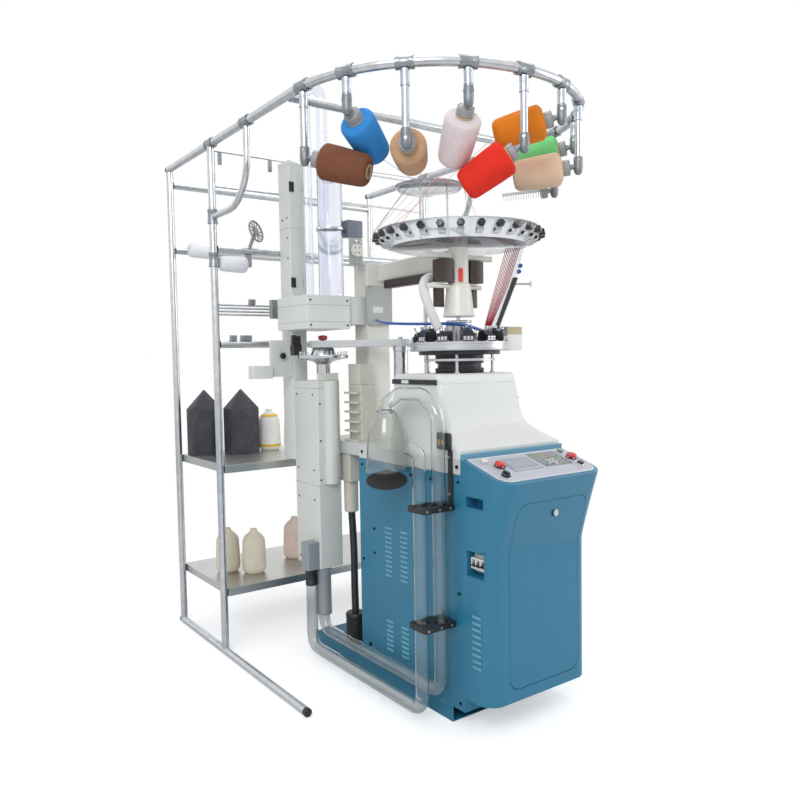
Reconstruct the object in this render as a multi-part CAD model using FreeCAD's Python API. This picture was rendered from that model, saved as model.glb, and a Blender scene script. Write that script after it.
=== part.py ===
import FreeCAD, Part
import os
from math import atan2, cos, degrees, hypot, pi, radians, sin

# Circular sock-knitting machine with its yarn rack, console, toe-closing unit
# and glass suction pipes.  Millimetres, +Z up.  The console faces -Y, and the
# origin lies on the floor under the middle of the whole footprint.

os.makedirs("parts", exist_ok=True)

# ------------------------------------------------------------ common values
SEAT = 0.3             # working gap between a loose piece and its seat
RUN_FIT = 0.05         # radial clearance of a shaft in its bore
TUBE_FLATS = 12        # flats round a rack tube
FEW_FLATS = 8          # flats round a thin rod or a small turned piece
MANY_FLATS = 16        # flats round a large disc

# ------------------------------------------------------------ yarn rack
POST_X = 585.0         # tube centres left and right of the middle plane
POST_FRONT_Y = 440.0
POST_REAR_Y = 960.0
TUBE_R = 17.0
RING_Z = 2250.0
RING_BEND_Y = -330.0   # where the overhead tube starts to bend
RING_STEPS = 18
RACK_REAR_Y = 985.0
FOOT_FRONT_Y = -320.0
CAP_LENGTH = 20.0
CAP_PROUD = 1.0
RAIL_REAR_TOP_Z = 2173.0
RAIL_REAR_MID_Z = 1857.0
RAIL_FRONT_MID_Z = 1800.0
RAIL_FRONT_LOW_Z = 1385.0
CROSS_TUBE_Y = -260.0
ROD_R = 5.0
TOP_ROD_Z = 2070.0
HANGER_ROD_Z = 2222.0
GUIDE_ROD_Z = 1516.0
GUIDE_ROD_STEP = 14.0
GUIDE_ROD_COUNT = 4
GUIDE_ROD_X1 = -320.0
BRACE_RING_Y = 75.0
BRACE_POST_Z = 1938.0
BRACE_BEND_R = 190.0
BRACE_R = 14.0
BRACE_STEPS = 4
TEE_R = 24.0
TEE_FLATS = 6
TEE_LENGTH = 62.0
SHELF_UPPER_Z = 850.0
SHELF_LOWER_Z = 297.0
SHELF_RIM = 35.0
SHELF_SHEET = 4.0

# ------------------------------------------------------------ cone holders
ARM_FIRST = 5.0        # degrees round the bend from its left end
ARM_STEP = 20.0
ARM_R = 13.5
ARM_SLEEVE_R = 16.5
ARM_SLEEVE = 52.0
LONG_ARM = 185.0       # from the overhead tube's underside to the knuckle
SHORT_ARM = 56.0
KNUCKLE_W = 34.0
KNUCKLE_H = 66.0
HOLDER_NECK_R = 10.0
HOLDER_NECK = 18.0
HOLDER_R = 30.0
HOLDER_DISC = 12.0
EMPTY_HOLDER_R = 52.0
EMPTY_HOLDER_DISC = 8.0
COMB_LENGTH = 165.0
COMB_HALF = 7.0
COMB_TALL = 12.0

# ------------------------------------------------------------ yarn
CONE_LENGTH = 185.0
CONE_R = 66.0
CONE_BASE_R = 48.0
CONE_SHOULDER_R = 58.0
CONE_NOSE_R = 38.0
CONE_CHAMFER = 18.0
CONE_FLATS = 10
PACK_HEIGHT = 211.0
PACK_R = 62.0
PACK_FOOT_R = 46.0
PACK_NECK_R = 18.0
BOBBIN_LENGTH = 125.0
BOBBIN_R = 40.0
HOOD_R = 88.0
HOOD_WALL = 225.0
HOOD_PEAK = 320.0
HOOD_SKIN = 2.0
YARN_R = 0.8

# ------------------------------------------------------------ machine body
BODY_X0 = -190.0
BODY_X1 = 300.0
BODY_FRONT_Y = -740.0
BODY_REAR_Y = -80.0
BODY_Z0 = 60.0
BODY_Z1 = 900.0
BODY_SHEET = 2.5
PANEL_SHEET = 2.0
CHANNEL_W = 190.0
CHANNEL_FRONT_Y = -670.0
CHANNEL_REAR_Y = 300.0
CHANNEL_WALL = 6.0
BED_H = 55.0
BED_TAIL_X1 = 120.0
BED_TAIL_Y = 320.0
VENT_LENGTH = 46.0
VENT_HEIGHT = 7.0
VENT_PROUD = 5.0
VENT_PITCH = 19.0
VENT_UPPER_Z = 445.0
VENT_UPPER_COUNT = 11
VENT_LOWER_Z = 145.0
VENT_LOWER_COUNT = 7

# ------------------------------------------------------------ console
CONSOLE_X0 = -200.0
CONSOLE_Z0 = 120.0
CONSOLE_FRONT_Y = -880.0
CONSOLE_LIP_Y = -956.0
CONSOLE_LIP_Z = 892.0
CONSOLE_BACK_Z = 960.0
CONSOLE_FLARE_Z = 640.0
CONSOLE_CORNER_R = 62.0
CONSOLE_CORNER_STEPS = 3
CONSOLE_WALL = 4.0
DOOR_X0 = -108.0
DOOR_X1 = 240.0
DOOR_Z0 = 160.0
DOOR_Z1 = 815.0
DOOR_CORNER_R = 45.0
DOOR_GAP = 1.5
HINGE_PIN_R = 4.0
LOCK_X = 78.0
LOCK_DROP = 50.0
LOCK_R = 9.0
LOCK_REACH = 60.0
PLATE_SHEET = 3.0
PLATE_MARGIN = 16.0
ESTOP_R = 19.0
ESTOP_STEM_R = 9.0
BUTTON_R = 12.0
BUTTON_STEM_R = 8.0

# ------------------------------------------------------------ knitting head
HEAD_X = 50.0
HEAD_Y = -450.0
CYL_R = 51.0
CYL_TUBE_R = 45.0
CYL_BORE_R = 38.0
CYL_TOP_Z = 1438.0
CYL_FLATS = 12
COLUMN_R = 96.0
PLATE_R = 160.0
PLATE_TOP_Z = 1335.0
PLATE_THICK = 15.0
CAM_R = 195.0
CAM_INNER_R = 120.0
CAM_H = 34.0
CAM_BLOCK_COUNT = 12
DIAL_GAP = 6.0
DIAL_H = 10.0
DIAL_SHAFT_R = 10.0
HEAD_FOOT_Z = 1468.0
HEAD_NECK_Z = 1600.0
HEAD_TOP_Z = 1735.0
FEED_R = 315.0
FEED_FLAT_R = 265.0
FEED_RISE = 66.0
FEED_SKIN = 4.0
FEED_UNIT_COUNT = 28
GUIDE_DISC_Z = 2000.0
GUIDE_DISC_R = 140.0
ARM_BEAM_W = 60.0
ARM_BEAM_H = 80.0
REAR_COLUMN_X = 20.0
REAR_COLUMN_Y = 115.0
CAM_BLOCK_R0 = 130.0
CAM_BLOCK_R1 = 185.0
CAM_BLOCK_HALF = 20.0
CAM_BLOCK_LOW = 40.0
CAM_BLOCK_HIGH = 52.0
SIDE_BOX_X1 = 330.0
SIDE_BOX_Y0 = -520.0
SIDE_BOX_Y1 = -400.0
SIDE_BOX_Z1 = 1430.0
COVER_BELOW_PLATE = 85.0
COVER_TOP_Z = PLATE_TOP_Z - COVER_BELOW_PLATE
COVER_SKIN = 4.0
COVER_CORNER = 24.0
COVER_LEVELS = (
    (BODY_Z1 + BED_H, BODY_X0, 320.0, -735.0, -290.0),
    (BODY_Z1 + BED_H + 30, BODY_X0, 320.0, -735.0, -290.0),
    (COVER_TOP_Z - 190, BODY_X0, 215.0, -640.0, -310.0),
    (COVER_TOP_Z - 35, BODY_X0, 200.0, -622.0, -322.0),
    (COVER_TOP_Z, BODY_X0 + 4, 190.0, -610.0, -330.0),
)
COVER_BAR_Y0 = -606.0
COVER_BAR_Y1 = -335.0
HEAD_FOOT_R = 62.0
HEAD_NECK_R = 45.0
HEAD_POST_R = 40.0
HEAD_BAR_R = 9.0
HEAD_BAR_X0 = -100.0
HEAD_BAR_X1 = 165.0
DRIVE_REACH = 110.0
CROSSBAR_REACH = 170.0
UNIT_HALF = 13.0
UNIT_LOW = 12.0
UNIT_HIGH = 55.0
UNIT_PROUD = 34.0
GUIDE_DISC_X = 30.0
GUIDE_DISC_Y = -300.0
ARM_BEAM_Z = 1650.0
CONTROL_BOX_Z0 = 1460.0
CONTROL_BOX_Z1 = 1630.0
RAMP_THICK = 8.0
RAMP_FOOT_Z = 1424.0
RAMP_TOOTH_COUNT = 8
RAMP_RUN = 74.0
RAMP_TALL = 190.0
RAMP_AXLE = 72.0
RAMP_WHEEL_Z = 1592.0
RAMP_WHEEL_R = 12.0
AIR_HOSE_R = 6.0
SUCTION_HOSE_R = 19.0
ELASTIC_X0 = -128.0
ELASTIC_X1 = -52.0
ELASTIC_Z0 = 1700.0
ELASTIC_Z1 = 1910.0
ELASTIC_WHEEL_Z = 1780.0
ELASTIC_WHEEL_R = 28.0

# ------------------------------------------------------------ toe-closing unit
TOWER_X0 = -275.0
TOWER_X1 = -160.0
TOWER_Y0 = 110.0
TOWER_Y1 = 320.0
TOWER_Z0 = 400.0
TOWER_Z1 = 1220.0
TOWER_BACK_X1 = -200.0
TOWER_BACK_Y = 423.0
TOWER_BACK_Z0 = 860.0
TOWER_BACK_Z1 = 2200.0
UPPER_Z0 = 1440.0
UPPER_Z1 = 1582.0
CLEAR_R = 54.0
CLEAR_X = -190.0
CLEAR_Y = 112.0
CLEAR_TOP_Z = 2170.0
CLEAR_WALL = 3.0
RISER_R = 24.0
RISER_Y = 250.0
RISER_TOP_Z = 2464.0
LINK_X = -217.0
LINK_Y = 150.0
LINK_RING_R = 110.0
LINK_RING_Z = 1315.0
PIVOT_X = 17.0
PIVOT_Y = -105.0
PIVOT_R = 12.0
SWING_Z = 1362.0
HALF_ROUND_X = -207.5
HALF_ROUND_R = 32.5
HALF_ROUND_Z0 = 770.0
UPPER_X0 = -347.0
UPPER_SPLIT_X = -135.0
UPPER_X1 = -40.0
UPPER_Y0 = 50.0
RISER_X0 = -224.0
RISER_X1 = -140.0
CLAMP_RING_Z = 1862.0
LINK_FOOT_R = 30.0
LINK_CONE_R = 58.0
PIVOT_FOOT_R = 34.0
SWING_THICK = 30.0
SWING_END_R = 60.0
SWING_HUB_R = 40.0
HAND_STEM_R = 8.0
HAND_WHEEL_R = 22.0
FIN_X0 = -150.0
FIN_X1 = -45.0
FIN_Y0 = 0.0
FIN_DEPTH = 100.0
FIN_Z1 = 1200.0
FIN_COUNT = 6
FIN_PITCH = 41.0
FIN_THICK = 9.0
GEAR_BOX_Z0 = 775.0
MOTOR_Z0 = 635.0
BRACKET_REACH = 107.0
BRACKET_Z0 = 1237.0
BRACKET_Z1 = 1400.0
WHITE_BOX_H = 57.0

# ------------------------------------------------------------ suction pipes
PIPE_R = 25.0
PIPE_WALL = 2.5
OUTER_X = -300.0
INNER_X = -240.0
OUTER_FRONT_Y = -636.0
INNER_FRONT_Y = -668.0
OUTER_RUN_Z = 62.0
INNER_RUN_Z = 124.0
OUTER_TOP_Z = 1005.0
ARCH_Z = 1165.0
PIPE_REAR_Y = 150.0
BEND_R = 45.0
BELL_X = -280.0
BELL_Y = -410.0
BELL_R = 78.0
BELL_NECK_Z = 1120.0
BELL_RIM_Z = 890.0
BELL_WALL = 2.5
OUTER_END_Z = 330.0
INNER_END_Z = 190.0
DUCT_R = 35.0
REAR_HOSE_R = 17.0
PUMP_R = 45.0
PUMP_Z1 = 190.0
BELL_NECK_R = 40.0
FLAP_REACH = 92.0
FLAP_Z = 874.0
FLAP_TILT = 18.0
CLIP_HEIGHTS = (370.0, 785.0)
PLATE_FOOT_Z = 985.0
PLATE_HEAD_Z = 1045.0

# ------------------------------------------------------------ shape helpers
def vec(x, y, z):
    return FreeCAD.Vector(x, y, z)


X_AXIS = vec(1, 0, 0)
Y_AXIS = vec(0, 1, 0)
Z_AXIS = vec(0, 0, 1)


def box(x0, x1, y0, y1, z0, z1):
    """A block between two opposite corners."""
    return Part.makeBox(x1 - x0, y1 - y0, z1 - z0, vec(x0, y0, z0))


def face_of(points):
    return Part.Face(Part.makePolygon(points + [points[0]]))


def skinned(rings):
    """A closed solid with flat facets between rings of as many points each."""
    faces = [face_of(rings[0]), face_of(rings[-1])]
    for low, high in zip(rings, rings[1:]):
        for i in range(len(low)):
            j = (i + 1) % len(low)
            faces.append(face_of([low[i], low[j], high[j], high[i]]))
    solid = Part.makeSolid(Part.makeShell(faces))
    if solid.Volume < 0:
        solid.reverse()
    return solid


def frame_of(axis):
    """Two directions square to an axis, the first as level as it can be."""
    axis = vec(axis.x, axis.y, axis.z).normalize()
    side = Y_AXIS if abs(axis.z) > 0.99 else Z_AXIS
    u = side.cross(axis).normalize()
    return axis, u, axis.cross(u)


def ring_of(centre, u, v, radius, flats):
    points = []
    for k in range(flats):
        a = 2 * pi * (k + 0.5) / flats
        points.append(centre + u * (radius * cos(a)) + v * (radius * sin(a)))
    return points


def turned(base, axis, profile, flats=TUBE_FLATS):
    """A faceted turned solid; profile lists (radius, distance from base)."""
    axis, u, v = frame_of(axis)
    return skinned([ring_of(base + axis * d, u, v, r, flats) for r, d in profile])


def rod(points, radius, flats=TUBE_FLATS):
    """A faceted round bar along straight runs that are mitred together."""
    runs = [(b - a).normalize() for a, b in zip(points, points[1:])]
    u, v = frame_of(runs[0])[1:]
    ring = ring_of(points[0], u, v, radius, flats)
    rings = [ring]
    for i, run in enumerate(runs):
        plane = run if i == len(runs) - 1 else (run + runs[i + 1]).normalize()
        end = points[i + 1]
        ring = [p + run * ((end - p).dot(plane) / run.dot(plane)) for p in ring]
        rings.append(ring)
    return skinned(rings)


def pipe(points, radius, wall, flats=TUBE_FLATS):
    """A faceted tube, open at both ends."""
    return rod(points, radius, flats).cut(rod(points, radius - wall, flats))


def arc_points(centre, u, v, radius, start, end, steps):
    """Points round an arc, from one angle to the other in degrees."""
    points = []
    for k in range(steps + 1):
        a = radians(start + (end - start) * k / steps)
        points.append(centre + u * (radius * cos(a)) + v * (radius * sin(a)))
    return points


def prism(outline, push):
    """A flat outline pushed along a vector."""
    return face_of(outline).extrude(push)


def rounded_outline(x0, x1, z0, z1, radius, y, steps=3):
    """A rectangle with round corners, standing in a plane of constant y."""
    corners = [(x1, z1, 0), (x0, z1, 90), (x0, z0, 180), (x1, z0, 270)]
    points = []
    for x, z, turn in corners:
        cx = x - radius if x == x1 else x + radius
        cz = z - radius if z == z1 else z + radius
        points += arc_points(vec(cx, y, cz), X_AXIS, Z_AXIS, radius, turn, turn + 90, steps)
    return points


def fused(shapes):
    """One solid from pieces that share volume or faces."""
    solid = shapes[0]
    for shape in shapes[1:]:
        solid = solid.fuse(shape)
    return solid.removeSplitter()


def save(node, *shapes):
    """Write one named piece, or one group of like pieces."""
    solids = []
    for shape in shapes:
        solids += shape.Solids
    whole = solids[0] if len(solids) == 1 else Part.makeCompound(solids)
    whole.exportStep("parts/" + node + ".step")


def flat(radius, flats=TUBE_FLATS):
    """Distance from the middle of a faceted bar to one of its flats."""
    return radius * cos(pi / flats)


# ============================================================ YARN RACK
TUBE_FLAT = flat(TUBE_R)
CAP_R = TUBE_R + CAP_PROUD
FOOT_Z = flat(CAP_R, FEW_FLATS)
TEE_FLAT = flat(TEE_R, TEE_FLATS)
SIDES = (-POST_X, POST_X)

# Feet on the floor and four posts that stand on them.
legs = []
for x in SIDES:
    front = vec(x, FOOT_FRONT_Y + CAP_LENGTH, FOOT_Z)
    rear = vec(x, RACK_REAR_Y - CAP_LENGTH, FOOT_Z)
    legs.append(rod([front, rear], TUBE_R))
    for y, seat in ((POST_FRONT_Y, TEE_FLAT), (POST_REAR_Y, FOOT_Z)):
        low = vec(x, y, FOOT_Z * 2)
        high = vec(x, y, RING_Z - seat)
        legs.append(rod([low, high], TUBE_R))
save("rack_legs", *legs)

# One tube bent to a U, level over the whole machine.
bend = arc_points(vec(0, RING_BEND_Y, RING_Z), X_AXIS, Y_AXIS, POST_X, 180, 360, RING_STEPS)
ring_start = vec(-POST_X, RACK_REAR_Y - CAP_LENGTH, RING_Z)
ring_end = vec(POST_X, RACK_REAR_Y - CAP_LENGTH, RING_Z)
save("ring_tube", rod([ring_start] + bend + [ring_end], TUBE_R))

# Plastic plugs in every open tube end.
caps = []
for x in SIDES:
    for y, z, way in (
        (FOOT_FRONT_Y + CAP_LENGTH, FOOT_Z, -1),
        (RACK_REAR_Y - CAP_LENGTH, FOOT_Z, 1),
        (RACK_REAR_Y - CAP_LENGTH, RING_Z, 1),
    ):
        caps.append(turned(vec(x, y, z), vec(0, way, 0), [(CAP_R, 0), (CAP_R, CAP_LENGTH)], FEW_FLATS))
save("tube_end_caps", *caps)

# Level tubes and thin rods between the posts.
RAIL_X = POST_X - TUBE_FLAT
rails = []
for y, z in (
    (POST_REAR_Y, RAIL_REAR_TOP_Z),
    (POST_REAR_Y, RAIL_REAR_MID_Z),
    (POST_FRONT_Y, RAIL_FRONT_MID_Z),
    (POST_FRONT_Y, RAIL_FRONT_LOW_Z),
    (CROSS_TUBE_Y, RING_Z),
):
    rails.append(rod([vec(-RAIL_X, y, z), vec(RAIL_X, y, z)], TUBE_R))
for z in (TOP_ROD_Z, HANGER_ROD_Z):
    rails.append(rod([vec(-RAIL_X, POST_FRONT_Y, z), vec(RAIL_X, POST_FRONT_Y, z)], ROD_R, TEE_FLATS))
for i in range(GUIDE_ROD_COUNT):
    z = GUIDE_ROD_Z + GUIDE_ROD_STEP * i
    guide_rod = [vec(-RAIL_X, POST_FRONT_Y, z), vec(GUIDE_ROD_X1, POST_FRONT_Y, z)]
    rails.append(rod(guide_rod, ROD_R, TEE_FLATS))
save("rack_rails", *rails)

# Curved braces from the overhead tube back to the front posts.
braces = []
for x in SIDES:
    top = vec(x, BRACE_RING_Y, RING_Z - TEE_FLAT)
    centre = vec(x, BRACE_RING_Y + BRACE_BEND_R, BRACE_POST_Z + BRACE_BEND_R)
    curve = arc_points(centre, Y_AXIS, Z_AXIS, BRACE_BEND_R, 180, 270, BRACE_STEPS)
    foot = vec(x, POST_FRONT_Y - TEE_FLAT, BRACE_POST_Z)
    braces.append(rod([top] + curve + [foot], BRACE_R, FEW_FLATS))
save("rack_braces", *braces)


# Tee collars round the overhead tube, and small clips on the thin rods.
def tee(centre, along):
    """A split collar that clamps round a main tube."""
    start = centre - along * (TEE_LENGTH / 2)
    bore = (TUBE_R + SEAT) / cos(pi / TEE_FLATS)
    outer = turned(start, along, [(TEE_R, 0), (TEE_R, TEE_LENGTH)], TEE_FLATS)
    collar = outer.cut(turned(start, along, [(bore, 0), (bore, TEE_LENGTH)], TEE_FLATS))
    collar.rotate(centre, along, 180 / TEE_FLATS)
    return collar


clamps = []
for x in SIDES:
    clamps.append(tee(vec(x, POST_FRONT_Y, RAIL_FRONT_MID_Z - TUBE_R - TEE_LENGTH / 2), Z_AXIS))
    clamps.append(tee(vec(x, POST_FRONT_Y, BRACE_POST_Z), Z_AXIS))

# Two shelves: folded trays between the left and right posts.
shelves = []
for z in (SHELF_UPPER_Z, SHELF_LOWER_Z):
    y0 = POST_FRONT_Y - TUBE_R
    y1 = POST_REAR_Y + TUBE_R
    tray = box(-RAIL_X, RAIL_X, y0, y1, z - SHELF_RIM, z)
    inset = SHELF_SHEET
    hollow = box(-RAIL_X + inset, RAIL_X - inset, y0 + inset, y1 - inset, z - SHELF_RIM, z - SHELF_SHEET)
    shelves.append(tray.cut(hollow))
save("shelves", *shelves)

# ============================================================ CONE HOLDERS
# One arm in the middle of every second straight of the bent tube: a tee
# collar, a sleeve and tube below it, a cast knuckle, and a holder that grips
# the cone by its core.  Long and short arms alternate.
VIEW_RIGHT = vec(0.81, -0.587, 0)
VIEW_AWAY = vec(0.587, 0.81, 0)
CONE_WAYS = (
    VIEW_RIGHT * 0.93 + VIEW_AWAY * -0.22 + Z_AXIS * -0.28,
    VIEW_RIGHT * 0.38 + VIEW_AWAY * 0.80 + Z_AXIS * -0.46,
    VIEW_RIGHT * 0.10 + VIEW_AWAY * 0.98 + Z_AXIS * -0.05,
    VIEW_RIGHT * -0.16 + VIEW_AWAY * 0.70 + Z_AXIS * -0.62,
    VIEW_RIGHT * -0.80 + VIEW_AWAY * 0.22 + Z_AXIS * -0.52,
    VIEW_RIGHT * -0.94 + VIEW_AWAY * 0.20 + Z_AXIS * -0.22,
    VIEW_RIGHT * -0.97 + VIEW_AWAY * 0.10 + Z_AXIS * -0.12,
    VIEW_RIGHT * -0.90 + VIEW_AWAY * 0.30 + Z_AXIS * -0.16,
    VIEW_RIGHT * -0.98 + Z_AXIS * -0.10,
)
SPARE_ARM = len(CONE_WAYS) - 1
knuckle_half = KNUCKLE_W / 2
arms = []
knuckles = []
holders = []
cones = []
cone_noses = []
for i, way in enumerate(CONE_WAYS):
    turn = radians(180 + ARM_FIRST + ARM_STEP * i)
    reach = POST_X * cos(pi / RING_STEPS / 2)
    spot = vec(reach * cos(turn), RING_BEND_Y + reach * sin(turn), RING_Z)
    clamps.append(tee(spot, vec(-sin(turn), cos(turn), 0)))
    length = SHORT_ARM if i % 2 else LONG_ARM
    top = spot - Z_AXIS * TEE_FLAT
    sleeve = min(ARM_SLEEVE, length - 2)
    steps = [(ARM_SLEEVE_R, 0), (ARM_SLEEVE_R, sleeve), (ARM_R, sleeve), (ARM_R, length)]
    arms.append(turned(top, Z_AXIS * -1, steps, TEE_FLATS))
    way = way.normalize()
    ahead = vec(way.x, way.y, 0).normalize()
    level = Z_AXIS.cross(ahead)
    low = top - Z_AXIS * length
    outline = [
        low + ahead * knuckle_half,
        low - ahead * knuckle_half,
        low - ahead * knuckle_half - Z_AXIS * (KNUCKLE_H * 0.75),
        low - ahead * (knuckle_half * 0.5) - Z_AXIS * KNUCKLE_H,
        low + ahead * (knuckle_half * 0.5) - Z_AXIS * KNUCKLE_H,
        low + ahead * knuckle_half - Z_AXIS * (KNUCKLE_H * 0.75),
    ]
    outline = [p - level * knuckle_half for p in outline]
    block = prism(outline, level * KNUCKLE_W)
    root = low - Z_AXIS * (KNUCKLE_H * 0.5)
    lean = way.dot(ahead)
    neck_start = root + way * (knuckle_half / lean * 0.6)
    disc = HOLDER_NECK + knuckle_half
    profile = [
        (HOLDER_NECK_R, 0),
        (HOLDER_NECK_R, disc),
        (HOLDER_R, disc),
        (HOLDER_R, disc + HOLDER_DISC),
    ]
    holder = turned(neck_start, way, profile, TEE_FLATS).cut(block)
    holders.append(holder.Solids[0])
    knuckles.append(block)
    if i == SPARE_ARM:
        rise = way.cross(level) * COMB_TALL
        across = level * (COMB_HALF * 2)
        comb_foot = neck_start + way * (disc + HOLDER_DISC) - level * COMB_HALF
        comb_end = [comb_foot, comb_foot + across, comb_foot + across + rise, comb_foot + rise]
        holders.append(prism(comb_end, way * COMB_LENGTH))
        continue
    base = neck_start + way * (disc + HOLDER_DISC)
    shell = [
        (CONE_BASE_R, 0),
        (CONE_R, CONE_CHAMFER),
        (CONE_SHOULDER_R, CONE_LENGTH - CONE_CHAMFER),
        (CONE_NOSE_R, CONE_LENGTH),
    ]
    cones.append(turned(base, way, shell, CONE_FLATS))
    cone_noses.append(base + way * (CONE_LENGTH + SEAT))
for x in SIDES:
    for y in (POST_FRONT_Y, BRACE_RING_Y):
        clamps.append(tee(vec(x, y, RING_Z), Y_AXIS))

# Clips hang from the thin rod, lumps sit on the rails, and a block ties the
# guide rods to the back of the tower.
clip_top = HANGER_ROD_Z - ROD_R
for x in (-545.0, -420.0, -305.0):
    clamps.append(box(x - 8, x + 8, POST_FRONT_Y - 6, POST_FRONT_Y + 6, clip_top - 52, clip_top))
guide_top = GUIDE_ROD_Z + GUIDE_ROD_STEP * (GUIDE_ROD_COUNT - 1) + ROD_R
low_top = RAIL_FRONT_LOW_Z + TUBE_FLAT
for x0, x1, z in ((-520.0, -492.0, low_top), (-470.0, -420.0, low_top), (-425.0, -398.0, guide_top)):
    clamps.append(box(x0, x1, POST_FRONT_Y - 10, POST_FRONT_Y + 10, z, z + 24))
tie_y = POST_FRONT_Y + 12
clamps.append(box(GUIDE_ROD_X1, TOWER_X0 + 13, TOWER_BACK_Y, tie_y, GUIDE_ROD_Z - 14, guide_top + 24))
save("tube_clamps", *clamps)
save("cone_arms", *arms)
save("cone_knuckles", *knuckles)

# The empty holder and two small bobbins on the left end of the racks.
bobbins = []
rail_top = RAIL_FRONT_MID_Z + TUBE_FLAT
empty_way = vec(0.45, -0.75, 0.25).normalize()
empty_spot = vec(-392, POST_FRONT_Y - 14, rail_top + 72)
post_foot = vec(-415, POST_FRONT_Y, rail_top)
post_run = empty_spot - post_foot
post = turned(post_foot, post_run, [(9, -4), (9, post_run.Length + 3)], TEE_FLATS)
post = post.cut(box(-500, -300, POST_FRONT_Y - 60, POST_FRONT_Y + 60, rail_top - 40, rail_top))
spokes = turned(empty_spot, empty_way, [(EMPTY_HOLDER_R, 0), (EMPTY_HOLDER_R, EMPTY_HOLDER_DISC)])
holders.append(fused([post, spokes]))
BOBBIN = [
    (BOBBIN_R * 0.7, 0),
    (BOBBIN_R, 14),
    (BOBBIN_R * 0.9, BOBBIN_LENGTH - 12),
    (BOBBIN_R * 0.6, BOBBIN_LENGTH),
]
hub_z = RAIL_FRONT_MID_Z - TUBE_FLAT - BOBBIN_R - 4
hub_y = POST_REAR_Y - TUBE_FLAT - BOBBIN_R - 4
front_low = RAIL_FRONT_MID_Z - TUBE_FLAT
rear_face = POST_REAR_Y - TUBE_FLAT
rear_z = RAIL_REAR_MID_Z
holders.append(box(-434, -410, POST_FRONT_Y - 10, POST_FRONT_Y + 10, hub_z - 10, front_low))
holders.append(box(-400, -376, hub_y - 10, rear_face, rear_z - 12, rear_z + 12))
for spot in (vec(-434, POST_FRONT_Y, hub_z), vec(-400, hub_y, RAIL_REAR_MID_Z)):
    bobbins.append(turned(spot, X_AXIS * -1, BOBBIN, FEW_FLATS))
save("cone_holders", *holders)
save("ring_yarn_cones", *cones)

# Bottle-shaped packages that stand on the shelves, two of them under hoods.
PACKS_UPPER = ((-470.0, 900.0), (-310.0, 820.0), (-150.0, 835.0), (-20.0, 800.0))
PACKS_LOWER = ((-452.0, 700.0), (-362.0, 600.0), (-80.0, 720.0))
HOODED_COUNT = 2
packs = []
hoods = []
for spots, z in ((PACKS_UPPER, SHELF_UPPER_Z), (PACKS_LOWER, SHELF_LOWER_Z)):
    for i, (x, y) in enumerate(spots):
        profile = [(PACK_FOOT_R, 0), (PACK_R, 24), (PACK_R * 0.92, 160), (PACK_NECK_R, PACK_HEIGHT)]
        packs.append(turned(vec(x, y, z), Z_AXIS, profile, FEW_FLATS))
        if z == SHELF_UPPER_Z and i < HOODED_COUNT:
            outer = [(HOOD_R, 0), (HOOD_R, HOOD_WALL), (4, HOOD_PEAK)]
            inside_r = HOOD_R - HOOD_SKIN
            inner = [(inside_r, 0), (inside_r, HOOD_WALL - HOOD_SKIN), (3, HOOD_PEAK - HOOD_SKIN * 2)]
            hood = turned(vec(x, y, z), Z_AXIS, outer, 6)
            hoods.append(hood.cut(turned(vec(x, y, z), Z_AXIS, inner, 6)))
save("shelf_yarn_cones", *(packs + bobbins))
save("cone_hoods", *hoods)

# ============================================================ BASE AND BODY
channels = []
for x0 in (BODY_X0, BODY_X1 - CHANNEL_W):
    outer = box(x0, x0 + CHANNEL_W, CHANNEL_FRONT_Y, CHANNEL_REAR_Y, 0, BODY_Z0)
    w = CHANNEL_WALL
    inner = box(x0 + w, x0 + CHANNEL_W - w, CHANNEL_FRONT_Y, CHANNEL_REAR_Y, w, BODY_Z0 - w)
    channels.append(outer.cut(inner))
save("base_channels", *channels)

shell_x0 = BODY_X0 + PANEL_SHEET
shell_x1 = BODY_X1 - PANEL_SHEET
s = BODY_SHEET
shell = box(shell_x0, shell_x1, BODY_FRONT_Y, BODY_REAR_Y, BODY_Z0, BODY_Z1)
cavity = box(shell_x0 + s, shell_x1 - s, BODY_FRONT_Y + s, BODY_REAR_Y - s, BODY_Z0 + s, BODY_Z1)
FRAME = 50.0
window = box(BODY_X0, BODY_X1, BODY_FRONT_Y + FRAME, BODY_REAR_Y - FRAME, BODY_Z0 + FRAME, BODY_Z1 - FRAME)
save("cabinet_shell", shell.cut(cavity).cut(window))


def louvre_rows(x, y_starts, z_low, count):
    """Pressed louvres on the outside of a standing sheet."""
    louvres = []
    for y in y_starts:
        for k in range(count):
            z = z_low + VENT_PITCH * k
            outline = [vec(x, y, z), vec(x, y, z + VENT_HEIGHT), vec(x - VENT_PROUD, y, z)]
            louvres.append(prism(outline, Y_AXIS * -VENT_LENGTH))
    return louvres


VENT_Y = (-262.0, -364.0)
louvres = louvre_rows(BODY_X0, VENT_Y, VENT_LOWER_Z, VENT_LOWER_COUNT)
louvres += louvre_rows(BODY_X0, VENT_Y, VENT_UPPER_Z, VENT_UPPER_COUNT)
left_panel = box(BODY_X0, shell_x0, BODY_FRONT_Y, BODY_REAR_Y, BODY_Z0, BODY_Z1)
left_panel = left_panel.cut(box(BODY_X0, shell_x0, -152, -120, 118, 134))
right_panel = box(shell_x1, BODY_X1, BODY_FRONT_Y, BODY_REAR_Y, BODY_Z0, BODY_Z1)
save("side_panels", left_panel, right_panel, *louvres)

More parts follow.
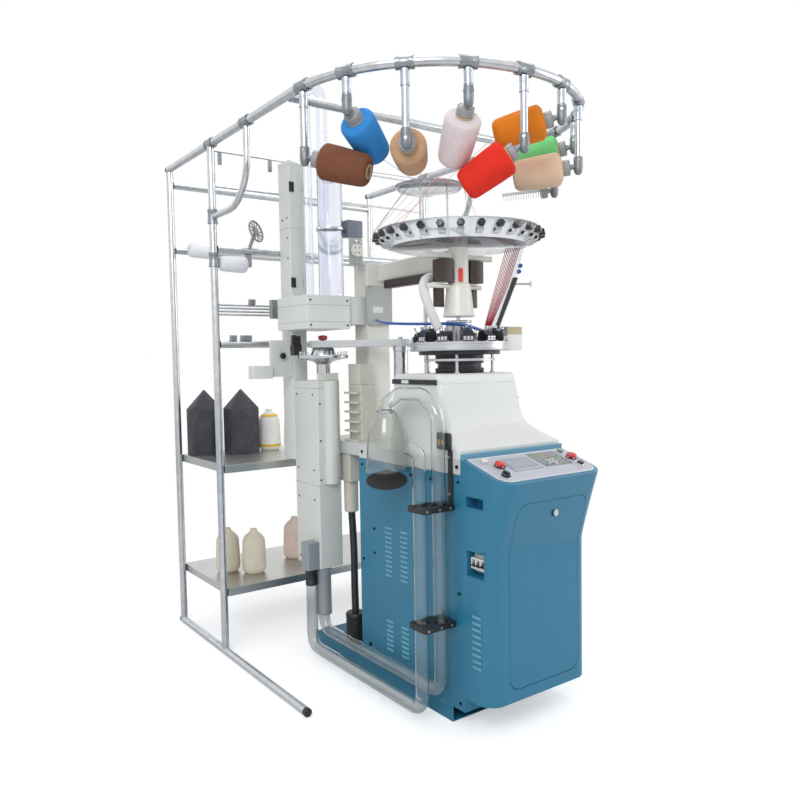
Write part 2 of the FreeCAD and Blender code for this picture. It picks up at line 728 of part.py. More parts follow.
# Cast bed on top of the cabinet, with a tail under the toe-closing unit.
BED_Z = BODY_Z1 + BED_H
bed = box(BODY_X0, BODY_X1, BODY_FRONT_Y, BODY_REAR_Y, BODY_Z1, BED_Z)
bed = bed.fuse(box(TOWER_X1, BED_TAIL_X1, BODY_REAR_Y, BED_TAIL_Y, BODY_Z1, BED_Z)).removeSplitter()
cylinder_bore = (CYL_TUBE_R + RUN_FIT) / cos(pi / CYL_FLATS)
head_foot = vec(HEAD_X, HEAD_Y, BODY_Z1)
bed = bed.cut(turned(head_foot, Z_AXIS, [(cylinder_bore, 0), (cylinder_bore, BED_H)], CYL_FLATS))
save("machine_bed", bed)

# ============================================================ CONSOLE
LEVELS = (
    (CONSOLE_Z0, CONSOLE_FRONT_Y),
    (CONSOLE_FLARE_Z, CONSOLE_FRONT_Y),
    (CONSOLE_FLARE_Z + 120, CONSOLE_FRONT_Y - 34),
    (CONSOLE_FLARE_Z + 195, CONSOLE_FRONT_Y - 56),
    (CONSOLE_LIP_Z, CONSOLE_LIP_Y),
    (CONSOLE_BACK_Z + 5, CONSOLE_LIP_Y),
)
PANEL_RUN = BODY_FRONT_Y - CONSOLE_LIP_Y
PANEL_RISE = CONSOLE_BACK_Z - CONSOLE_LIP_Z
PANEL_SLOPE = hypot(PANEL_RUN, PANEL_RISE)
PANEL_TILT = degrees(atan2(PANEL_RISE, PANEL_RUN))


def console_form(inset):
    """The console's outer form, or its hollow when it is drawn in."""
    rings = []
    back = BODY_FRONT_Y if inset == 0 else BODY_FRONT_Y + 1
    r = CONSOLE_CORNER_R - inset
    for z, y in LEVELS:
        z = z + inset if z == CONSOLE_Z0 else z
        x0 = CONSOLE_X0 + inset + r
        x1 = BODY_X1 - inset - r
        cy = y + inset + r
        ring = [vec(x0 - r, back, z)]
        ring += arc_points(vec(x0, cy, z), X_AXIS, Y_AXIS, r, 180, 270, CONSOLE_CORNER_STEPS)
        ring += arc_points(vec(x1, cy, z), X_AXIS, Y_AXIS, r, 270, 360, CONSOLE_CORNER_STEPS)
        ring.append(vec(x1 + r, back, z))
        rings.append(ring)
    drop = inset / cos(radians(PANEL_TILT))
    lid = [
        vec(CONSOLE_X0 - 5, CONSOLE_LIP_Y - 100, CONSOLE_LIP_Z - drop - 100 * PANEL_RISE / PANEL_RUN),
        vec(CONSOLE_X0 - 5, BODY_FRONT_Y + 100, CONSOLE_BACK_Z - drop + 100 * PANEL_RISE / PANEL_RUN),
        vec(CONSOLE_X0 - 5, BODY_FRONT_Y + 100, CONSOLE_BACK_Z + 200),
        vec(CONSOLE_X0 - 5, CONSOLE_LIP_Y - 100, CONSOLE_BACK_Z + 200),
    ]
    return skinned(rings).cut(prism(lid, X_AXIS * (BODY_X1 - CONSOLE_X0 + 10)))


def on_panel(shape):
    """Lay a shape drawn on the level (x, up the slope, off the panel) on the slope."""
    shape = shape.copy()
    shape.rotate(vec(0, 0, 0), X_AXIS, PANEL_TILT)
    shape.translate(vec(0, CONSOLE_LIP_Y, CONSOLE_LIP_Z))
    return shape


def slope_at(y):
    return (y - CONSOLE_LIP_Y) / cos(radians(PANEL_TILT))


console_outer = console_form(0)
console_inner = console_form(CONSOLE_WALL)
far = CONSOLE_LIP_Y - 20
door_push = Y_AXIS * (CONSOLE_FRONT_Y + 30 - far)
door_hole = prism(rounded_outline(DOOR_X0, DOOR_X1, DOOR_Z0, DOOR_Z1, DOOR_CORNER_R, far), door_push)
g = DOOR_GAP
LIP_GAP = 2.5
door_edge = rounded_outline(DOOR_X0 + g, DOOR_X1 - g, DOOR_Z0 + LIP_GAP, DOOR_Z1 - g, DOOR_CORNER_R, far)
wall = console_outer.cut(console_inner)
lock_z = DOOR_Z1 - LOCK_DROP
lock_y = CONSOLE_FRONT_Y - 51
lock_bore = (LOCK_R + RUN_FIT) / cos(pi / FEW_FLATS)
lock_hole = turned(vec(LOCK_X, lock_y, lock_z), Y_AXIS, [(lock_bore, 0), (lock_bore, 60)], FEW_FLATS)
door = wall.common(prism(door_edge, door_push)).cut(lock_hole)

# Door knuckles turn on two pins held by ears that stand on the console's floor.
# The axis lies above the round corners, so the open door clears them.
HINGE_Y = CONSOLE_FRONT_Y + CONSOLE_WALL + 6
HINGE_Z = DOOR_Z0 + DOOR_CORNER_R + 11
KNUCKLE_LENGTH = 28.0
hinge_bore = (HINGE_PIN_R + RUN_FIT) / cos(pi / FEW_FLATS)
brackets = []
for x, way in ((DOOR_X0 + 20, 1), (DOOR_X1 - 20, -1)):
    knuckle = box(x - 13, x + 13, HINGE_Y - 6, HINGE_Y + 7, HINGE_Z - 7, HINGE_Z + 7)
    start = vec(x, HINGE_Y, HINGE_Z) - X_AXIS * (way * KNUCKLE_LENGTH)
    bore = turned(start, X_AXIS * way, [(hinge_bore, 0), (hinge_bore, KNUCKLE_LENGTH * 2)], FEW_FLATS)
    door = door.fuse(knuckle).cut(bore)
    pin = turned(start, X_AXIS * way, [(HINGE_PIN_R, 0), (HINGE_PIN_R, KNUCKLE_LENGTH + 12)], FEW_FLATS)
    bx = start.x
    ear = box(bx - 4, bx + 4, HINGE_Y - 5, HINGE_Y + 9, CONSOLE_Z0 + CONSOLE_WALL, HINGE_Z + 6)
    brackets.append(ear.fuse(pin))
save("console_door", door)

POCKET_Y0 = -854.0
POCKET_Y1 = -768.0
POCKET_DEPTH = 46.0
POCKET_SKIN = 2.0
BREAKER_Z = 604.0
BREAKER_HALF_Z = 44.0
GRIP_Z = 816.0
GRIP_HALF_Z = 18.0
housing = wall.cut(door_hole)
for z, half in ((BREAKER_Z, BREAKER_HALF_Z), (GRIP_Z, GRIP_HALF_Z)):
    k = POCKET_SKIN
    pocket_x1 = CONSOLE_X0 + POCKET_DEPTH
    cup = box(CONSOLE_X0, pocket_x1 + k, POCKET_Y0 - k, POCKET_Y1 + k, z - half - k, z + half + k)
    housing = housing.fuse(cup).cut(box(CONSOLE_X0, pocket_x1, POCKET_Y0, POCKET_Y1, z - half, z + half))
CONSOLE_VENT_Z = 246.0
CONSOLE_VENT_PITCH = 22.0
CONSOLE_VENT_COUNT = 9
console_vents = []
for k in range(CONSOLE_VENT_COUNT):
    z = CONSOLE_VENT_Z + CONSOLE_VENT_PITCH * k
    console_vents.append(box(CONSOLE_X0, CONSOLE_X0 + CONSOLE_WALL, -838, -788, z, z + 6))
WINDOW_MARGIN = 34.0
m = WINDOW_MARGIN
panel_window = on_panel(box(CONSOLE_X0 + m, BODY_X1 - m, m, PANEL_SLOPE - m, -30, 5))
housing = housing.cut(Part.makeCompound(console_vents)).cut(panel_window)
for bracket in brackets:
    housing = housing.fuse(bracket)
save("console_housing", housing.removeSplitter())

# Cam lock through the top of the door, its tongue level when unlocked.
lock_profile = [(LOCK_R + 3, 0), (LOCK_R + 3, 4), (LOCK_R, 4), (LOCK_R, 30)]
lock = turned(vec(LOCK_X, lock_y + 6, lock_z), Y_AXIS, lock_profile, FEW_FLATS)
tongue = box(LOCK_X - 8, LOCK_X + LOCK_REACH, lock_y + 27, lock_y + 31, lock_z - 8, lock_z + 8)
save("door_lock", lock.fuse(tongue).removeSplitter())

# Sloped control panel with its display, keypad and push buttons.
plate_x0 = CONSOLE_X0 + PLATE_MARGIN
plate_x1 = BODY_X1 - PLATE_MARGIN
round_r = CONSOLE_CORNER_R - PLATE_MARGIN
edge = [vec(plate_x0, PANEL_SLOPE - PLATE_MARGIN, 0)]
edge += arc_points(vec(plate_x0 + round_r, PLATE_MARGIN + round_r, 0), X_AXIS, Y_AXIS, round_r, 180, 270, 3)
edge += arc_points(vec(plate_x1 - round_r, PLATE_MARGIN + round_r, 0), X_AXIS, Y_AXIS, round_r, 270, 360, 3)
edge.append(vec(plate_x1, PANEL_SLOPE - PLATE_MARGIN, 0))
plate = prism(edge, Z_AXIS * PLATE_SHEET)


def panel_knob(x, y, profile, flats=FEW_FLATS):
    return turned(vec(x, slope_at(y), 0), Z_AXIS, profile, flats)


PRESS_GAP = 8.0
button_profile = [
    (BUTTON_STEM_R, -10),
    (BUTTON_STEM_R, PRESS_GAP),
    (BUTTON_R, PRESS_GAP),
    (BUTTON_R, PRESS_GAP + 7),
]
estop_profile = [
    (ESTOP_STEM_R, -12),
    (ESTOP_STEM_R, PRESS_GAP),
    (ESTOP_R, PRESS_GAP + 3),
    (ESTOP_R, PRESS_GAP + 9),
    (12, PRESS_GAP + 14),
]
knob_profile = [
    (BUTTON_STEM_R, -10),
    (BUTTON_STEM_R, PLATE_SHEET + 1),
    (16, PLATE_SHEET + 1),
    (16, PLATE_SHEET + 16),
    (11, PLATE_SHEET + 20),
]
CONTROLS = (
    ("start_button", -138.0, -794.0, button_profile, BUTTON_STEM_R),
    ("estop_left", -103.0, -832.0, estop_profile, ESTOP_STEM_R),
    ("selector_knob", -140.0, -900.0, knob_profile, BUTTON_STEM_R),
    ("green_button", 248.0, -786.0, button_profile, BUTTON_STEM_R),
    ("estop_right", 256.0, -834.0, estop_profile, ESTOP_STEM_R),
    ("black_button", 244.0, -888.0, button_profile, BUTTON_STEM_R),
)
for name, x, y, profile, stem in CONTROLS:
    hole = (stem + RUN_FIT) / cos(pi / FEW_FLATS)
    plate = plate.cut(panel_knob(x, y, [(hole, -1), (hole, PLATE_SHEET + 1)]))
    save(name, on_panel(panel_knob(x, y, profile)))
save("control_panel", on_panel(plate))
DISPLAY = (-74.0, 66.0, slope_at(-878), slope_at(-788))
KEYPAD = (84.0, 222.0, slope_at(-874), slope_at(-770))
display = box(DISPLAY[0], DISPLAY[1], DISPLAY[2], DISPLAY[3], PLATE_SHEET, PLATE_SHEET + 2)
keypad = box(KEYPAD[0], KEYPAD[1], KEYPAD[2], KEYPAD[3], PLATE_SHEET, PLATE_SHEET + 2)
save("display_and_keypad", on_panel(display), on_panel(keypad))

# Three-pole circuit breaker in the side pocket.
BREAKER_X = CONSOLE_X0 + 12
breaker = box(BREAKER_X, CONSOLE_X0 + POCKET_DEPTH, -846, -776, BREAKER_Z - 30, BREAKER_Z + 30)
TOGGLE_X = BREAKER_X + 8
toggle_slot = box(BREAKER_X, BREAKER_X + 20, -840, -782, BREAKER_Z - 12, BREAKER_Z + 14)
save("circuit_breaker", breaker.cut(toggle_slot))
toggle = turned(vec(TOGGLE_X + 2, -839.7, BREAKER_Z), Y_AXIS, [(6, 0), (6, 57.4)], TEE_FLATS)
for y in (-830.0, -811.0, -792.0):
    toggle = toggle.fuse(box(TOGGLE_X - 17, TOGGLE_X, y - 5, y + 5, BREAKER_Z - 6, BREAKER_Z - 1))
save("breaker_toggle", toggle.removeSplitter())

# ============================================================ KNITTING HEAD
# Moulded cover on the machine bed, open below and holed for the column.
def ring_of_block(x0, x1, y0, y1, z, chamfer):
    """A level rectangle with cut corners."""
    c = chamfer
    front = ((x0 + c, y0), (x1 - c, y0), (x1, y0 + c), (x1, y1 - c))
    rear = ((x1 - c, y1), (x0 + c, y1), (x0, y1 - c), (x0, y0 + c))
    return [vec(x, y, z) for x, y in front + rear]


def cover_form(inset):
    rings = []
    for z, x0, x1, y0, y1 in COVER_LEVELS:
        top = inset if z == COVER_TOP_Z else 0
        k = inset
        rings.append(ring_of_block(x0 + k, x1 - k, y0 + k, y1 - k, z - top, COVER_CORNER - k))
    return skinned(rings)


head_axis = vec(HEAD_X, HEAD_Y, 0)
cover = cover_form(0).cut(cover_form(COVER_SKIN))
cover_hole = (COLUMN_R + 2) / cos(pi / TUBE_FLATS)
hole_z = head_axis + Z_AXIS * (COVER_TOP_Z - 20)
cover = cover.cut(turned(hole_z, Z_AXIS, [(cover_hole, 0), (cover_hole, 40)]))
save("table_cover", cover)

# Column and base plate that carry the cylinder, with the cam ring on top.
column_h = PLATE_TOP_Z - PLATE_THICK - BED_Z
column_foot = head_axis + Z_AXIS * BED_Z
column_profile = [
    (COLUMN_R, 0),
    (COLUMN_R, column_h),
    (PLATE_R, column_h),
    (PLATE_R, column_h + PLATE_THICK),
]
column = turned(column_foot, Z_AXIS, column_profile, CYL_FLATS)
column_bore = [(cylinder_bore, 0), (cylinder_bore, column_h + PLATE_THICK)]
column = column.cut(turned(column_foot, Z_AXIS, column_bore, CYL_FLATS))
ring_foot = head_axis + Z_AXIS * PLATE_TOP_Z
cam_ring = turned(ring_foot, Z_AXIS, [(CAM_R, 0), (CAM_R, CAM_H)], MANY_FLATS)
cam_ring = cam_ring.cut(turned(ring_foot, Z_AXIS, [(CAM_INNER_R, 0), (CAM_INNER_R, CAM_H)]))
save("cylinder_column", column, cam_ring)

# Cam and pattern boxes round the ring, and the side box on its bracket.
blocks = []
block_z = PLATE_TOP_Z + CAM_H
for i in range(CAM_BLOCK_COUNT):
    a = 2 * pi * i / CAM_BLOCK_COUNT
    out = vec(cos(a), sin(a), 0)
    side = vec(-sin(a), cos(a), 0) * CAM_BLOCK_HALF
    foot = head_axis + Z_AXIS * block_z
    near = foot + out * CAM_BLOCK_R0
    away = foot + out * CAM_BLOCK_R1
    height = CAM_BLOCK_LOW if i % 2 else CAM_BLOCK_HIGH
    blocks.append(prism([near - side, away - side, away + side, near + side], Z_AXIS * height))
side_x0 = HEAD_X + flat(CAM_R, MANY_FLATS)
blocks.append(box(side_x0, SIDE_BOX_X1, SIDE_BOX_Y0, SIDE_BOX_Y1, PLATE_TOP_Z, SIDE_BOX_Z1))
save("cam_boxes", *blocks)

# Needle cylinder; its tube turns in the column and the bed.
tube_foot = head_axis + Z_AXIS * (BODY_Z1 - 10)
shoulder = PLATE_TOP_Z + SEAT - BODY_Z1 + 10
cylinder_top = CYL_TOP_Z - BODY_Z1 + 10
cylinder_profile = [
    (CYL_TUBE_R, 0),
    (CYL_TUBE_R, shoulder),
    (CYL_R, shoulder),
    (CYL_R, cylinder_top),
]
cylinder = turned(tube_foot, Z_AXIS, cylinder_profile, CYL_FLATS)
bore = [(CYL_BORE_R, 0), (CYL_BORE_R, cylinder_top)]
save("needle_cylinder", cylinder.cut(turned(tube_foot, Z_AXIS, bore)))

# Dial over the needles, on a shaft that turns in the head housing.
dial_z = CYL_TOP_Z + DIAL_GAP
shaft_top = HEAD_NECK_Z - 20 - dial_z
dial_profile = [(CYL_R, 0), (CYL_R, DIAL_H), (DIAL_SHAFT_R, DIAL_H), (DIAL_SHAFT_R, shaft_top)]
save("dial", turned(head_axis + Z_AXIS * dial_z, Z_AXIS, dial_profile, FEW_FLATS))

head_profile = [
    (HEAD_FOOT_R, HEAD_FOOT_Z),
    (HEAD_NECK_R, HEAD_NECK_Z),
    (HEAD_POST_R, HEAD_NECK_Z),
    (HEAD_POST_R, HEAD_TOP_Z),
]
housing = turned(head_axis, Z_AXIS, head_profile)
dial_bore = (DIAL_SHAFT_R + RUN_FIT) / cos(pi / FEW_FLATS)
bore = [(dial_bore, HEAD_FOOT_Z), (dial_bore, HEAD_NECK_Z - 15)]
housing = housing.cut(turned(head_axis, Z_AXIS, bore, FEW_FLATS))
bar_z = HEAD_NECK_Z - 15
handle = rod([vec(HEAD_BAR_X0, HEAD_Y, bar_z), vec(HEAD_BAR_X1, HEAD_Y, bar_z)], HEAD_BAR_R, TEE_FLATS)
handle = handle.cut(turned(head_axis, Z_AXIS, head_profile))
save("head_housing", housing, handle)

# Dark stepper drives on both sides of the post, and the red cap in front.
post_flat = flat(HEAD_POST_R)
drives = []
for way in (-1, 1):
    inner_x = HEAD_X + way * post_flat
    outer_x = HEAD_X + way * DRIVE_REACH
    bar_x = HEAD_X + way * CROSSBAR_REACH
    x0, x1 = sorted((inner_x, outer_x))
    drives.append(box(x0, x1, HEAD_Y - 28, HEAD_Y + 28, HEAD_NECK_Z, HEAD_NECK_Z + 90))
    x0, x1 = sorted((inner_x, bar_x))
    drives.append(box(x0, x1, HEAD_Y - 12, HEAD_Y + 12, HEAD_NECK_Z + 90, HEAD_NECK_Z + 112))
front = vec(-0.5, -cos(pi / 6), 0)
across = vec(cos(pi / 6), -0.5, 0)
cap_root = head_axis + front * post_flat + Z_AXIS * (HEAD_NECK_Z + 2)
cap_outline = [
    cap_root - across * 9,
    cap_root + across * 9,
    cap_root + across * 9 + front * 12,
    cap_root - across * 9 + front * 12,
]
save("head_cap", prism(cap_outline, Z_AXIS * 52))

# Feeder disc: a flat floor with a clear rim that slants up and outwards.
feed_foot = head_axis + Z_AXIS * HEAD_TOP_Z
feed_out = [(FEED_FLAT_R, 0), (FEED_R, FEED_RISE)]
feed_in = [(FEED_FLAT_R - FEED_SKIN * 0.4, FEED_SKIN), (FEED_R - FEED_SKIN, FEED_RISE)]
feeder = turned(feed_foot, Z_AXIS, feed_out, FEED_UNIT_COUNT)
feeder = feeder.cut(turned(feed_foot, Z_AXIS, feed_in, FEED_UNIT_COUNT))
floor_z = HEAD_TOP_Z + FEED_SKIN
guide_foot = vec(GUIDE_DISC_X, GUIDE_DISC_Y, GUIDE_DISC_Z - FEED_SKIN)
guide = turned(guide_foot, Z_AXIS, [(GUIDE_DISC_R, 0), (GUIDE_DISC_R, FEED_SKIN)], CYL_FLATS)
stays = []
for x in (GUIDE_DISC_X - 70, GUIDE_DISC_X + 70):
    y = GUIDE_DISC_Y - 30
    stays.append(rod([vec(x, y, floor_z), vec(x, y, GUIDE_DISC_Z - FEED_SKIN)], ROD_R, TEE_FLATS))
save("feeder_disc", feeder, guide, *stays)

# One yarn feeler on the outside of every flat of the rim.
units = []
unit_tops = []
rim_slope = (FEED_R - FEED_FLAT_R) / FEED_RISE
for i in range(FEED_UNIT_COUNT):
    a = 2 * pi * i / FEED_UNIT_COUNT
    out = vec(cos(a), sin(a), 0)
    side = vec(-sin(a), cos(a), 0) * UNIT_HALF
    spots = []
    for rise, proud in ((UNIT_LOW, 0), (UNIT_LOW, UNIT_PROUD), (UNIT_HIGH, UNIT_PROUD), (UNIT_HIGH, 0)):
        radius = flat(FEED_FLAT_R + rim_slope * rise, FEED_UNIT_COUNT) + proud
        spots.append(feed_foot + out * radius + Z_AXIS * rise - side)
    units.append(prism(spots, side * 2))
    unit_tops.append(feed_foot + out * (radius + UNIT_PROUD - 5) + Z_AXIS * UNIT_HIGH)
save("feeder_units", *units)

# Rear column on the bed tail, its arm over the head, and the lamp bar.
post_y0 = REAR_COLUMN_Y - 55
post_x0 = REAR_COLUMN_X - 60
post_x1 = REAR_COLUMN_X + 60
rear_post = box(post_x0, post_x1, post_y0, post_y0 + 110, BED_Z, ARM_BEAM_Z + ARM_BEAM_H)
beam_y0 = HEAD_Y + post_flat
beam_x0 = HEAD_X - ARM_BEAM_W / 2
beam = box(beam_x0, beam_x0 + ARM_BEAM_W, beam_y0, post_y0, ARM_BEAM_Z, ARM_BEAM_Z + ARM_BEAM_H)
control_box = box(post_x0 - 10, post_x1, post_y0 - 20, post_y0, CONTROL_BOX_Z0, CONTROL_BOX_Z1)
feed_bar = box(ELASTIC_X1, post_x0, post_y0 + 20, post_y0 + 40, ELASTIC_Z0, ARM_BEAM_Z + ARM_BEAM_H)
save("rear_column", rear_post, beam, control_box, feed_bar)

lamp = box(beam_x0 - 20, beam_x0 + 20, beam_y0 + 25, post_y0 - 70, ARM_BEAM_Z - 36, ARM_BEAM_Z)
cover_bar = box(BODY_X0 - 6, BODY_X0, COVER_BAR_Y0, COVER_BAR_Y1, COVER_TOP_Z - 38, COVER_TOP_Z - 19)
save("dark_drives", lamp, cover_bar, *drives)

# Toothed ramp that leads the yarns down to the needles, and its end wheel.
ramp_way = VIEW_RIGHT.normalize()
ramp_side = Z_AXIS.cross(ramp_way) * (RAMP_THICK / 2)


def on_ramp(reach, z):
    return head_axis + ramp_way * reach + Z_AXIS * z


ramp = [on_ramp(112, RAMP_FOOT_Z), on_ramp(156, RAMP_FOOT_Z)]
for k in range(RAMP_TOOTH_COUNT):
    t0 = k / RAMP_TOOTH_COUNT
    t1 = (k + 0.5) / RAMP_TOOTH_COUNT
    ramp.append(on_ramp(156 + RAMP_RUN * t0 + 8, RAMP_FOOT_Z + 4 + RAMP_TALL * t0))
    ramp.append(on_ramp(156 + RAMP_RUN * t1, RAMP_FOOT_Z + 4 + RAMP_TALL * t1))
ramp.append(on_ramp(156 + RAMP_RUN, RAMP_FOOT_Z + 4 + RAMP_TALL))
ramp += [on_ramp(258, HEAD_TOP_Z), on_ramp(218, HEAD_TOP_Z)]
ramp_plate = prism([p - ramp_side for p in ramp], ramp_side * 2)
axle_start = on_ramp(156 + RAMP_RUN * 0.8, RAMP_WHEEL_Z)
axle = turned(axle_start, ramp_way, [(4, 0), (4, RAMP_AXLE)], TEE_FLATS).cut(ramp_plate)
save("yarn_ramp", ramp_plate.fuse(axle).removeSplitter())
wheel_bore = (4 + RUN_FIT) / cos(pi / TEE_FLATS)
wheel_foot = axle_start + ramp_way * (RAMP_AXLE - 8)
wheel = turned(wheel_foot, ramp_way, [(RAMP_WHEEL_R, 0), (RAMP_WHEEL_R, 6)], FEW_FLATS)
save("ramp_wheel", wheel.cut(turned(wheel_foot, ramp_way, [(wheel_bore, 0), (wheel_bore, 6)], TEE_FLATS)))

# Blue air line from the control box round the head, and the ribbed hose.
AIR_ROUTE = (
    (0, post_y0 - 16, 1480),
    (-62, -60, 1462),
    (-78, -260, 1448),
    (-38, -410, 1442),
    (-22, -485, 1440),
    (12, -530, 1436),
    (HEAD_X, HEAD_Y - CAM_BLOCK_R0 - 3, 1410),
)
air_block = blocks[CAM_BLOCK_COUNT * 3 // 4]
air_hose = rod([vec(*spot) for spot in AIR_ROUTE], AIR_HOSE_R, TEE_FLATS)
save("air_hose", air_hose.cut(control_box).cut(air_block))
SUCTION_ROUTE = (
    (beam_x0 - 20, beam_y0 + 45, ARM_BEAM_Z - 19),
    (beam_x0 - 70, beam_y0 + 40, ARM_BEAM_Z - 25),
    (-100, -415, 1580),
    (-104, -442, 1530),
    (-92, -456, 1480),
    (-72, -474, block_z + CAM_BLOCK_HIGH - 4),
)
suction_hose = rod([vec(*spot) for spot in SUCTION_ROUTE], SUCTION_HOSE_R, FEW_FLATS)
save("suction_hose", suction_hose.cut(lamp).cut(Part.makeCompound(blocks)))

# Elastic feeder on its bar, with the white measuring wheel in front.
elastic = box(ELASTIC_X0, ELASTIC_X1, post_y0 + 5, post_y0 + 55, ELASTIC_Z0, ELASTIC_Z1)
elastic_x = (ELASTIC_X0 + ELASTIC_X1) / 2
stem_bore = (6 + RUN_FIT) / cos(pi / FEW_FLATS)
stem_end = vec(elastic_x, post_y0 + 25, ELASTIC_WHEEL_Z)
elastic = elastic.cut(turned(stem_end, Y_AXIS * -1, [(stem_bore, 0), (stem_bore, 20)], FEW_FLATS))
save("elastic_feeder", elastic)
wheel_profile = [(6, 0), (6, 22), (ELASTIC_WHEEL_R, 22), (ELASTIC_WHEEL_R, 36)]
save("feeder_wheel", turned(stem_end, Y_AXIS * -1, wheel_profile, FEW_FLATS))

# ============================================================ TOE-CLOSING UNIT
# White tower: lower housing with a half-round cover, tall back column and the
# two housings over the link ring.
lower = box(TOWER_X0, TOWER_X1, TOWER_Y0, TOWER_Y1, TOWER_Z0, TOWER_Z1)
half_foot = vec(HALF_ROUND_X, TOWER_Y0, HALF_ROUND_Z0)
half_round = arc_points(half_foot, X_AXIS, Y_AXIS, HALF_ROUND_R, 180, 360, 5)
half_cover = prism(half_round, Z_AXIS * (TOWER_Z1 - HALF_ROUND_Z0))
back = [
    vec(TOWER_X0, TOWER_Y1, TOWER_BACK_Z0),
    vec(TOWER_X0, TOWER_BACK_Y, TOWER_BACK_Z0),
    vec(TOWER_X0, TOWER_BACK_Y, TOWER_BACK_Z1 - 20),
    vec(TOWER_X0, TOWER_Y1, TOWER_BACK_Z1),
]
back_column = prism(back, X_AXIS * (TOWER_BACK_X1 - TOWER_X0))
upper_left = box(UPPER_X0, UPPER_SPLIT_X, UPPER_Y0, TOWER_Y1, UPPER_Z0, UPPER_Z1)
upper_right = box(UPPER_SPLIT_X, UPPER_X1, UPPER_Y0 + 20, TOWER_Y1 - 60, UPPER_Z0 + 20, UPPER_Z1)
tower_cap = box(TOWER_X0 + 5, TOWER_X1 - 5, TOWER_Y0, TOWER_Y0 + 9, TOWER_Z1, TOWER_Z1 + 32)
bracket_x0 = TOWER_X0 - BRACKET_REACH
bracket = box(bracket_x0, TOWER_X0, TOWER_Y1, TOWER_Y1 + 20, BRACKET_Z0, BRACKET_Z1)
box_z0 = BRACKET_Z0 - 6
white_box = box(bracket_x0 - 98, bracket_x0, TOWER_Y1 - 20, TOWER_Y1 + 30, box_z0, box_z0 + WHITE_BOX_H)
housings = [lower, half_cover, back_column, upper_left, upper_right, tower_cap, bracket, white_box]

# Clear sock cylinder and the clear riser that bends over behind it.
clear_foot = vec(CLEAR_X, CLEAR_Y, UPPER_Z1)
clear_h = CLEAR_TOP_Z - UPPER_Z1
clear = turned(clear_foot, Z_AXIS, [(CLEAR_R, 0), (CLEAR_R, clear_h)])
inside_r = CLEAR_R - CLEAR_WALL
clear = clear.cut(turned(clear_foot, Z_AXIS, [(inside_r, 0), (inside_r, clear_h)]))
riser_mid = (RISER_X0 + RISER_X1) / 2
riser_bend = arc_points(
    vec(riser_mid, RISER_Y, RISER_TOP_Z), X_AXIS, Z_AXIS, (RISER_X1 - RISER_X0) / 2, 180, 0, 4
)
riser = [vec(RISER_X0, RISER_Y, UPPER_Z1)] + riser_bend + [vec(RISER_X1, RISER_Y, UPPER_Z1)]
save("clear_tubes", clear, pipe(riser, RISER_R, CLEAR_WALL, FEW_FLATS))
clamp_foot = vec(CLEAR_X, CLEAR_Y, CLAMP_RING_Z)
clamp_bore = (CLEAR_R + SEAT * 0.5) / cos(pi / FEW_FLATS)
clamp_outer = clamp_bore + 7
clamp_ring = turned(clamp_foot, Z_AXIS, [(clamp_outer, 0), (clamp_outer, 12)], FEW_FLATS)
clamp_ring = clamp_ring.cut(turned(clamp_foot, Z_AXIS, [(clamp_bore, 0), (clamp_bore, 12)], FEW_FLATS))

# Pedestal, bright link plate and cone; the arm swings over the cone.
link_axis = vec(LINK_X, LINK_Y, 0)
ring_h = LINK_RING_Z - TOWER_Z1
link_profile = [
    (LINK_FOOT_R, 0),
    (LINK_FOOT_R, ring_h),
    (LINK_RING_R, ring_h),
    (LINK_RING_R, ring_h + 15),
    (LINK_CONE_R, ring_h + 15),
    (LINK_CONE_R * 0.75, SWING_Z - SEAT - TOWER_Z1),
]
link = turned(link_axis + Z_AXIS * TOWER_Z1, Z_AXIS, link_profile, CYL_FLATS)
latch_z = LINK_RING_Z + 15
latch = box(LINK_X - 113, LINK_X - 73, LINK_Y + 55, LINK_Y + 90, latch_z, latch_z + 85)
pivot = vec(PIVOT_X, PIVOT_Y, 0)
pivot_profile = [
    (PIVOT_FOOT_R, BED_Z),
    (PIVOT_FOOT_R, SWING_Z - SEAT),
    (PIVOT_R, SWING_Z - SEAT),
    (PIVOT_R, SWING_Z + SWING_THICK + 10),
]
save("link_ring", link, latch, clamp_ring, turned(pivot, Z_AXIS, pivot_profile, FEW_FLATS))

swing = vec(LINK_X - PIVOT_X, LINK_Y - PIVOT_Y, 0)
swing_way = degrees(atan2(swing.y, swing.x))
arm_level = Z_AXIS * SWING_Z
arm = arc_points(link_axis + arm_level, X_AXIS, Y_AXIS, SWING_END_R, swing_way - 90, swing_way + 90, 4)
arm += arc_points(pivot + arm_level, X_AXIS, Y_AXIS, SWING_HUB_R, swing_way + 90, swing_way + 270, 4)
arm = prism(arm, Z_AXIS * SWING_THICK)
pivot_bore = (PIVOT_R + RUN_FIT) / cos(pi / FEW_FLATS)
wheel_stem_bore = (HAND_STEM_R + RUN_FIT) / cos(pi / FEW_FLATS)
arm = arm.cut(turned(pivot + arm_level, Z_AXIS, [(pivot_bore, 0), (pivot_bore, SWING_THICK)], FEW_FLATS))
stem_foot = link_axis + Z_AXIS * (SWING_Z + 10)
arm = arm.cut(turned(stem_foot, Z_AXIS, [(wheel_stem_bore, 0), (wheel_stem_bore, SWING_THICK)], FEW_FLATS))
save("transfer_arm", arm)
hand_profile = [
    (HAND_STEM_R, 2),
    (HAND_STEM_R, SWING_THICK - 8),
    (HAND_WHEEL_R, SWING_THICK - 2),
    (HAND_WHEEL_R, SWING_THICK + 18),
]
save("hand_wheel", turned(stem_foot, Z_AXIS, hand_profile, FEW_FLATS))

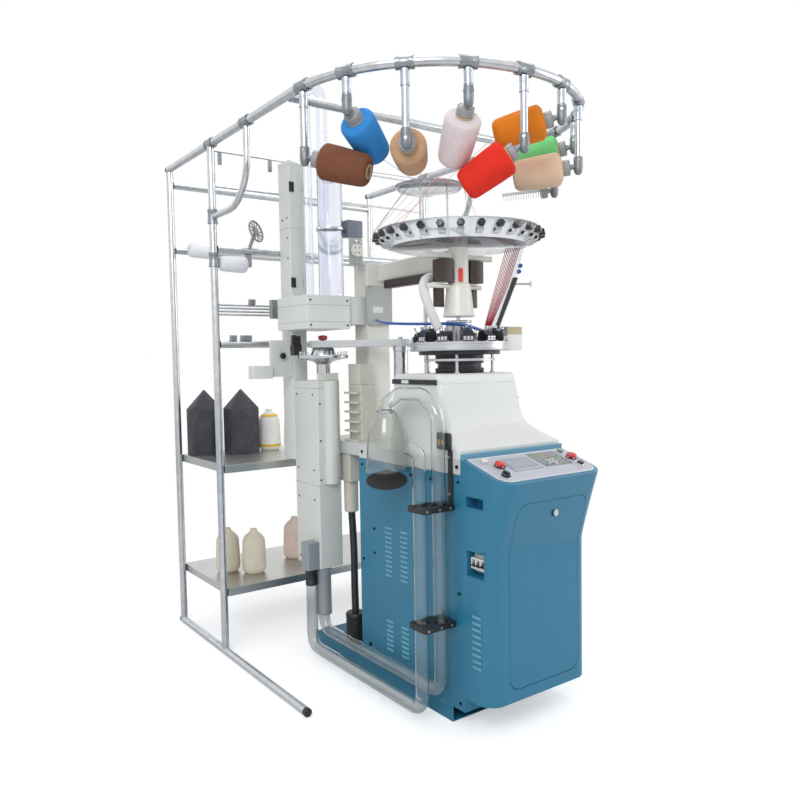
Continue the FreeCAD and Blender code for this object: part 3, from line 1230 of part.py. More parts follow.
# Fin stack on the bed tail, and the drive boxes that hang below it.
stack = [vec(FIN_X1, FIN_Y0, FIN_Z1), vec(FIN_X1, FIN_Y0, BED_Z)]
for k in range(FIN_COUNT):
    z = BED_Z + FIN_PITCH * k
    stack += [vec(FIN_X0, FIN_Y0, z), vec(FIN_X0, FIN_Y0, z + FIN_THICK)]
    stack += [vec(FIN_X0 + 28, FIN_Y0, z + FIN_THICK), vec(FIN_X0 + 28, FIN_Y0, z + FIN_PITCH)]
stack[-1] = vec(FIN_X0 + 28, FIN_Y0, FIN_Z1)
fins = prism(stack, Y_AXIS * FIN_DEPTH)
step_block = box(FIN_X0 + 28, FIN_X1, FIN_Y0 + 10, FIN_Y0 + FIN_DEPTH, FIN_Z1, FIN_Z1 + 90)
gear_box = box(FIN_X0, -30, 60, 200, GEAR_BOX_Z0, BODY_Z1)
gear_foot = vec(-112, 110, MOTOR_Z0)
gear_motor = turned(gear_foot, Z_AXIS, [(32, 0), (32, GEAR_BOX_Z0 - MOTOR_Z0)], FEW_FLATS)
save("toe_drives", fins, step_block, gear_box, gear_motor)

# ============================================================ SUCTION PIPES
BEND = BEND_R * 0.3
OUTER_PATH = [
    vec(OUTER_X - 33, OUTER_FRONT_Y + 24, OUTER_TOP_Z),
    vec(OUTER_X, OUTER_FRONT_Y, OUTER_TOP_Z - 22),
    vec(OUTER_X, OUTER_FRONT_Y, OUTER_RUN_Z + BEND_R),
    vec(OUTER_X, OUTER_FRONT_Y + BEND, OUTER_RUN_Z + BEND),
    vec(OUTER_X, OUTER_FRONT_Y + BEND_R, OUTER_RUN_Z),
    vec(OUTER_X, PIPE_REAR_Y - BEND_R, OUTER_RUN_Z),
    vec(OUTER_X, PIPE_REAR_Y - BEND, OUTER_RUN_Z + BEND),
    vec(OUTER_X, PIPE_REAR_Y, OUTER_RUN_Z + BEND_R),
    vec(OUTER_X, PIPE_REAR_Y, OUTER_END_Z),
]
bell_axis = vec(BELL_X, BELL_Y, 0)
INNER_PATH = [
    bell_axis + Z_AXIS * (BELL_NECK_Z - 10),
    bell_axis + Z_AXIS * (BELL_NECK_Z + 14),
    vec(BELL_X + 6, BELL_Y - 40, ARCH_Z),
    vec(BELL_X + 20, (BELL_Y + INNER_FRONT_Y) / 2, ARCH_Z + 26),
    vec(INNER_X - 6, INNER_FRONT_Y + 40, ARCH_Z),
    vec(INNER_X, INNER_FRONT_Y, BELL_NECK_Z),
    vec(INNER_X, INNER_FRONT_Y, INNER_RUN_Z + BEND_R),
    vec(INNER_X, INNER_FRONT_Y + BEND, INNER_RUN_Z + BEND),
    vec(INNER_X, INNER_FRONT_Y + BEND_R, INNER_RUN_Z),
    vec(INNER_X, PIPE_REAR_Y - BEND_R, INNER_RUN_Z),
    vec(INNER_X, PIPE_REAR_Y - BEND, INNER_RUN_Z + BEND),
    vec(INNER_X, PIPE_REAR_Y, INNER_RUN_Z + BEND_R),
    vec(INNER_X, PIPE_REAR_Y, INNER_END_Z),
]
outer_pipe = pipe(OUTER_PATH, PIPE_R, PIPE_WALL, FEW_FLATS)
inner_pipe = pipe(INNER_PATH, PIPE_R, PIPE_WALL, FEW_FLATS)
save("glass_pipes", outer_pipe, inner_pipe)

# Grey ducts from the pipe ends to the tower, and the black connector.
duct_foot = vec(INNER_X, PIPE_REAR_Y, INNER_END_Z)
round_duct = turned(duct_foot, Z_AXIS, [(DUCT_R, 0), (DUCT_R, TOWER_Z0 - INNER_END_Z)], FEW_FLATS)
connector_foot = vec(OUTER_X, PIPE_REAR_Y, OUTER_END_Z)
connector_top = OUTER_END_Z + 70
connector = turned(connector_foot, Z_AXIS, [(27, 0), (27, 70)], FEW_FLATS)
duct_y0 = PIPE_REAR_Y - 32
side_duct = box(TOWER_X0 - 58, TOWER_X0, duct_y0, duct_y0 + 64, connector_top, connector_top + 120)
save("tower_housings", round_duct, side_duct, *housings)

# Black hose bundle behind the cabinet, from the motor to the pump drum.
HOSE_ROUTE = ((-112, 110, MOTOR_Z0 + 2), (-108, 100, 470), (-130, 70, 300), (-120, 80, PUMP_Z1 - 4))
rear_hose = rod([vec(*spot) for spot in HOSE_ROUTE], REAR_HOSE_R, TEE_FLATS)
pump = turned(vec(-120, 80, BODY_Z0), Z_AXIS, [(PUMP_R, 0), (PUMP_R, PUMP_Z1 - BODY_Z0)], FEW_FLATS)
save("rear_hose_and_pump", connector, rear_hose.cut(pump).cut(gear_motor), pump)

# Clear bell under the arch of the inner pipe.
bell_profile = (
    (BELL_R, BELL_RIM_Z),
    (BELL_R * 0.95, BELL_RIM_Z + 75),
    (BELL_R * 0.8, BELL_RIM_Z + 160),
    (BELL_NECK_R, BELL_NECK_Z),
)
bell = turned(bell_axis, Z_AXIS, bell_profile, CONE_FLATS)
hollow = [(r - BELL_WALL, z) for r, z in bell_profile[:3]] + [(PIPE_R - 4, BELL_NECK_Z - 12)]
bell = bell.cut(turned(bell_axis, Z_AXIS, hollow, CONE_FLATS))
neck_bore = PIPE_R + SEAT / cos(pi / FEW_FLATS)
neck = turned(bell_axis, Z_AXIS, [(neck_bore, BELL_NECK_Z - 12), (neck_bore, BELL_NECK_Z)], FEW_FLATS)
save("suction_bell", bell.cut(neck))

# Black flap on a pin from the cabinet wall; it hangs open below the bell.
flap_axis = bell_axis + VIEW_AWAY.normalize() * FLAP_REACH + Z_AXIS * FLAP_Z
pin_way = VIEW_RIGHT.normalize()
pin_from = flap_axis - pin_way * 14
pin = turned(pin_from, pin_way, [(4, 0), (4, 120)], TEE_FLATS)
pin = pin.cut(box(BODY_X0, BODY_X0 + 150, flap_axis.y - 200, flap_axis.y + 100, FLAP_Z - 20, FLAP_Z + 20))
flap_centre = flap_axis - VIEW_AWAY.normalize() * FLAP_REACH + Z_AXIS * 8
flap = turned(flap_centre, Z_AXIS, [(BELL_R, 0), (BELL_R, 5)])
away = VIEW_AWAY.normalize()
lug_root = flap_axis - away * (FLAP_REACH - BELL_R + 12) - Z_AXIS * 8 - pin_way * 10
lug = [lug_root, lug_root + away * (FLAP_REACH - BELL_R + 22)]
lug += [lug[1] + Z_AXIS * 21, lug[0] + Z_AXIS * 21]
flap = flap.fuse(prism(lug, pin_way * 20))
flap_bore = (4 + RUN_FIT) / cos(pi / TEE_FLATS)
flap = flap.cut(turned(pin_from, pin_way, [(flap_bore, 0), (flap_bore, 40)], TEE_FLATS))
flap.rotate(flap_axis, pin_way, FLAP_TILT)
save("bell_flap", flap)

# Two clips hold both pipes to the cabinet; a plate and strip stand above.
clips = [pin]
for z in CLIP_HEIGHTS:
    clip = box(OUTER_X - 34, BODY_X0, INNER_FRONT_Y - 34, OUTER_FRONT_Y + 34, z - 10, z + 10)
    for x, y in ((OUTER_X, OUTER_FRONT_Y), (INNER_X, INNER_FRONT_Y)):
        hole = (PIPE_R + SEAT) / cos(pi / FEW_FLATS)
        clip = clip.cut(turned(vec(x, y, z - 10), Z_AXIS, [(hole, 0), (hole, 20)], FEW_FLATS))
    clips.append(clip)
clips.append(box(BODY_X0 - 14, BODY_X0, -684, -614, PLATE_FOOT_Z, PLATE_HEAD_Z))
clips.append(box(BODY_X0 - 8, BODY_X0, -690, -668, CLIP_HEIGHTS[1] + 10, PLATE_FOOT_Z))
save("pipe_clips", *clips)

# ============================================================ YARN THREADS
# From each cone's nose to the upper disc's rim and on to a feeler.
threads = []
for nose in cone_noses:
    centre = vec(GUIDE_DISC_X, GUIDE_DISC_Y, GUIDE_DISC_Z + YARN_R)
    ahead = vec(nose.x - centre.x, nose.y - centre.y, 0).normalize()
    rim = centre + ahead * (GUIDE_DISC_R + 2)
    target = min(unit_tops, key=lambda spot: (spot - rim).Length)
    unit_tops.remove(target)
    threads.append(rod([nose, rim, target + Z_AXIS * YARN_R], YARN_R, 4))
save("yarn_threads", *threads)
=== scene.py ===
"""Looks of a circular sock-knitting machine with its yarn rack, console, toe-closing unit and suction pipes."""

from math import atan2, cos, hypot, pi, radians, sin

import bmesh
import bpy
from mathutils import Matrix, Vector


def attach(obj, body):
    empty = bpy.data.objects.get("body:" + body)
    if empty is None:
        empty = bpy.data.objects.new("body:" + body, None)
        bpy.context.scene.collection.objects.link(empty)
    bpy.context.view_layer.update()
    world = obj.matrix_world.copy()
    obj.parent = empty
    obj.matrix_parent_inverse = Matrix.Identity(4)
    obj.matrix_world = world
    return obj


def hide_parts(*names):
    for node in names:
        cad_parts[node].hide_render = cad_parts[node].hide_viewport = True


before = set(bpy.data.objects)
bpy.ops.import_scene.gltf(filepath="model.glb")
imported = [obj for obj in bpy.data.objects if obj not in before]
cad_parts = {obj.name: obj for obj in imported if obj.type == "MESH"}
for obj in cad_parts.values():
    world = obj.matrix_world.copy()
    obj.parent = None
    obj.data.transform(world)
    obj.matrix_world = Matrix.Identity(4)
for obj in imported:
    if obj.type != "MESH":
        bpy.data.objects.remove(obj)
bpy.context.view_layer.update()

# ------------------------------------------------------------------ studio
# A pale floor under soft, even light, with the camera where the photographer
# stood: left of the console, at chest height, looking slightly down.
scene = bpy.context.scene
scene.view_settings.view_transform = "Standard"


def into_scene(thing):
    scene.collection.objects.link(thing)
    return thing


def settled(node, **values):
    """Fill in a node: names with a capital are its inputs, _ for a space; small ones are its own properties."""
    for name, value in values.items():
        if name[0].isupper():
            node.inputs[name.replace("_", " ")].default_value = value
        else:
            setattr(node, name, value)
    return node


def added(tree, kind, **values):
    return settled(tree.nodes.new(kind), **values)


def blank_finish(name):
    """A new material, its node tree and its shader."""
    paint = bpy.data.materials.new(name)
    paint.use_nodes = True
    return paint, paint.node_tree, paint.node_tree.nodes["Principled BSDF"]


def join_up(tree, *links):
    """Connect (node, output) to (node, input) for each pair."""
    for start, out, end, into in links:
        tree.links.new(start.outputs[out], end.inputs[into])


def photographer():
    yaw, pitch, roll = 0.627, 0.055, -0.017
    ahead = Vector((sin(yaw) * cos(pitch), cos(yaw) * cos(pitch), -sin(pitch)))
    level = Vector((cos(yaw), -sin(yaw), 0.0))
    upward = level.cross(ahead)
    right = level * cos(roll) + upward * sin(roll)
    top = upward * cos(roll) - level * sin(roll)
    lens = bpy.data.cameras.new("photo_camera")
    lens.sensor_width = 36.0
    lens.lens = 36.0 * 751.0 / 800.0
    lens.clip_end = 60.0
    camera = into_scene(bpy.data.objects.new("photo_camera", lens))
    turn = Matrix((right, top, -ahead)).transposed().to_4x4()
    camera.matrix_world = Matrix.Translation((-1.874, -2.703, 1.309)) @ turn
    return camera


scene.camera = photographer()


def studio_world():
    world = bpy.data.worlds.new("studio_world")
    world.use_nodes = True
    tree = world.node_tree
    tree.nodes.clear()
    seen = added(tree, "ShaderNodeLightPath")
    either = added(tree, "ShaderNodeMath", operation="MAXIMUM")
    any_view = added(tree, "ShaderNodeMath", operation="MAXIMUM")
    light = added(tree, "ShaderNodeBackground", Color=(0.985, 0.99, 1.0, 1.0), Strength=0.62)
    white = added(tree, "ShaderNodeBackground", Color=(1.0, 1.0, 1.0, 1.0), Strength=1.0)
    blend = added(tree, "ShaderNodeMixShader")
    out = added(tree, "ShaderNodeOutputWorld")
    join_up(
        tree,
        (seen, "Is Camera Ray", either, 0),
        (seen, "Is Glossy Ray", either, 1),
        (either, 0, any_view, 0),
        (seen, "Is Transmission Ray", any_view, 1),
        (any_view, 0, blend, 0),
        (light, 0, blend, 1),
        (white, 0, blend, 2),
        (blend, 0, out, "Surface"),
    )
    scene.world = world


studio_world()


def soft_box(name, spot, aim, size, power):
    """One large area lamp that faces a point on the machine."""
    lamp = bpy.data.lights.new(name, "AREA")
    lamp.shape = "RECTANGLE"
    lamp.size, lamp.size_y = size
    lamp.energy = power
    holder = into_scene(bpy.data.objects.new(name, lamp))
    run = Vector(aim) - Vector(spot)
    holder.matrix_world = Matrix.Translation(spot) @ run.to_track_quat("-Z", "Y").to_matrix().to_4x4()
    return holder


soft_box("key_light", (-3.4, -3.2, 3.6), (0.0, -0.1, 1.1), (2.2, 2.2), 95.0)
soft_box("fill_light", (3.4, -2.6, 2.4), (0.0, -0.1, 1.1), (2.4, 2.4), 42.0)
soft_box("top_light", (0.0, 0.2, 4.6), (0.0, 0.0, 0.0), (2.6, 2.6), 48.0)


def studio_floor():
    mesh = bpy.data.meshes.new("studio_floor")
    edge = 14.0
    mesh.from_pydata([(-edge, -edge, 0), (edge, -edge, 0), (edge, edge, 0), (-edge, edge, 0)], [], [(0, 1, 2, 3)])
    floor = into_scene(bpy.data.objects.new("studio_floor", mesh))
    paint, tree, shader = blank_finish("white_studio_floor")
    settled(shader, Base_Color=(0.82, 0.83, 0.85, 1.0), Roughness=0.9, Specular_IOR_Level=0.1)
    seen = added(tree, "ShaderNodeLightPath")
    glow = added(tree, "ShaderNodeEmission", Color=(1.0, 1.0, 1.0, 1.0))
    strength = added(tree, "ShaderNodeMath", operation="MULTIPLY")
    strength.inputs[1].default_value = 0.45
    both = added(tree, "ShaderNodeAddShader")
    place = added(tree, "ShaderNodeTexCoord")
    reach = added(tree, "ShaderNodeVectorMath", operation="LENGTH")
    away = added(tree, "ShaderNodeMapRange", From_Min=1.0, From_Max=2.2)
    far = added(tree, "ShaderNodeMath", operation="MULTIPLY")
    plain = added(tree, "ShaderNodeEmission")
    blend = added(tree, "ShaderNodeMixShader")
    out = tree.nodes["Material Output"]
    join_up(
        tree,
        (seen, "Is Camera Ray", strength, 0),
        (strength, 0, glow, "Strength"),
        (shader, 0, both, 0),
        (glow, 0, both, 1),
        (place, "Object", reach, 0),
        (reach, "Value", away, "Value"),
        (away, 0, far, 0),
        (seen, "Is Camera Ray", far, 1),
        (far, 0, blend, 0),
        (both, 0, blend, 1),
        (plain, 0, blend, 2),
        (blend, 0, out, "Surface"),
    )
    mesh.materials.append(paint)


studio_floor()

# ------------------------------------------------------------------ rack tubes
# The yarn rack is drawn steel tube, zinc-plated and left bright: two feet on
# the floor, four posts, one tube bent to a U over the machine, level tubes and
# thin rods between the posts, and two bent braces.
STEEL_TUBE_R = 0.017
POST_X = 0.585
POST_FRONT_Y = 0.44
POST_REAR_Y = 0.96
RACK_REAR_Y = 0.965
FOOT_Z = 0.01663
RING_Z = 2.25
RING_BEND_Y = -0.33
SIDES = (-POST_X, POST_X)


def new_group(name, kind, takes, gives):
    """A node group with named inputs (name, socket, value) and outputs (name, socket)."""
    group = bpy.data.node_groups.new(name, kind)
    for title, socket, value in takes:
        entry = group.interface.new_socket(title, in_out="INPUT", socket_type="NodeSocket" + socket)
        if value is not None:
            entry.default_value = value
    for title, socket in gives:
        group.interface.new_socket(title, in_out="OUTPUT", socket_type="NodeSocket" + socket)
    return group, group.nodes.new("NodeGroupInput"), group.nodes.new("NodeGroupOutput")


def maths(tree, operation, *values):
    """A math node with its plain inputs filled in."""
    node = added(tree, "ShaderNodeMath", operation=operation)
    for slot, value in enumerate(values):
        if value is not None:
            node.inputs[slot].default_value = value
    return node


def tone_group():
    """Uneven tone, smudges and fine relief, for paint, plastic and bare metal."""
    group, given, result = new_group("uneven surface", "ShaderNodeTree", (
        ("Colour", "Color", (0.5, 0.5, 0.5, 1.0)), ("Stain colour", "Color", (0.3, 0.3, 0.3, 1.0)),
        ("Patch size", "Float", 0.08), ("Unevenness", "Float", 0.1), ("Staining", "Float", 0.1),
        ("Gloss", "Float", 0.4), ("Gloss change", "Float", 0.1), ("Grain size", "Float", 0.002),
    ), (("Colour", "Color"), ("Roughness", "Float"), ("Relief", "Float")))
    place = added(group, "ShaderNodeTexCoord")
    wide = maths(group, "DIVIDE", 1.0)
    fine = maths(group, "DIVIDE", 1.0)
    patches = added(group, "ShaderNodeTexNoise", Detail=5.0)
    smears = added(group, "ShaderNodeTexNoise", Detail=8.0, Roughness=0.7)
    half = maths(group, "MULTIPLY", None, 0.37)
    grain = added(group, "ShaderNodeTexNoise", Detail=2.0)
    centred = maths(group, "SUBTRACT", None, 0.5)
    swing = maths(group, "MULTIPLY")
    value = maths(group, "ADD", None, 1.0)
    shade = added(group, "ShaderNodeHueSaturation")
    spots = added(group, "ShaderNodeMapRange", From_Min=0.52, From_Max=0.78)
    amount = maths(group, "MULTIPLY")
    mix = added(group, "ShaderNodeMix", data_type="RGBA")
    duller = maths(group, "MULTIPLY_ADD")
    join_up(
        group,
        (given, "Patch size", wide, 1),
        (given, "Grain size", fine, 1),
        (place, "Object", patches, "Vector"),
        (place, "Object", smears, "Vector"),
        (place, "Object", grain, "Vector"),
        (wide, 0, patches, "Scale"),
        (wide, 0, half, 0),
        (half, 0, smears, "Scale"),
        (fine, 0, grain, "Scale"),
        (patches, 0, centred, 0),
        (centred, 0, swing, 0),
        (given, "Unevenness", swing, 1),
        (swing, 0, value, 0),
        (value, 0, shade, "Value"),
        (given, "Colour", shade, "Color"),
        (smears, 0, spots, "Value"),
        (spots, 0, amount, 0),
        (given, "Staining", amount, 1),
        (amount, 0, mix, 0),
        (shade, 0, mix, 6),
        (given, "Stain colour", mix, 7),
        (mix, 2, result, "Colour"),
        (smears, 0, duller, 0),
        (given, "Gloss change", duller, 1),
        (given, "Gloss", duller, 2),
        (duller, 0, result, "Roughness"),
        (grain, 0, result, "Relief"),
    )
    return group


UNEVEN = tone_group()


def finish(name, colour, gloss=0.4, metal=0.0, uneven=0.12, stain=0.1, stain_colour=None, patch=0.08,
           gloss_change=0.12, grain=0.002, relief=0.02, coat=0.0):
    """A surface that is one colour at first sight, with the unevenness that real ones have."""
    paint, tree, shader = blank_finish(name)
    settled(shader, Metallic=metal, Coat_Weight=coat, Coat_Roughness=0.08)
    dirt = stain_colour or tuple(part * 0.45 for part in colour)
    tone = added(tree, "ShaderNodeGroup", node_tree=UNEVEN, Colour=(*colour, 1.0), Stain_colour=(*dirt, 1.0),
                 Patch_size=patch, Unevenness=uneven, Staining=stain, Gloss=gloss - gloss_change * 0.5,
                 Gloss_change=gloss_change, Grain_size=grain)
    bump = added(tree, "ShaderNodeBump", Strength=relief, Distance=0.0005)
    join_up(
        tree,
        (tone, "Colour", shader, "Base Color"),
        (tone, "Roughness", shader, "Roughness"),
        (tone, "Relief", bump, "Height"),
        (bump, "Normal", shader, "Normal"),
    )
    return paint


def tube_tree():
    """Geometry nodes: a round section carried along a path."""
    tree, given, result = new_group("tube along a path", "GeometryNodeTree", (
        ("Path", "Geometry", None), ("Radius", "Float", 0.017), ("Sides", "Int", 24), ("Material", "Material", None),
    ), (("Tube", "Geometry"),))
    curve = added(tree, "GeometryNodeMeshToCurve")
    section = added(tree, "GeometryNodeCurvePrimitiveCircle")
    skin = added(tree, "GeometryNodeCurveToMesh", Fill_Caps=True)
    real = added(tree, "GeometryNodeRealizeInstances")
    paint = added(tree, "GeometryNodeSetMaterial")
    join_up(
        tree,
        (given, "Path", curve, "Mesh"),
        (given, "Sides", section, "Resolution"),
        (given, "Radius", section, "Radius"),
        (curve, "Curve", skin, "Curve"),
        (section, "Curve", skin, "Profile Curve"),
        (skin, "Mesh", real, "Geometry"),
        (real, "Geometry", paint, "Geometry"),
        (given, "Material", paint, "Material"),
        (paint, "Geometry", result, "Tube"),
    )
    return tree


TUBE_TREE = tube_tree()


def grown(name, start, tree, **values):
    """Run a geometry nodes tree on a start mesh and keep the plain mesh it gives."""
    seed = into_scene(bpy.data.objects.new(name, start))
    grow = seed.modifiers.new("shape", "NODES")
    grow.node_group = tree
    wanted = {key.replace("_", " "): value for key, value in values.items()}
    for socket in tree.interface.items_tree:
        if socket.item_type == "SOCKET" and socket.in_out == "INPUT" and socket.name in wanted:
            grow[socket.identifier] = wanted.pop(socket.name)
    if wanted:
        raise ValueError("the tree has no input named " + ", ".join(wanted))
    bpy.context.view_layer.update()
    ready = seed.evaluated_get(bpy.context.evaluated_depsgraph_get())
    mesh = bpy.data.meshes.new_from_object(ready)
    seed.modifiers.clear()
    bpy.data.objects.remove(seed)
    mesh.name = name
    return mesh


def piece(name, mesh, paint, body="machine", stands_for=(), crease=35.0):
    """Put a finished mesh on the machine: finish, shading, body, and the solids it stands for."""
    mesh.name = name
    mesh.materials.clear()
    mesh.materials.append(paint)
    mesh.shade_smooth()
    mesh.set_sharp_from_angle(angle=radians(crease))
    thing = into_scene(bpy.data.objects.new(name, mesh))
    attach(thing, body)
    if stands_for:
        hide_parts(*stands_for)
    return thing


def wires(name, runs):
    """A mesh of plain polylines, the paths for the tube tree."""
    mesh = bpy.data.meshes.new(name)
    points, edges = [], []
    for run in runs:
        first = len(points)
        points += [tuple(spot) for spot in run]
        edges += [(k, k + 1) for k in range(first, len(points) - 1)]
    mesh.from_pydata(points, edges, [])
    return mesh


def tubes(name, runs, radius, paint, stands_for=(), sides=24):
    """Round bars or tubes along polylines, closed at their ends."""
    mesh = grown(name, wires(name + "_paths", runs), TUBE_TREE, Radius=radius, Sides=sides, Material=paint)
    return piece(name, mesh, paint, stands_for=stands_for)


zinc_tube = finish("bright_zinc_tube", (0.6, 0.62, 0.64), gloss=0.24, metal=1.0, uneven=0.5, stain=0.35, patch=0.03,
                   gloss_change=0.25, grain=0.0015, relief=0.05)


def ring_path():
    """The overhead tube: straight, half round over the machine, and straight again."""
    run = [(-POST_X, RACK_REAR_Y, RING_Z)]
    for k in range(73):
        a = pi + pi * k / 72
        run.append((POST_X * cos(a), RING_BEND_Y + POST_X * sin(a), RING_Z))
    run.append((POST_X, RACK_REAR_Y, RING_Z))
    return run


tubes("overhead_tube", [ring_path()], STEEL_TUBE_R * 0.985, zinc_tube, stands_for=["ring_tube"], sides=28)
leg_runs = []
for x in SIDES:
    leg_runs.append([(x, -0.3, FOOT_Z), (x, RACK_REAR_Y, FOOT_Z)])
    leg_runs.append([(x, POST_FRONT_Y, 0.03), (x, POST_FRONT_Y, RING_Z - 0.012)])
    leg_runs.append([(x, POST_REAR_Y, 0.03), (x, POST_REAR_Y, RING_Z - 0.016)])
tubes("feet_and_posts", leg_runs, STEEL_TUBE_R * 0.96, zinc_tube, stands_for=["rack_legs"])
RAIL_X = POST_X - 0.016
rail_runs = []
for y, z in ((POST_REAR_Y, 2.173), (POST_REAR_Y, 1.857), (POST_FRONT_Y, 1.8), (POST_FRONT_Y, 1.385), (-0.26, RING_Z)):
    rail_runs.append([(-RAIL_X, y, z), (RAIL_X, y, z)])
tubes("level_tubes", rail_runs, STEEL_TUBE_R * 0.95, zinc_tube, stands_for=["rack_rails"])
thin_runs = []
for z in (2.07, 2.222):
    thin_runs.append([(-RAIL_X, POST_FRONT_Y, z), (RAIL_X, POST_FRONT_Y, z)])
for k in range(4):
    z = 1.516 + 0.014 * k
    thin_runs.append([(-RAIL_X, POST_FRONT_Y, z), (-0.32, POST_FRONT_Y, z)])
tubes("thin_rods", thin_runs, 0.0045, zinc_tube, sides=12)
brace_runs = []
for x in SIDES:
    run = [(x, 0.075, RING_Z - 0.02)]
    for k in range(17):
        a = pi + pi / 2 * k / 16
        run.append((x, 0.265 + 0.19 * cos(a), 2.128 + 0.19 * sin(a)))
    run.append((x, POST_FRONT_Y - 0.02, 1.938))
    brace_runs.append(run)
tubes("bent_braces", brace_runs, 0.0134, zinc_tube, stands_for=["rack_braces"])

# ------------------------------------------------------------------ end caps
# Black moulded plugs close every open end of the rack's tubes; the two in
# front rest on the floor and carry the wear there.


def shade(red, green, blue):
    """A colour as the eye reads it, 0 to 255, in the light's own scale."""
    parts = []
    for value in (red, green, blue):
        value /= 255
        parts.append(value / 12.92 if value <= 0.04045 else ((value + 0.055) / 1.055) ** 2.4)
    return tuple(parts)


def rod_line(radius, length):
    """The profile of a plain rod that stands on its base."""
    return [(0.0, 0.0), (radius, 0.0), (radius, length), (0.0, length)]


def oblong(a0, a1, b0, b1):
    """The corners of an oblong, as points (a, b); turned, they make a plain hoop of bore a0 and radius a1."""
    return [(a0, b0), (a1, b0), (a1, b1), (a0, b1)]


class Form:
    """Surfaces of one piece, gathered before they become its mesh."""

    def __init__(self):
        self.spots, self.faces, self.maps = [], [], []

    def add(self, spots, faces, maps=None):
        first = len(self.spots)
        self.spots += [tuple(spot) for spot in spots]
        self.faces += [[first + k for k in face] for face in faces]
        self.maps += maps or [None] * len(faces)

    def turned(self, base, axis, profile, sides=32, ring=False):
        """A turned part; profile lists (radius, distance from base), and ring closes it round a bore."""
        base, axis = Vector(base), Vector(axis).normalized()
        side = Vector((0, 1, 0)) if abs(axis.z) > 0.99 else Vector((0, 0, 1))
        u = side.cross(axis).normalized()
        v = axis.cross(u)
        spots, loops, runs, run = [], [], [], 0.0
        for k, (radius, along) in enumerate(profile):
            if k:
                run += hypot(radius - profile[k - 1][0], along - profile[k - 1][1])
            runs.append(run)
            loop = []
            for s in range(1 if radius < 1e-6 else sides):
                a = 2 * pi * s / sides
                loop.append(len(spots))
                spots.append(base + axis * along + (u * cos(a) + v * sin(a)) * radius)
            loops.append(loop)
        faces, maps = [], []
        pairs = list(zip(range(len(loops)), range(1, len(loops))))
        if ring:
            pairs.append((len(loops) - 1, 0))
        for low, high in pairs:
            for s in range(sides):
                t = (s + 1) % sides
                if len(loops[low]) > 1 and len(loops[high]) > 1:
                    faces.append([loops[low][s], loops[low][t], loops[high][t], loops[high][s]])
                    maps.append([(s / sides, runs[low]), ((s + 1) / sides, runs[low]), ((s + 1) / sides, runs[high]),
                                (s / sides, runs[high])])
                elif len(loops[low]) > 1:
                    faces.append([loops[low][s], loops[low][t], loops[high][0]])
                    maps.append([(s / sides, runs[low]), ((s + 1) / sides, runs[low]), (s / sides, runs[high])])
                elif len(loops[high]) > 1:
                    faces.append([loops[low][0], loops[high][t], loops[high][s]])
                    maps.append([(s / sides, runs[low]), ((s + 1) / sides, runs[high]), (s / sides, runs[high])])
        if not ring:
            for loop in (loops[0], loops[-1]):
                if len(loop) > 1:
                    faces.append(list(loop))
                    maps.append(None)
        self.add(spots, faces, maps)

    def pushed(self, outline, push):
        """A flat outline pushed along a vector."""
        near = [Vector(spot) for spot in outline]
        far = [spot + Vector(push) for spot in near]
        n = len(near)
        faces = [list(range(n)), list(range(n, 2 * n))]
        faces += [[k, (k + 1) % n, n + (k + 1) % n, n + k] for k in range(n)]
        self.add(near + far, faces)

    def block(self, x0, x1, y0, y1, z0, z1):
        self.pushed([(x0, y0, z0), (x1, y0, z0), (x1, y1, z0), (x0, y1, z0)], (0, 0, z1 - z0))

    def made(self, name, paint, body="machine", stands_for=(), crease=35.0):
        return piece(name, self.mesh(name), paint, body, stands_for, crease)

    def mesh(self, name):
        """The gathered surfaces as one mesh with its faces pointing outwards."""
        mesh = bpy.data.meshes.new(name)
        work = bmesh.new()
        made = [work.verts.new(spot) for spot in self.spots]
        layer = work.loops.layers.uv.new("around")
        for face, plan in zip(self.faces, self.maps):
            corners = work.faces.new([made[k] for k in face])
            for corner, spot in zip(corners.loops, plan or [(0.0, 0.0)] * len(face)):
                corner[layer].uv = spot
        bmesh.ops.recalc_face_normals(work, faces=work.faces)
        work.to_mesh(mesh)
        work.free()
        return mesh


def eased(thing, width=0.0008, steps=2, angle=38.0):
    """Break a piece's sharp edges, as moulding, casting or a file would."""
    edge = thing.modifiers.new("broken edges", "BEVEL")
    edge.width = width
    edge.segments = steps
    edge.limit_method = "ANGLE"
    edge.angle_limit = radians(angle)
    edge.harden_normals = True
    return thing


black_plastic = finish("black_moulded_plastic", shade(34, 35, 38), gloss=0.45, uneven=0.15, stain=0.25,
                       stain_colour=shade(82, 82, 84), patch=0.05, grain=0.0012, relief=0.08)
caps = Form()
for x in SIDES:
    for y, z, way in ((-0.3, FOOT_Z, -1), (RACK_REAR_Y, FOOT_Z, 1), (RACK_REAR_Y, RING_Z, 1)):
        dome = [(0.0, 0.0), (0.0162, 0.0), (0.0164, 0.016), (0.014, 0.0192), (0.0, 0.0198)]
        caps.turned((x, y, z), (0, way, 0), dome, 28)
eased(caps.made("tube_end_plugs", black_plastic, stands_for=["tube_end_caps"]), 0.001)

# ------------------------------------------------------------------ tube clamps
# Die-cast split tees grip the tubes wherever two meet, each pulled tight by a
# socket screw; small clips, lumps and one tie block sit on the thin rods.


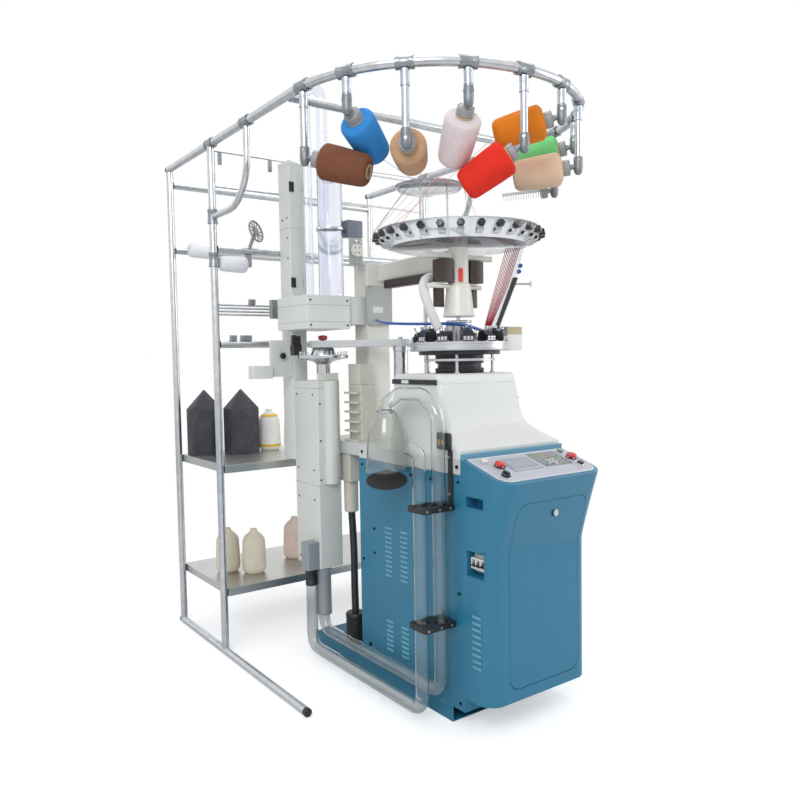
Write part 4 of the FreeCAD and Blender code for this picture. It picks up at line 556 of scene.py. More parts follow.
def copies_tree():
    """Geometry nodes: one source part set at every point, turned and sized by the point's own values."""
    tree, given, result = new_group("copies at points", "GeometryNodeTree", (
        ("Points", "Geometry", None), ("Part", "Object", None), ("Size", "Float", 1.0),
        ("Material", "Material", None),
    ), (("Copies", "Geometry"),))
    part = added(tree, "GeometryNodeObjectInfo")
    turn = added(tree, "GeometryNodeInputNamedAttribute", data_type="FLOAT_VECTOR", Name="turn")
    euler = added(tree, "FunctionNodeEulerToRotation")
    place = added(tree, "GeometryNodeInstanceOnPoints")
    real = added(tree, "GeometryNodeRealizeInstances")
    paint = added(tree, "GeometryNodeSetMaterial")
    join_up(
        tree,
        (given, "Part", part, "Object"),
        (given, "Points", place, "Points"),
        (part, "Geometry", place, "Instance"),
        (turn, "Attribute", euler, "Euler"),
        (euler, "Rotation", place, "Rotation"),
        (given, "Size", place, "Scale"),
        (place, "Instances", real, "Geometry"),
        (real, "Geometry", paint, "Geometry"),
        (given, "Material", paint, "Material"),
        (paint, "Geometry", result, "Copies"),
    )
    return tree


COPIES_TREE = copies_tree()


def aimed(axis, hint=None):
    """The turn that takes a part drawn along +Z to an axis, as Euler angles."""
    turn = Vector(axis).normalized().to_track_quat("Z", "Y").to_matrix().to_4x4()
    if hint is not None:
        z = Vector(axis).normalized()
        x = (Vector(hint) - z * Vector(hint).dot(z)).normalized()
        turn = Matrix((x, z.cross(x), z)).transposed().to_4x4()
    return turn.to_euler()


def copied(name, part, places, paint, body="machine", stands_for=()):
    """Many copies of one part; places lists (spot, turn)."""
    source = into_scene(bpy.data.objects.new(name + "_part", part))
    points = bpy.data.meshes.new(name + "_points")
    points.from_pydata([tuple(spot) for spot, _ in places], [], [])
    turns = points.attributes.new("turn", "FLOAT_VECTOR", "POINT")
    turns.data.foreach_set("vector", [angle for _, turn in places for angle in turn])
    mesh = grown(name, points, COPIES_TREE, Part=source, Material=paint)
    bpy.data.objects.remove(source)
    return piece(name, mesh, paint, body, stands_for)


def screw_head(radius, height):
    """A cap screw's head, drawn along +Z from its seat, with a hollow for the key."""
    head, key = Form(), radius * 0.5
    profile = [(0.0, 0.0), (radius, 0.0), (radius, height * 0.8), (radius * 0.88, height), (key, height),
               (key, height * 0.45), (0.0, height * 0.4)]
    head.turned((0, 0, 0), (0, 0, 1), profile, 12)
    return head.mesh("screw_head")


cast_zinc = finish("die_cast_zinc", shade(150, 155, 160), gloss=0.36, metal=0.85, uneven=0.35, stain=0.4, patch=0.02,
                   gloss_change=0.2, grain=0.0012, relief=0.25)
bolt_steel = finish("zinc_plated_screw", shade(168, 170, 172), gloss=0.3, metal=1.0, uneven=0.2, stain=0.3,
                    patch=0.01)
tee_places = []
for x in SIDES:
    tee_places.append((Vector((x, POST_FRONT_Y, 1.752)), Vector((0, 0, 1))))
    tee_places.append((Vector((x, POST_FRONT_Y, 1.938)), Vector((0, 0, 1))))
ARM_PLACES = []
for k in range(9):
    a = radians(185 + 20 * k)
    reach = POST_X * cos(pi / 36)
    spot = Vector((reach * cos(a), RING_BEND_Y + reach * sin(a), RING_Z))
    ARM_PLACES.append(spot)
    tee_places.append((spot, Vector((-sin(a), cos(a), 0))))
for x in SIDES:
    for y in (POST_FRONT_Y, 0.075):
        tee_places.append((Vector((x, y, RING_Z)), Vector((0, 1, 0))))
collars = Form()
screw_spots = []
for spot, along in tee_places:
    wall = [(0.0175, 0.0), (0.0222, 0.0), (0.0222, 0.01), (0.0206, 0.013), (0.0206, 0.049), (0.0222, 0.052),
            (0.0222, 0.062), (0.0175, 0.062)]
    collars.turned(spot - along * 0.031, along, wall, 28, ring=True)
    sideways = along.cross(Vector((0, 0, 1)))
    if sideways.length < 0.1:
        sideways = Vector((0, -1, 0))
    sideways.normalize()
    for shift in (-0.02, 0.02):
        screw_spots.append((spot + along * shift + sideways * 0.019, aimed(sideways)))
for x in (-0.545, -0.42, -0.305):
    collars.block(x - 0.0078, x + 0.0078, POST_FRONT_Y - 0.0058, POST_FRONT_Y + 0.0058, 2.166, 2.2165)
for x0, x1, z in ((-0.52, -0.492, 1.4015), (-0.47, -0.42, 1.4015), (-0.425, -0.398, 1.5628)):
    collars.block(x0, x1, POST_FRONT_Y - 0.0098, POST_FRONT_Y + 0.0098, z, z + 0.0235)
collars.block(-0.32, -0.262, 0.4232, 0.4518, 1.502, 1.587)
eased(collars.made("split_tees", cast_zinc, stands_for=["tube_clamps"]), 0.0009)
copied("tee_screws", screw_head(0.0036, 0.004), screw_spots, bolt_steel)

# ------------------------------------------------------------------ cone arms
# Under each of the nine tees hangs a tube in a bright sleeve, short and long
# by turns; its knuckle is a casting with a domed end that a cross bolt locks.
VIEW_RIGHT = Vector((0.81, -0.587, 0))
VIEW_AWAY = Vector((0.587, 0.81, 0))
UP = Vector((0, 0, 1))
CONE_WAYS = (
    VIEW_RIGHT * 0.93 + VIEW_AWAY * -0.22 + UP * -0.28,
    VIEW_RIGHT * 0.38 + VIEW_AWAY * 0.8 + UP * -0.46,
    VIEW_RIGHT * 0.1 + VIEW_AWAY * 0.98 + UP * -0.05,
    VIEW_RIGHT * -0.16 + VIEW_AWAY * 0.7 + UP * -0.62,
    VIEW_RIGHT * -0.8 + VIEW_AWAY * 0.22 + UP * -0.52,
    VIEW_RIGHT * -0.94 + VIEW_AWAY * 0.2 + UP * -0.22,
    VIEW_RIGHT * -0.97 + VIEW_AWAY * 0.1 + UP * -0.12,
    VIEW_RIGHT * -0.9 + VIEW_AWAY * 0.3 + UP * -0.16,
    VIEW_RIGHT * -0.98 + UP * -0.1,
)
arm_tubes, knuckles = Form(), Form()
knuckle_bolts = []
HOLDERS = []
for k, (spot, way) in enumerate(zip(ARM_PLACES, CONE_WAYS)):
    top = spot - UP * 0.0208
    length = 0.056 if k % 2 else 0.185
    sleeve = min(0.052, length - 0.002)
    steps = [(0.0, 0.0), (0.0158, 0.0), (0.0158, sleeve * 0.3), (0.0148, sleeve * 0.36), (0.0152, sleeve - 0.004),
             (0.016, sleeve - 0.003), (0.016, sleeve), (0.0126, sleeve), (0.0126, length), (0.0, length)]
    arm_tubes.turned(top, -UP, steps, 28)
    way = way.normalized()
    ahead = Vector((way.x, way.y, 0)).normalized()
    level = UP.cross(ahead)
    low = top - UP * length
    cup = [(0.0, 0.0), (0.0158, 0.0), (0.0166, 0.002), (0.0166, 0.04), (0.0158, 0.05), (0.0132, 0.058),
           (0.0085, 0.0636), (0.0, 0.0658)]
    knuckles.turned(low, -UP, cup, 28)
    lug = low - UP * 0.013
    knuckles.turned(lug - level * 0.0168, level, rod_line(0.0068, 0.0336), 20)
    root = low - UP * 0.033
    neck = root + way * 0.01
    knuckles.turned(neck, way, rod_line(0.0092, 0.0246), 20)
    knuckle_bolts.append((lug + level * 0.015, aimed(level)))
    knuckle_bolts.append((lug - level * 0.015, aimed(-level)))
    knuckle_bolts.append((root - ahead * 0.015, aimed(-ahead)))
    HOLDERS.append((root + way * (0.0102 / way.dot(ahead)), way))
bright_sleeve = finish("bright_cast_sleeve", shade(188, 194, 202), gloss=0.26, metal=0.9, uneven=0.4, stain=0.3,
                       patch=0.02, gloss_change=0.25, grain=0.002, relief=0.12)
knuckle_paint = finish("grey_cast_knuckle", shade(128, 134, 138), gloss=0.42, metal=0.55, uneven=0.3, stain=0.35,
                       patch=0.02, gloss_change=0.2, grain=0.0011, relief=0.3)
eased(arm_tubes.made("arm_tubes", bright_sleeve, stands_for=["cone_arms"]), 0.0006)
eased(knuckles.made("knuckles", knuckle_paint, stands_for=["cone_knuckles"]), 0.0006)
copied("knuckle_bolts", screw_head(0.0052, 0.0026), knuckle_bolts, bolt_steel)

# ------------------------------------------------------------------ cone holders
# Each holder is a moulded plate with a ribbed rim and sprung fingers that grip
# a cone's paper core. One arm carries a comb of guide pins, and an empty
# spoked plate stands on the rack's left end.
holders, fingers = Form(), []
for spot, way in HOLDERS:
    plate = [(0.0, 0.014), (0.01, 0.014), (0.012, 0.02), (0.027, 0.0232), (0.029, 0.025), (0.029, 0.044),
             (0.027, 0.0462), (0.0, 0.0462)]
    holders.turned(spot, way, plate, 36)
    side = way.cross(UP).normalized()
    lift = side.cross(way)
    for s in range(12):
        a = 2 * pi * s / 12
        out = side * cos(a) + lift * sin(a)
        fingers.append((spot + way * 0.0225 + out * 0.02, aimed(out, hint=way)))
post_foot = Vector((-0.415, POST_FRONT_Y, 1.8165))
plate_way = Vector((0.45, -0.75, 0.25)).normalized()
plate_spot = Vector((-0.392, 0.426, 1.8884))
rise = plate_spot - post_foot
holders.turned(post_foot, rise, rod_line(0.008, rise.length), 20)
hub = [(0.0, -0.004), (0.016, -0.004), (0.017, 0.001), (0.017, 0.0078), (0.0, 0.0078)]
holders.turned(plate_spot, plate_way, hub, 28)
rim = oblong(0.045, 0.051, 0.0, 0.0078)
holders.turned(plate_spot, plate_way, rim, 44, ring=True)
side = plate_way.cross(UP).normalized()
lift = side.cross(plate_way)
for s in range(12):
    a = 2 * pi * s / 12
    out = side * cos(a) + lift * sin(a)
    across = plate_way.cross(out) * 0.0022
    foot = plate_spot + out * 0.0155 + plate_way * 0.0015
    outline = [foot - across, foot + across, foot + across + out * 0.031, foot - across + out * 0.031]
    holders.pushed(outline, plate_way * 0.0048)
holders.block(-0.4338, -0.4102, 0.4305, 0.4495, 1.73, 1.7838)
holders.block(-0.3998, -0.3762, 0.89, 0.9438, 1.8455, 1.8685)
grey_plastic = finish("grey_moulded_plastic", shade(150, 152, 152), gloss=0.42, uneven=0.16, stain=0.25, patch=0.03,
                      grain=0.0011, relief=0.08)
eased(holders.made("cone_plates", grey_plastic, stands_for=["cone_holders"]), 0.0007)
finger = Form()
finger.pushed([(-0.0006, -0.003, 0.0), (0.0014, -0.003, 0.0), (0.0014, -0.003, 0.0075), (0.0002, -0.003, 0.0095),
              (-0.0006, -0.003, 0.0075)], (0, 0.006, 0))
copied("grip_fingers", finger.mesh("grip_finger"), fingers, grey_plastic)

# ------------------------------------------------------------------ yarn cones
# Eight cross-wound cones of dyed yarn hang in the holders, each wound on a
# paper core that shows at both ends.


def winding_group():
    """Crossing strands of wound yarn, laid out by the piece's own map: turns round it and metres along it; the dye is
    darkened between the strands as painted shade.
    """
    group, given, result = new_group("wound yarn", "ShaderNodeTree", (
        ("Colour", "Color", (0.5, 0.5, 0.5, 1.0)), ("Strand pitch", "Float", 0.0022), ("Slant", "Float", 0.03),
        ("Shading", "Float", 0.25),
    ), (("Colour", "Color"), ("Relief", "Float")))
    plan = added(group, "ShaderNodeUVMap", uv_map="around")
    split = added(group, "ShaderNodeSeparateXYZ")
    join_up(group, (plan, "UV", split, "Vector"))
    lines = []
    for way in (1.0, -1.0):
        lean = maths(group, "MULTIPLY")
        signed = maths(group, "MULTIPLY_ADD", None, way)
        turns = maths(group, "DIVIDE")
        phase = maths(group, "MULTIPLY", None, 2 * pi)
        wave = maths(group, "SINE")
        join_up(
            group,
            (split, "X", lean, 0),
            (given, "Slant", lean, 1),
            (lean, 0, signed, 0),
            (split, "Y", signed, 2),
            (signed, 0, turns, 0),
            (given, "Strand pitch", turns, 1),
            (turns, 0, phase, 0),
            (phase, 0, wave, 0),
        )
        lines.append(wave)
    cross = maths(group, "MAXIMUM")
    place = added(group, "ShaderNodeTexCoord")
    fuzz = added(group, "ShaderNodeTexNoise", Scale=900.0, Detail=3.0)
    cloud = added(group, "ShaderNodeTexNoise", Scale=22.0)
    height = maths(group, "MULTIPLY_ADD", None, 0.6)
    # The strand pattern darkens the dye between the strands: painted shade in the grooves; the cloud noise adds
    # random tone.
    tone = maths(group, "MULTIPLY_ADD", None, 0.16)
    centred = maths(group, "SUBTRACT", None, 0.55)
    depth = maths(group, "MULTIPLY_ADD", None, None, 1.0)
    dye = added(group, "ShaderNodeHueSaturation")
    join_up(
        group,
        (lines[0], 0, cross, 0),
        (lines[1], 0, cross, 1),
        (place, "Object", fuzz, "Vector"),
        (place, "Object", cloud, "Vector"),
        (fuzz, 0, height, 0),
        (cross, 0, height, 2),
        (cross, 0, tone, 0),
        (cloud, 0, tone, 2),
        (tone, 0, centred, 0),
        (centred, 0, depth, 0),
        (given, "Shading", depth, 1),
        (depth, 0, dye, "Value"),
        (given, "Colour", dye, "Color"),
        (dye, 0, result, "Colour"),
        (height, 0, result, "Relief"),
    )
    return group


WINDING = winding_group()


def yarn(name, colour, pitch=0.0024, relief=0.55):
    """Dyed yarn wound in crossing layers, with the soft edge light of its fibres."""
    wound, tree, shader = blank_finish(name)
    settled(shader, Roughness=0.88, Specular_IOR_Level=0.2, Sheen_Weight=0.35, Sheen_Roughness=0.5,
            Sheen_Tint=(*colour, 1.0))
    look = added(tree, "ShaderNodeGroup", node_tree=WINDING, Colour=(*colour, 1.0), Strand_pitch=pitch)
    bump = added(tree, "ShaderNodeBump", Strength=relief, Distance=0.0006)
    join_up(
        tree,
        (look, "Colour", shader, "Base Color"),
        (look, "Relief", bump, "Height"),
        (bump, "Normal", shader, "Normal"),
    )
    return wound


CONE_DYES = (
    ("brown", shade(122, 78, 58)),
    ("blue", shade(58, 140, 212)),
    ("tan", shade(196, 158, 124)),
    ("pale_pink", shade(226, 214, 216)),
    ("red", shade(228, 52, 38)),
    ("orange", shade(224, 128, 36)),
    ("peach", shade(226, 196, 168)),
    ("green", shade(120, 206, 128)),
)
paper_core = finish("pressed_paper_core", shade(196, 178, 148), gloss=0.7, uneven=0.2, stain=0.25, patch=0.01,
                    grain=0.0008, relief=0.15)
cores = Form()
CONE_NOSES = []
for (dye, colour), (spot, way) in zip(CONE_DYES, HOLDERS):
    start = spot + way * 0.0462
    wound = Form()
    skin = [(0.03, 0.009), (0.044, 0.005), (0.05, 0.008), (0.056, 0.0125), (0.06, 0.017), (0.0618, 0.022),
            (0.0612, 0.06), (0.0588, 0.11), (0.056, 0.156), (0.0545, 0.166), (0.051, 0.174), (0.045, 0.18),
            (0.037, 0.1828), (0.028, 0.18), (0.024, 0.176)]
    wound.turned(start, way, skin, 56)
    wound.made("cone_" + dye, yarn("yarn_" + dye, colour), crease=60)
    core = [(0.0262, 0.0006), (0.029, 0.0006), (0.0246, 0.1842), (0.0216, 0.1842)]
    cores.turned(start, way, core, 32, ring=True)
    CONE_NOSES.append(start + way * 0.1853)
eased(cores.made("paper_cores", paper_core, stands_for=["ring_yarn_cones"]), 0.0004)

# ------------------------------------------------------------------ shelves
# Two trays of ground stainless sheet with folded rims, screwed between the
# posts; the packages have left dull marks on them.


def ground_steel(name, colour, along=(1.0, 40.0, 40.0), gloss=0.34):
    """Bare steel ground in one direction, with clouds of handling marks."""
    metal, tree, shader = blank_finish(name)
    settled(shader, Metallic=1.0)
    tone = added(tree, "ShaderNodeGroup", node_tree=UNEVEN, Colour=(*colour, 1.0),
                 Stain_colour=(*(part * 0.6 for part in colour), 1.0), Patch_size=0.12, Unevenness=0.22,
                 Staining=0.35, Gloss=gloss - 0.08, Gloss_change=0.2)
    place = added(tree, "ShaderNodeTexCoord")
    stretch = added(tree, "ShaderNodeMapping", Scale=along)
    scratch = added(tree, "ShaderNodeTexNoise", Scale=14.0, Detail=6.0)
    bump = added(tree, "ShaderNodeBump", Strength=0.06, Distance=0.001)
    join_up(
        tree,
        (tone, "Colour", shader, "Base Color"),
        (tone, "Roughness", shader, "Roughness"),
        (place, "Object", stretch, "Vector"),
        (stretch, "Vector", scratch, "Vector"),
        (scratch, 0, bump, "Height"),
        (bump, "Normal", shader, "Normal"),
    )
    return metal


def solid_copy(name, node, paint, width=0.0012, steps=2):
    """A finished copy of a solid whose form is right: merged, flat faces cleaned, edges broken."""
    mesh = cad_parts[node].data.copy()
    work = bmesh.new()
    work.from_mesh(mesh)
    bmesh.ops.remove_doubles(work, verts=work.verts, dist=0.00002)
    bmesh.ops.dissolve_limit(work, angle_limit=radians(0.5), verts=work.verts, edges=work.edges)
    work.to_mesh(mesh)
    work.free()
    return eased(piece(name, mesh, paint, stands_for=[node]), width, steps)


tray_steel = ground_steel("ground_tray_steel", shade(200, 201, 198), gloss=0.32)
solid_copy("shelf_trays", "shelves", tray_steel, 0.0016, 3)

# ------------------------------------------------------------------ shelf packs
# Bottle-shaped packages stand on the shelves: plump white ones above, two of
# them under hoods, one with yellow tapes, and small cream ones below.
PACK_SPOTS = (
    (-0.47, 0.9, 0.85, "white"), (-0.31, 0.82, 0.85, "white"), (-0.15, 0.835, 0.85, "taped"),
    (-0.02, 0.8, 0.85, "cream"), (-0.452, 0.7, 0.297, "cream"), (-0.362, 0.6, 0.297, "cream"),
    (-0.08, 0.72, 0.297, "blush"),
)
PACK_DYES = {"white": shade(232, 233, 238), "cream": shade(222, 214, 196), "blush": shade(226, 206, 196),
             "taped": shade(236, 236, 232)}
pack_groups = {dye: Form() for dye in PACK_DYES}
tapes = Form()
for x, y, z, dye in PACK_SPOTS:
    body_line = [(0.0, 0.0), (0.04, 0.0), (0.044, 0.003), (0.052, 0.012), (0.0568, 0.024), (0.0572, 0.04),
                 (0.056, 0.09), (0.054, 0.14), (0.052, 0.16), (0.043, 0.176), (0.03, 0.188), (0.02, 0.196),
                 (0.0164, 0.204), (0.016, 0.2105), (0.0, 0.2108)]
    pack_groups[dye].turned((x, y, z), (0, 0, 1), body_line, 48)
    if dye == "taped":
        tapes.turned((x, y, z), (0, 0, 1), [(0.0565, 0.02), (0.0576, 0.02), (0.0578, 0.033), (0.0567, 0.033)], 48,
                     ring=True)
        tapes.turned((x, y, z), (0, 0, 1), [(0.033, 0.1848), (0.046, 0.1736), (0.0466, 0.1746), (0.0336, 0.1858)],
                     48, ring=True)
for spot in ((-0.434, POST_FRONT_Y, 1.7396), (-0.4, 0.8996, 1.857)):
    pack_groups["white"].turned(spot, (-1, 0, 0), [(0.0, 0.0), (0.0262, 0.0), (0.034, 0.006), (0.0372, 0.016),
                                (0.0364, 0.06), (0.034, 0.11), (0.03, 0.119), (0.023, 0.1248), (0.0, 0.1248)], 40)
for dye, form in pack_groups.items():
    form.made("packs_" + dye, yarn("yarn_pack_" + dye, PACK_DYES[dye], 0.003, 0.4),
              stands_for=["shelf_yarn_cones"] if dye == "white" else (), crease=60)
yellow_tape = finish("yellow_tape", shade(222, 182, 62), gloss=0.5, uneven=0.1, patch=0.02)
tapes.made("pack_tapes", yellow_tape)


# Six-sided hoods of smoke-grey film stand over two of the packages against
# lint, folded from one sheet and creased at their edges.
def smoke_film():
    film, tree, shader = blank_finish("smoke_grey_film")
    settled(shader, IOR=1.25)
    tone = added(tree, "ShaderNodeGroup", node_tree=UNEVEN, Colour=(*shade(66, 68, 74), 1.0),
                 Stain_colour=(*shade(120, 122, 128), 1.0), Patch_size=0.06, Unevenness=0.5, Staining=0.5,
                 Gloss=0.22, Gloss_change=0.3)
    veil = added(tree, "ShaderNodeMapRange", To_Min=0.5, To_Max=0.78)
    folds = added(tree, "ShaderNodeTexNoise", Scale=16.0, Detail=3.0)
    place = added(tree, "ShaderNodeTexCoord")
    bump = added(tree, "ShaderNodeBump", Strength=0.35, Distance=0.01)
    join_up(
        tree,
        (tone, "Colour", shader, "Base Color"),
        (tone, "Roughness", shader, "Roughness"),
        (place, "Object", folds, "Vector"),
        (folds, 0, veil, "Value"),
        (veil, 0, shader, "Alpha"),
        (folds, 0, bump, "Height"),
        (bump, "Normal", shader, "Normal"),
    )
    return film


solid_copy("film_hoods", "cone_hoods", smoke_film(), 0.0008, 1)

# ------------------------------------------------------------------ base channels
# Two folded steel channels, painted with the cabinet, carry the machine and
# stay open in front so that a pallet truck can lift it.
teal_paint = finish("teal_powder_coat", shade(36, 118, 150), gloss=0.36, uneven=0.1, stain=0.12,
                    stain_colour=shade(64, 132, 156), patch=0.22, gloss_change=0.14, grain=0.0016, relief=0.12,
                    coat=0.12)
solid_copy("base_channels_painted", "base_channels", teal_paint, 0.0022, 3)

# ------------------------------------------------------------------ cabinet
# The cabinet is a welded sheet shell with a flat cover screwed to each side;
# the left one is pressed with two columns of cooling louvres in two groups.
solid_copy("cabinet_frame", "cabinet_shell", teal_paint, 0.0012, 2)
PANEL_LEFT = -0.19
PANEL_RIGHT = 0.3
covers = Form()
cover_y, cover_z = (-0.7398, -0.0802), (0.0602, 0.8998)
slot_y, slot_z = (-0.152, -0.12), (0.118, 0.134)
for y0, y1, z0, z1 in ((cover_y[0], slot_y[0], *cover_z), (slot_y[1], cover_y[1], *cover_z),
                       (*slot_y, cover_z[0], slot_z[0]), (*slot_y, slot_z[1], cover_z[1])):
    covers.pushed([(PANEL_LEFT, y, z) for y, z in oblong(y0, y1, z0, z1)], (0.0019, 0, 0))
covers.pushed([(PANEL_RIGHT, y, z) for y, z in oblong(*cover_y, *cover_z)], (-0.0019, 0, 0))
covers.made("side_covers", teal_paint, stands_for=["side_panels"])


def louvre_tree():
    """Geometry nodes: rows and columns of one pressed louvre."""
    tree, given, result = new_group("rows of louvres", "GeometryNodeTree", (
        ("Columns", "Geometry", None), ("Louvre", "Object", None), ("Rows", "Int", 7),
        ("Pitch", "Vector", (0, 0, 0.019)), ("Material", "Material", None),
    ), (("Louvres", "Geometry"),))
    rows = added(tree, "GeometryNodeMeshLine")
    part = added(tree, "GeometryNodeObjectInfo")
    column = added(tree, "GeometryNodeInstanceOnPoints")
    field = added(tree, "GeometryNodeInstanceOnPoints")
    real = added(tree, "GeometryNodeRealizeInstances")
    paint = added(tree, "GeometryNodeSetMaterial")
    join_up(
        tree,
        (given, "Rows", rows, "Count"),
        (given, "Pitch", rows, "Offset"),
        (given, "Louvre", part, "Object"),
        (rows, "Mesh", column, "Points"),
        (part, "Geometry", column, "Instance"),
        (given, "Columns", field, "Points"),
        (column, "Instances", field, "Instance"),
        (field, "Instances", real, "Geometry"),
        (real, "Geometry", paint, "Geometry"),
        (given, "Material", paint, "Material"),
        (paint, "Geometry", result, "Louvres"),
    )
    return tree


LOUVRE_TREE = louvre_tree()


def pressed_louvre():
    """A half-round scoop, 46 mm long, open below, with ends that run out into the sheet."""
    scoop = Form()
    length, height, proud = 0.046, 0.0072, 0.0048
    outer, inner = [], []
    for k in range(9):
        t = k / 8
        swell = min(1.0, sin(pi * t) * 1.9) if 0 < k < 8 else 0.02
        y = -length * t
        for row, shrink in ((outer, 1.0), (inner, 0.72)):
            row.append([(-0.0001, y, height), (-proud * swell * shrink * 0.75, y, height * 0.75),
                       (-proud * swell * shrink, y, height * 0.25), (-proud * swell * shrink, y, 0.0)])
    spots, faces = [], []
    for row in (outer, inner):
        for line in row:
            spots += line
    for part in (0, 36):
        for k in range(8):
            for j in range(3):
                a = part + k * 4 + j
                faces.append([a, a + 1, a + 5, a + 4])
    scoop.add(spots, faces)
    return scoop.mesh("pressed_louvre")


def louvres(name, columns, rows, pitch, paint, part):
    """Rows and columns of one louvre, from the lowest of each column."""
    source = into_scene(bpy.data.objects.new(name + "_part", part))
    tops = bpy.data.meshes.new(name + "_columns")
    tops.from_pydata(columns, [], [])
    mesh = grown(name, tops, LOUVRE_TREE, Louvre=source, Rows=rows, Pitch=pitch, Material=paint)
    bpy.data.objects.remove(source)
    return piece(name, mesh, paint, crease=50)


# The louvres are pressed from the cover's own teal sheet; their paler teal is a painted highlight where the scoops
# catch the light.
louvre_highlight_teal = finish("louvre_painted_highlight_teal", shade(92, 160, 184), gloss=0.34, uneven=0.1, stain=0.1, patch=0.1, coat=0.1)
louvre_dark = finish("louvre_shadow", shade(10, 34, 46), gloss=0.8, uneven=0.1, stain=0.0)
for name, low, rows in (("louvres_lower", 0.145, 7), ("louvres_upper", 0.445, 11)):
    columns = [(PANEL_LEFT, y, low) for y in (-0.262, -0.364)]
    louvres(name, columns, rows, (0, 0, 0.019), louvre_highlight_teal, pressed_louvre())
    # Under each louvre a dark plate is painted shade, standing for the dark inside that an open scoop would show.
    shadow = Form()
    shadow.pushed([(-0.0004, -0.003, -0.0012), (-0.0004, -0.043, -0.0012), (-0.0004, -0.043, 0.003),
                  (-0.0004, -0.003, 0.003)], (0.0003, 0, 0))
    louvres(name + "_gaps", columns, rows, (0, 0, 0.019), louvre_dark, shadow.mesh("louvre_shade_plate"))
black_hex = finish("blackened_screw", shade(24, 25, 27), gloss=0.4, metal=0.6, uneven=0.2, stain=0.2, patch=0.01)
cover_screws = []
for y in (-0.715, -0.105):
    for z in (0.085, 0.48, 0.875):
        cover_screws.append(((PANEL_LEFT, y, z), aimed((-1, 0, 0))))
        cover_screws.append(((PANEL_RIGHT, y, z), aimed((1, 0, 0))))
for y, z in ((-0.186, 0.52), (-0.186, 0.62), (-0.56, 0.868), (-0.44, 0.868)):
    cover_screws.append(((PANEL_LEFT, y, z), aimed((-1, 0, 0))))
copied("cover_screws", screw_head(0.006, 0.003), cover_screws, black_hex)

# ------------------------------------------------------------------ machine bed
# A ground and painted iron casting closes the cabinet and runs on behind it
# as the bed of the toe-closing unit; its edge shows as a pale band.
bed_paint = finish("pale_grey_enamel", shade(206, 208, 208), gloss=0.34, uneven=0.06, stain=0.15, patch=0.12,
                   grain=0.002, relief=0.1)
solid_copy("machine_bed_painted", "machine_bed", bed_paint, 0.003, 3)
bed_screws = [((PANEL_LEFT, -0.71, 0.928), aimed((-1, 0, 0))), ((PANEL_LEFT, -0.105, 0.928), aimed((-1, 0, 0)))]
copied("bed_screws", screw_head(0.007, 0.0035), bed_screws, black_hex)

# ------------------------------------------------------------------ console housing
# The console is a folded and welded sheet box that flares out towards the
# operator; its left side has a grip, a pocket for the breaker and louvres.
CONSOLE_LEFT = -0.2
CONSOLE_RIGHT = 0.3
CONSOLE_FOOT_Z = 0.12
CONSOLE_FRONT_Y = -0.88
CONSOLE_BACK_Y = -0.74
FLARE_Z = 0.64
LIP = Vector((0.0, -0.956, 0.892))
SLOPE = atan2(0.068, 0.216)
UP_SLOPE = Vector((0.0, cos(SLOPE), sin(SLOPE)))
OFF_SLOPE = Vector((0.0, -sin(SLOPE), cos(SLOPE)))


def round_corner(centre, radius, start, steps):
    """Points of a quarter circle in the plane of the first two numbers."""
    spots = []
    for k in range(steps + 1):
        a = radians(start + 90 * k / steps)
        spots.append((centre[0] + radius * cos(a), centre[1] + radius * sin(a)))
    return spots


def soft_corners(a0, a1, b0, b1, radius, steps=8):
    """A rectangle with round corners, as points (a, b)."""
    spots = round_corner((a1 - radius, b1 - radius), radius, 0, steps)
    spots += round_corner((a0 + radius, b1 - radius), radius, 90, steps)
    spots += round_corner((a0 + radius, b0 + radius), radius, 180, steps)
    return spots + round_corner((a1 - radius, b0 + radius), radius, 270, steps)


def console_body(inset):
    """The console's full form, or its hollow when it is drawn in by the sheet's thickness."""
    flare = [FLARE_Z + (LIP.z - FLARE_Z) * k / 14 for k in range(15)]
    heights = [CONSOLE_FOOT_Z + inset, 0.38] + flare + [0.97]
    radius = 0.062 - inset
    back = CONSOLE_BACK_Y + (0.001 if inset else 0.0)
    work = bmesh.new()
    rings = []
    for z in heights:
        reach = min(1.0, max(0.0, (z - FLARE_Z) / (LIP.z - FLARE_Z)))
        front = CONSOLE_FRONT_Y - 0.076 * reach ** 1.12 + inset
        x0, x1 = CONSOLE_LEFT + inset, CONSOLE_RIGHT - inset
        plan = [(x0, back)] + round_corner((x0 + radius, front + radius), radius, 180, 10)
        plan += round_corner((x1 - radius, front + radius), radius, 270, 10) + [(x1, back)]
        rings.append([work.verts.new((x, y, z)) for x, y in plan])
    n = len(rings[0])
    for low, high in zip(rings, rings[1:]):
        for k in range(n):
            work.faces.new([low[k], low[(k + 1) % n], high[(k + 1) % n], high[k]])
    work.faces.new(rings[0])
    work.faces.new(rings[-1])
    bmesh.ops.recalc_face_normals(work, faces=work.faces)
    parts = list(work.verts) + list(work.edges) + list(work.faces)
    cut = bmesh.ops.bisect_plane(work, geom=parts, plane_co=LIP - OFF_SLOPE * inset, plane_no=OFF_SLOPE,
                                 clear_outer=True)
    rim = [part for part in cut["geom_cut"] if isinstance(part, bmesh.types.BMEdge)]
    bmesh.ops.contextual_create(work, geom=rim)
    bmesh.ops.recalc_face_normals(work, faces=work.faces)
    mesh = bpy.data.meshes.new("console_body")
    work.to_mesh(mesh)
    work.free()
    return mesh


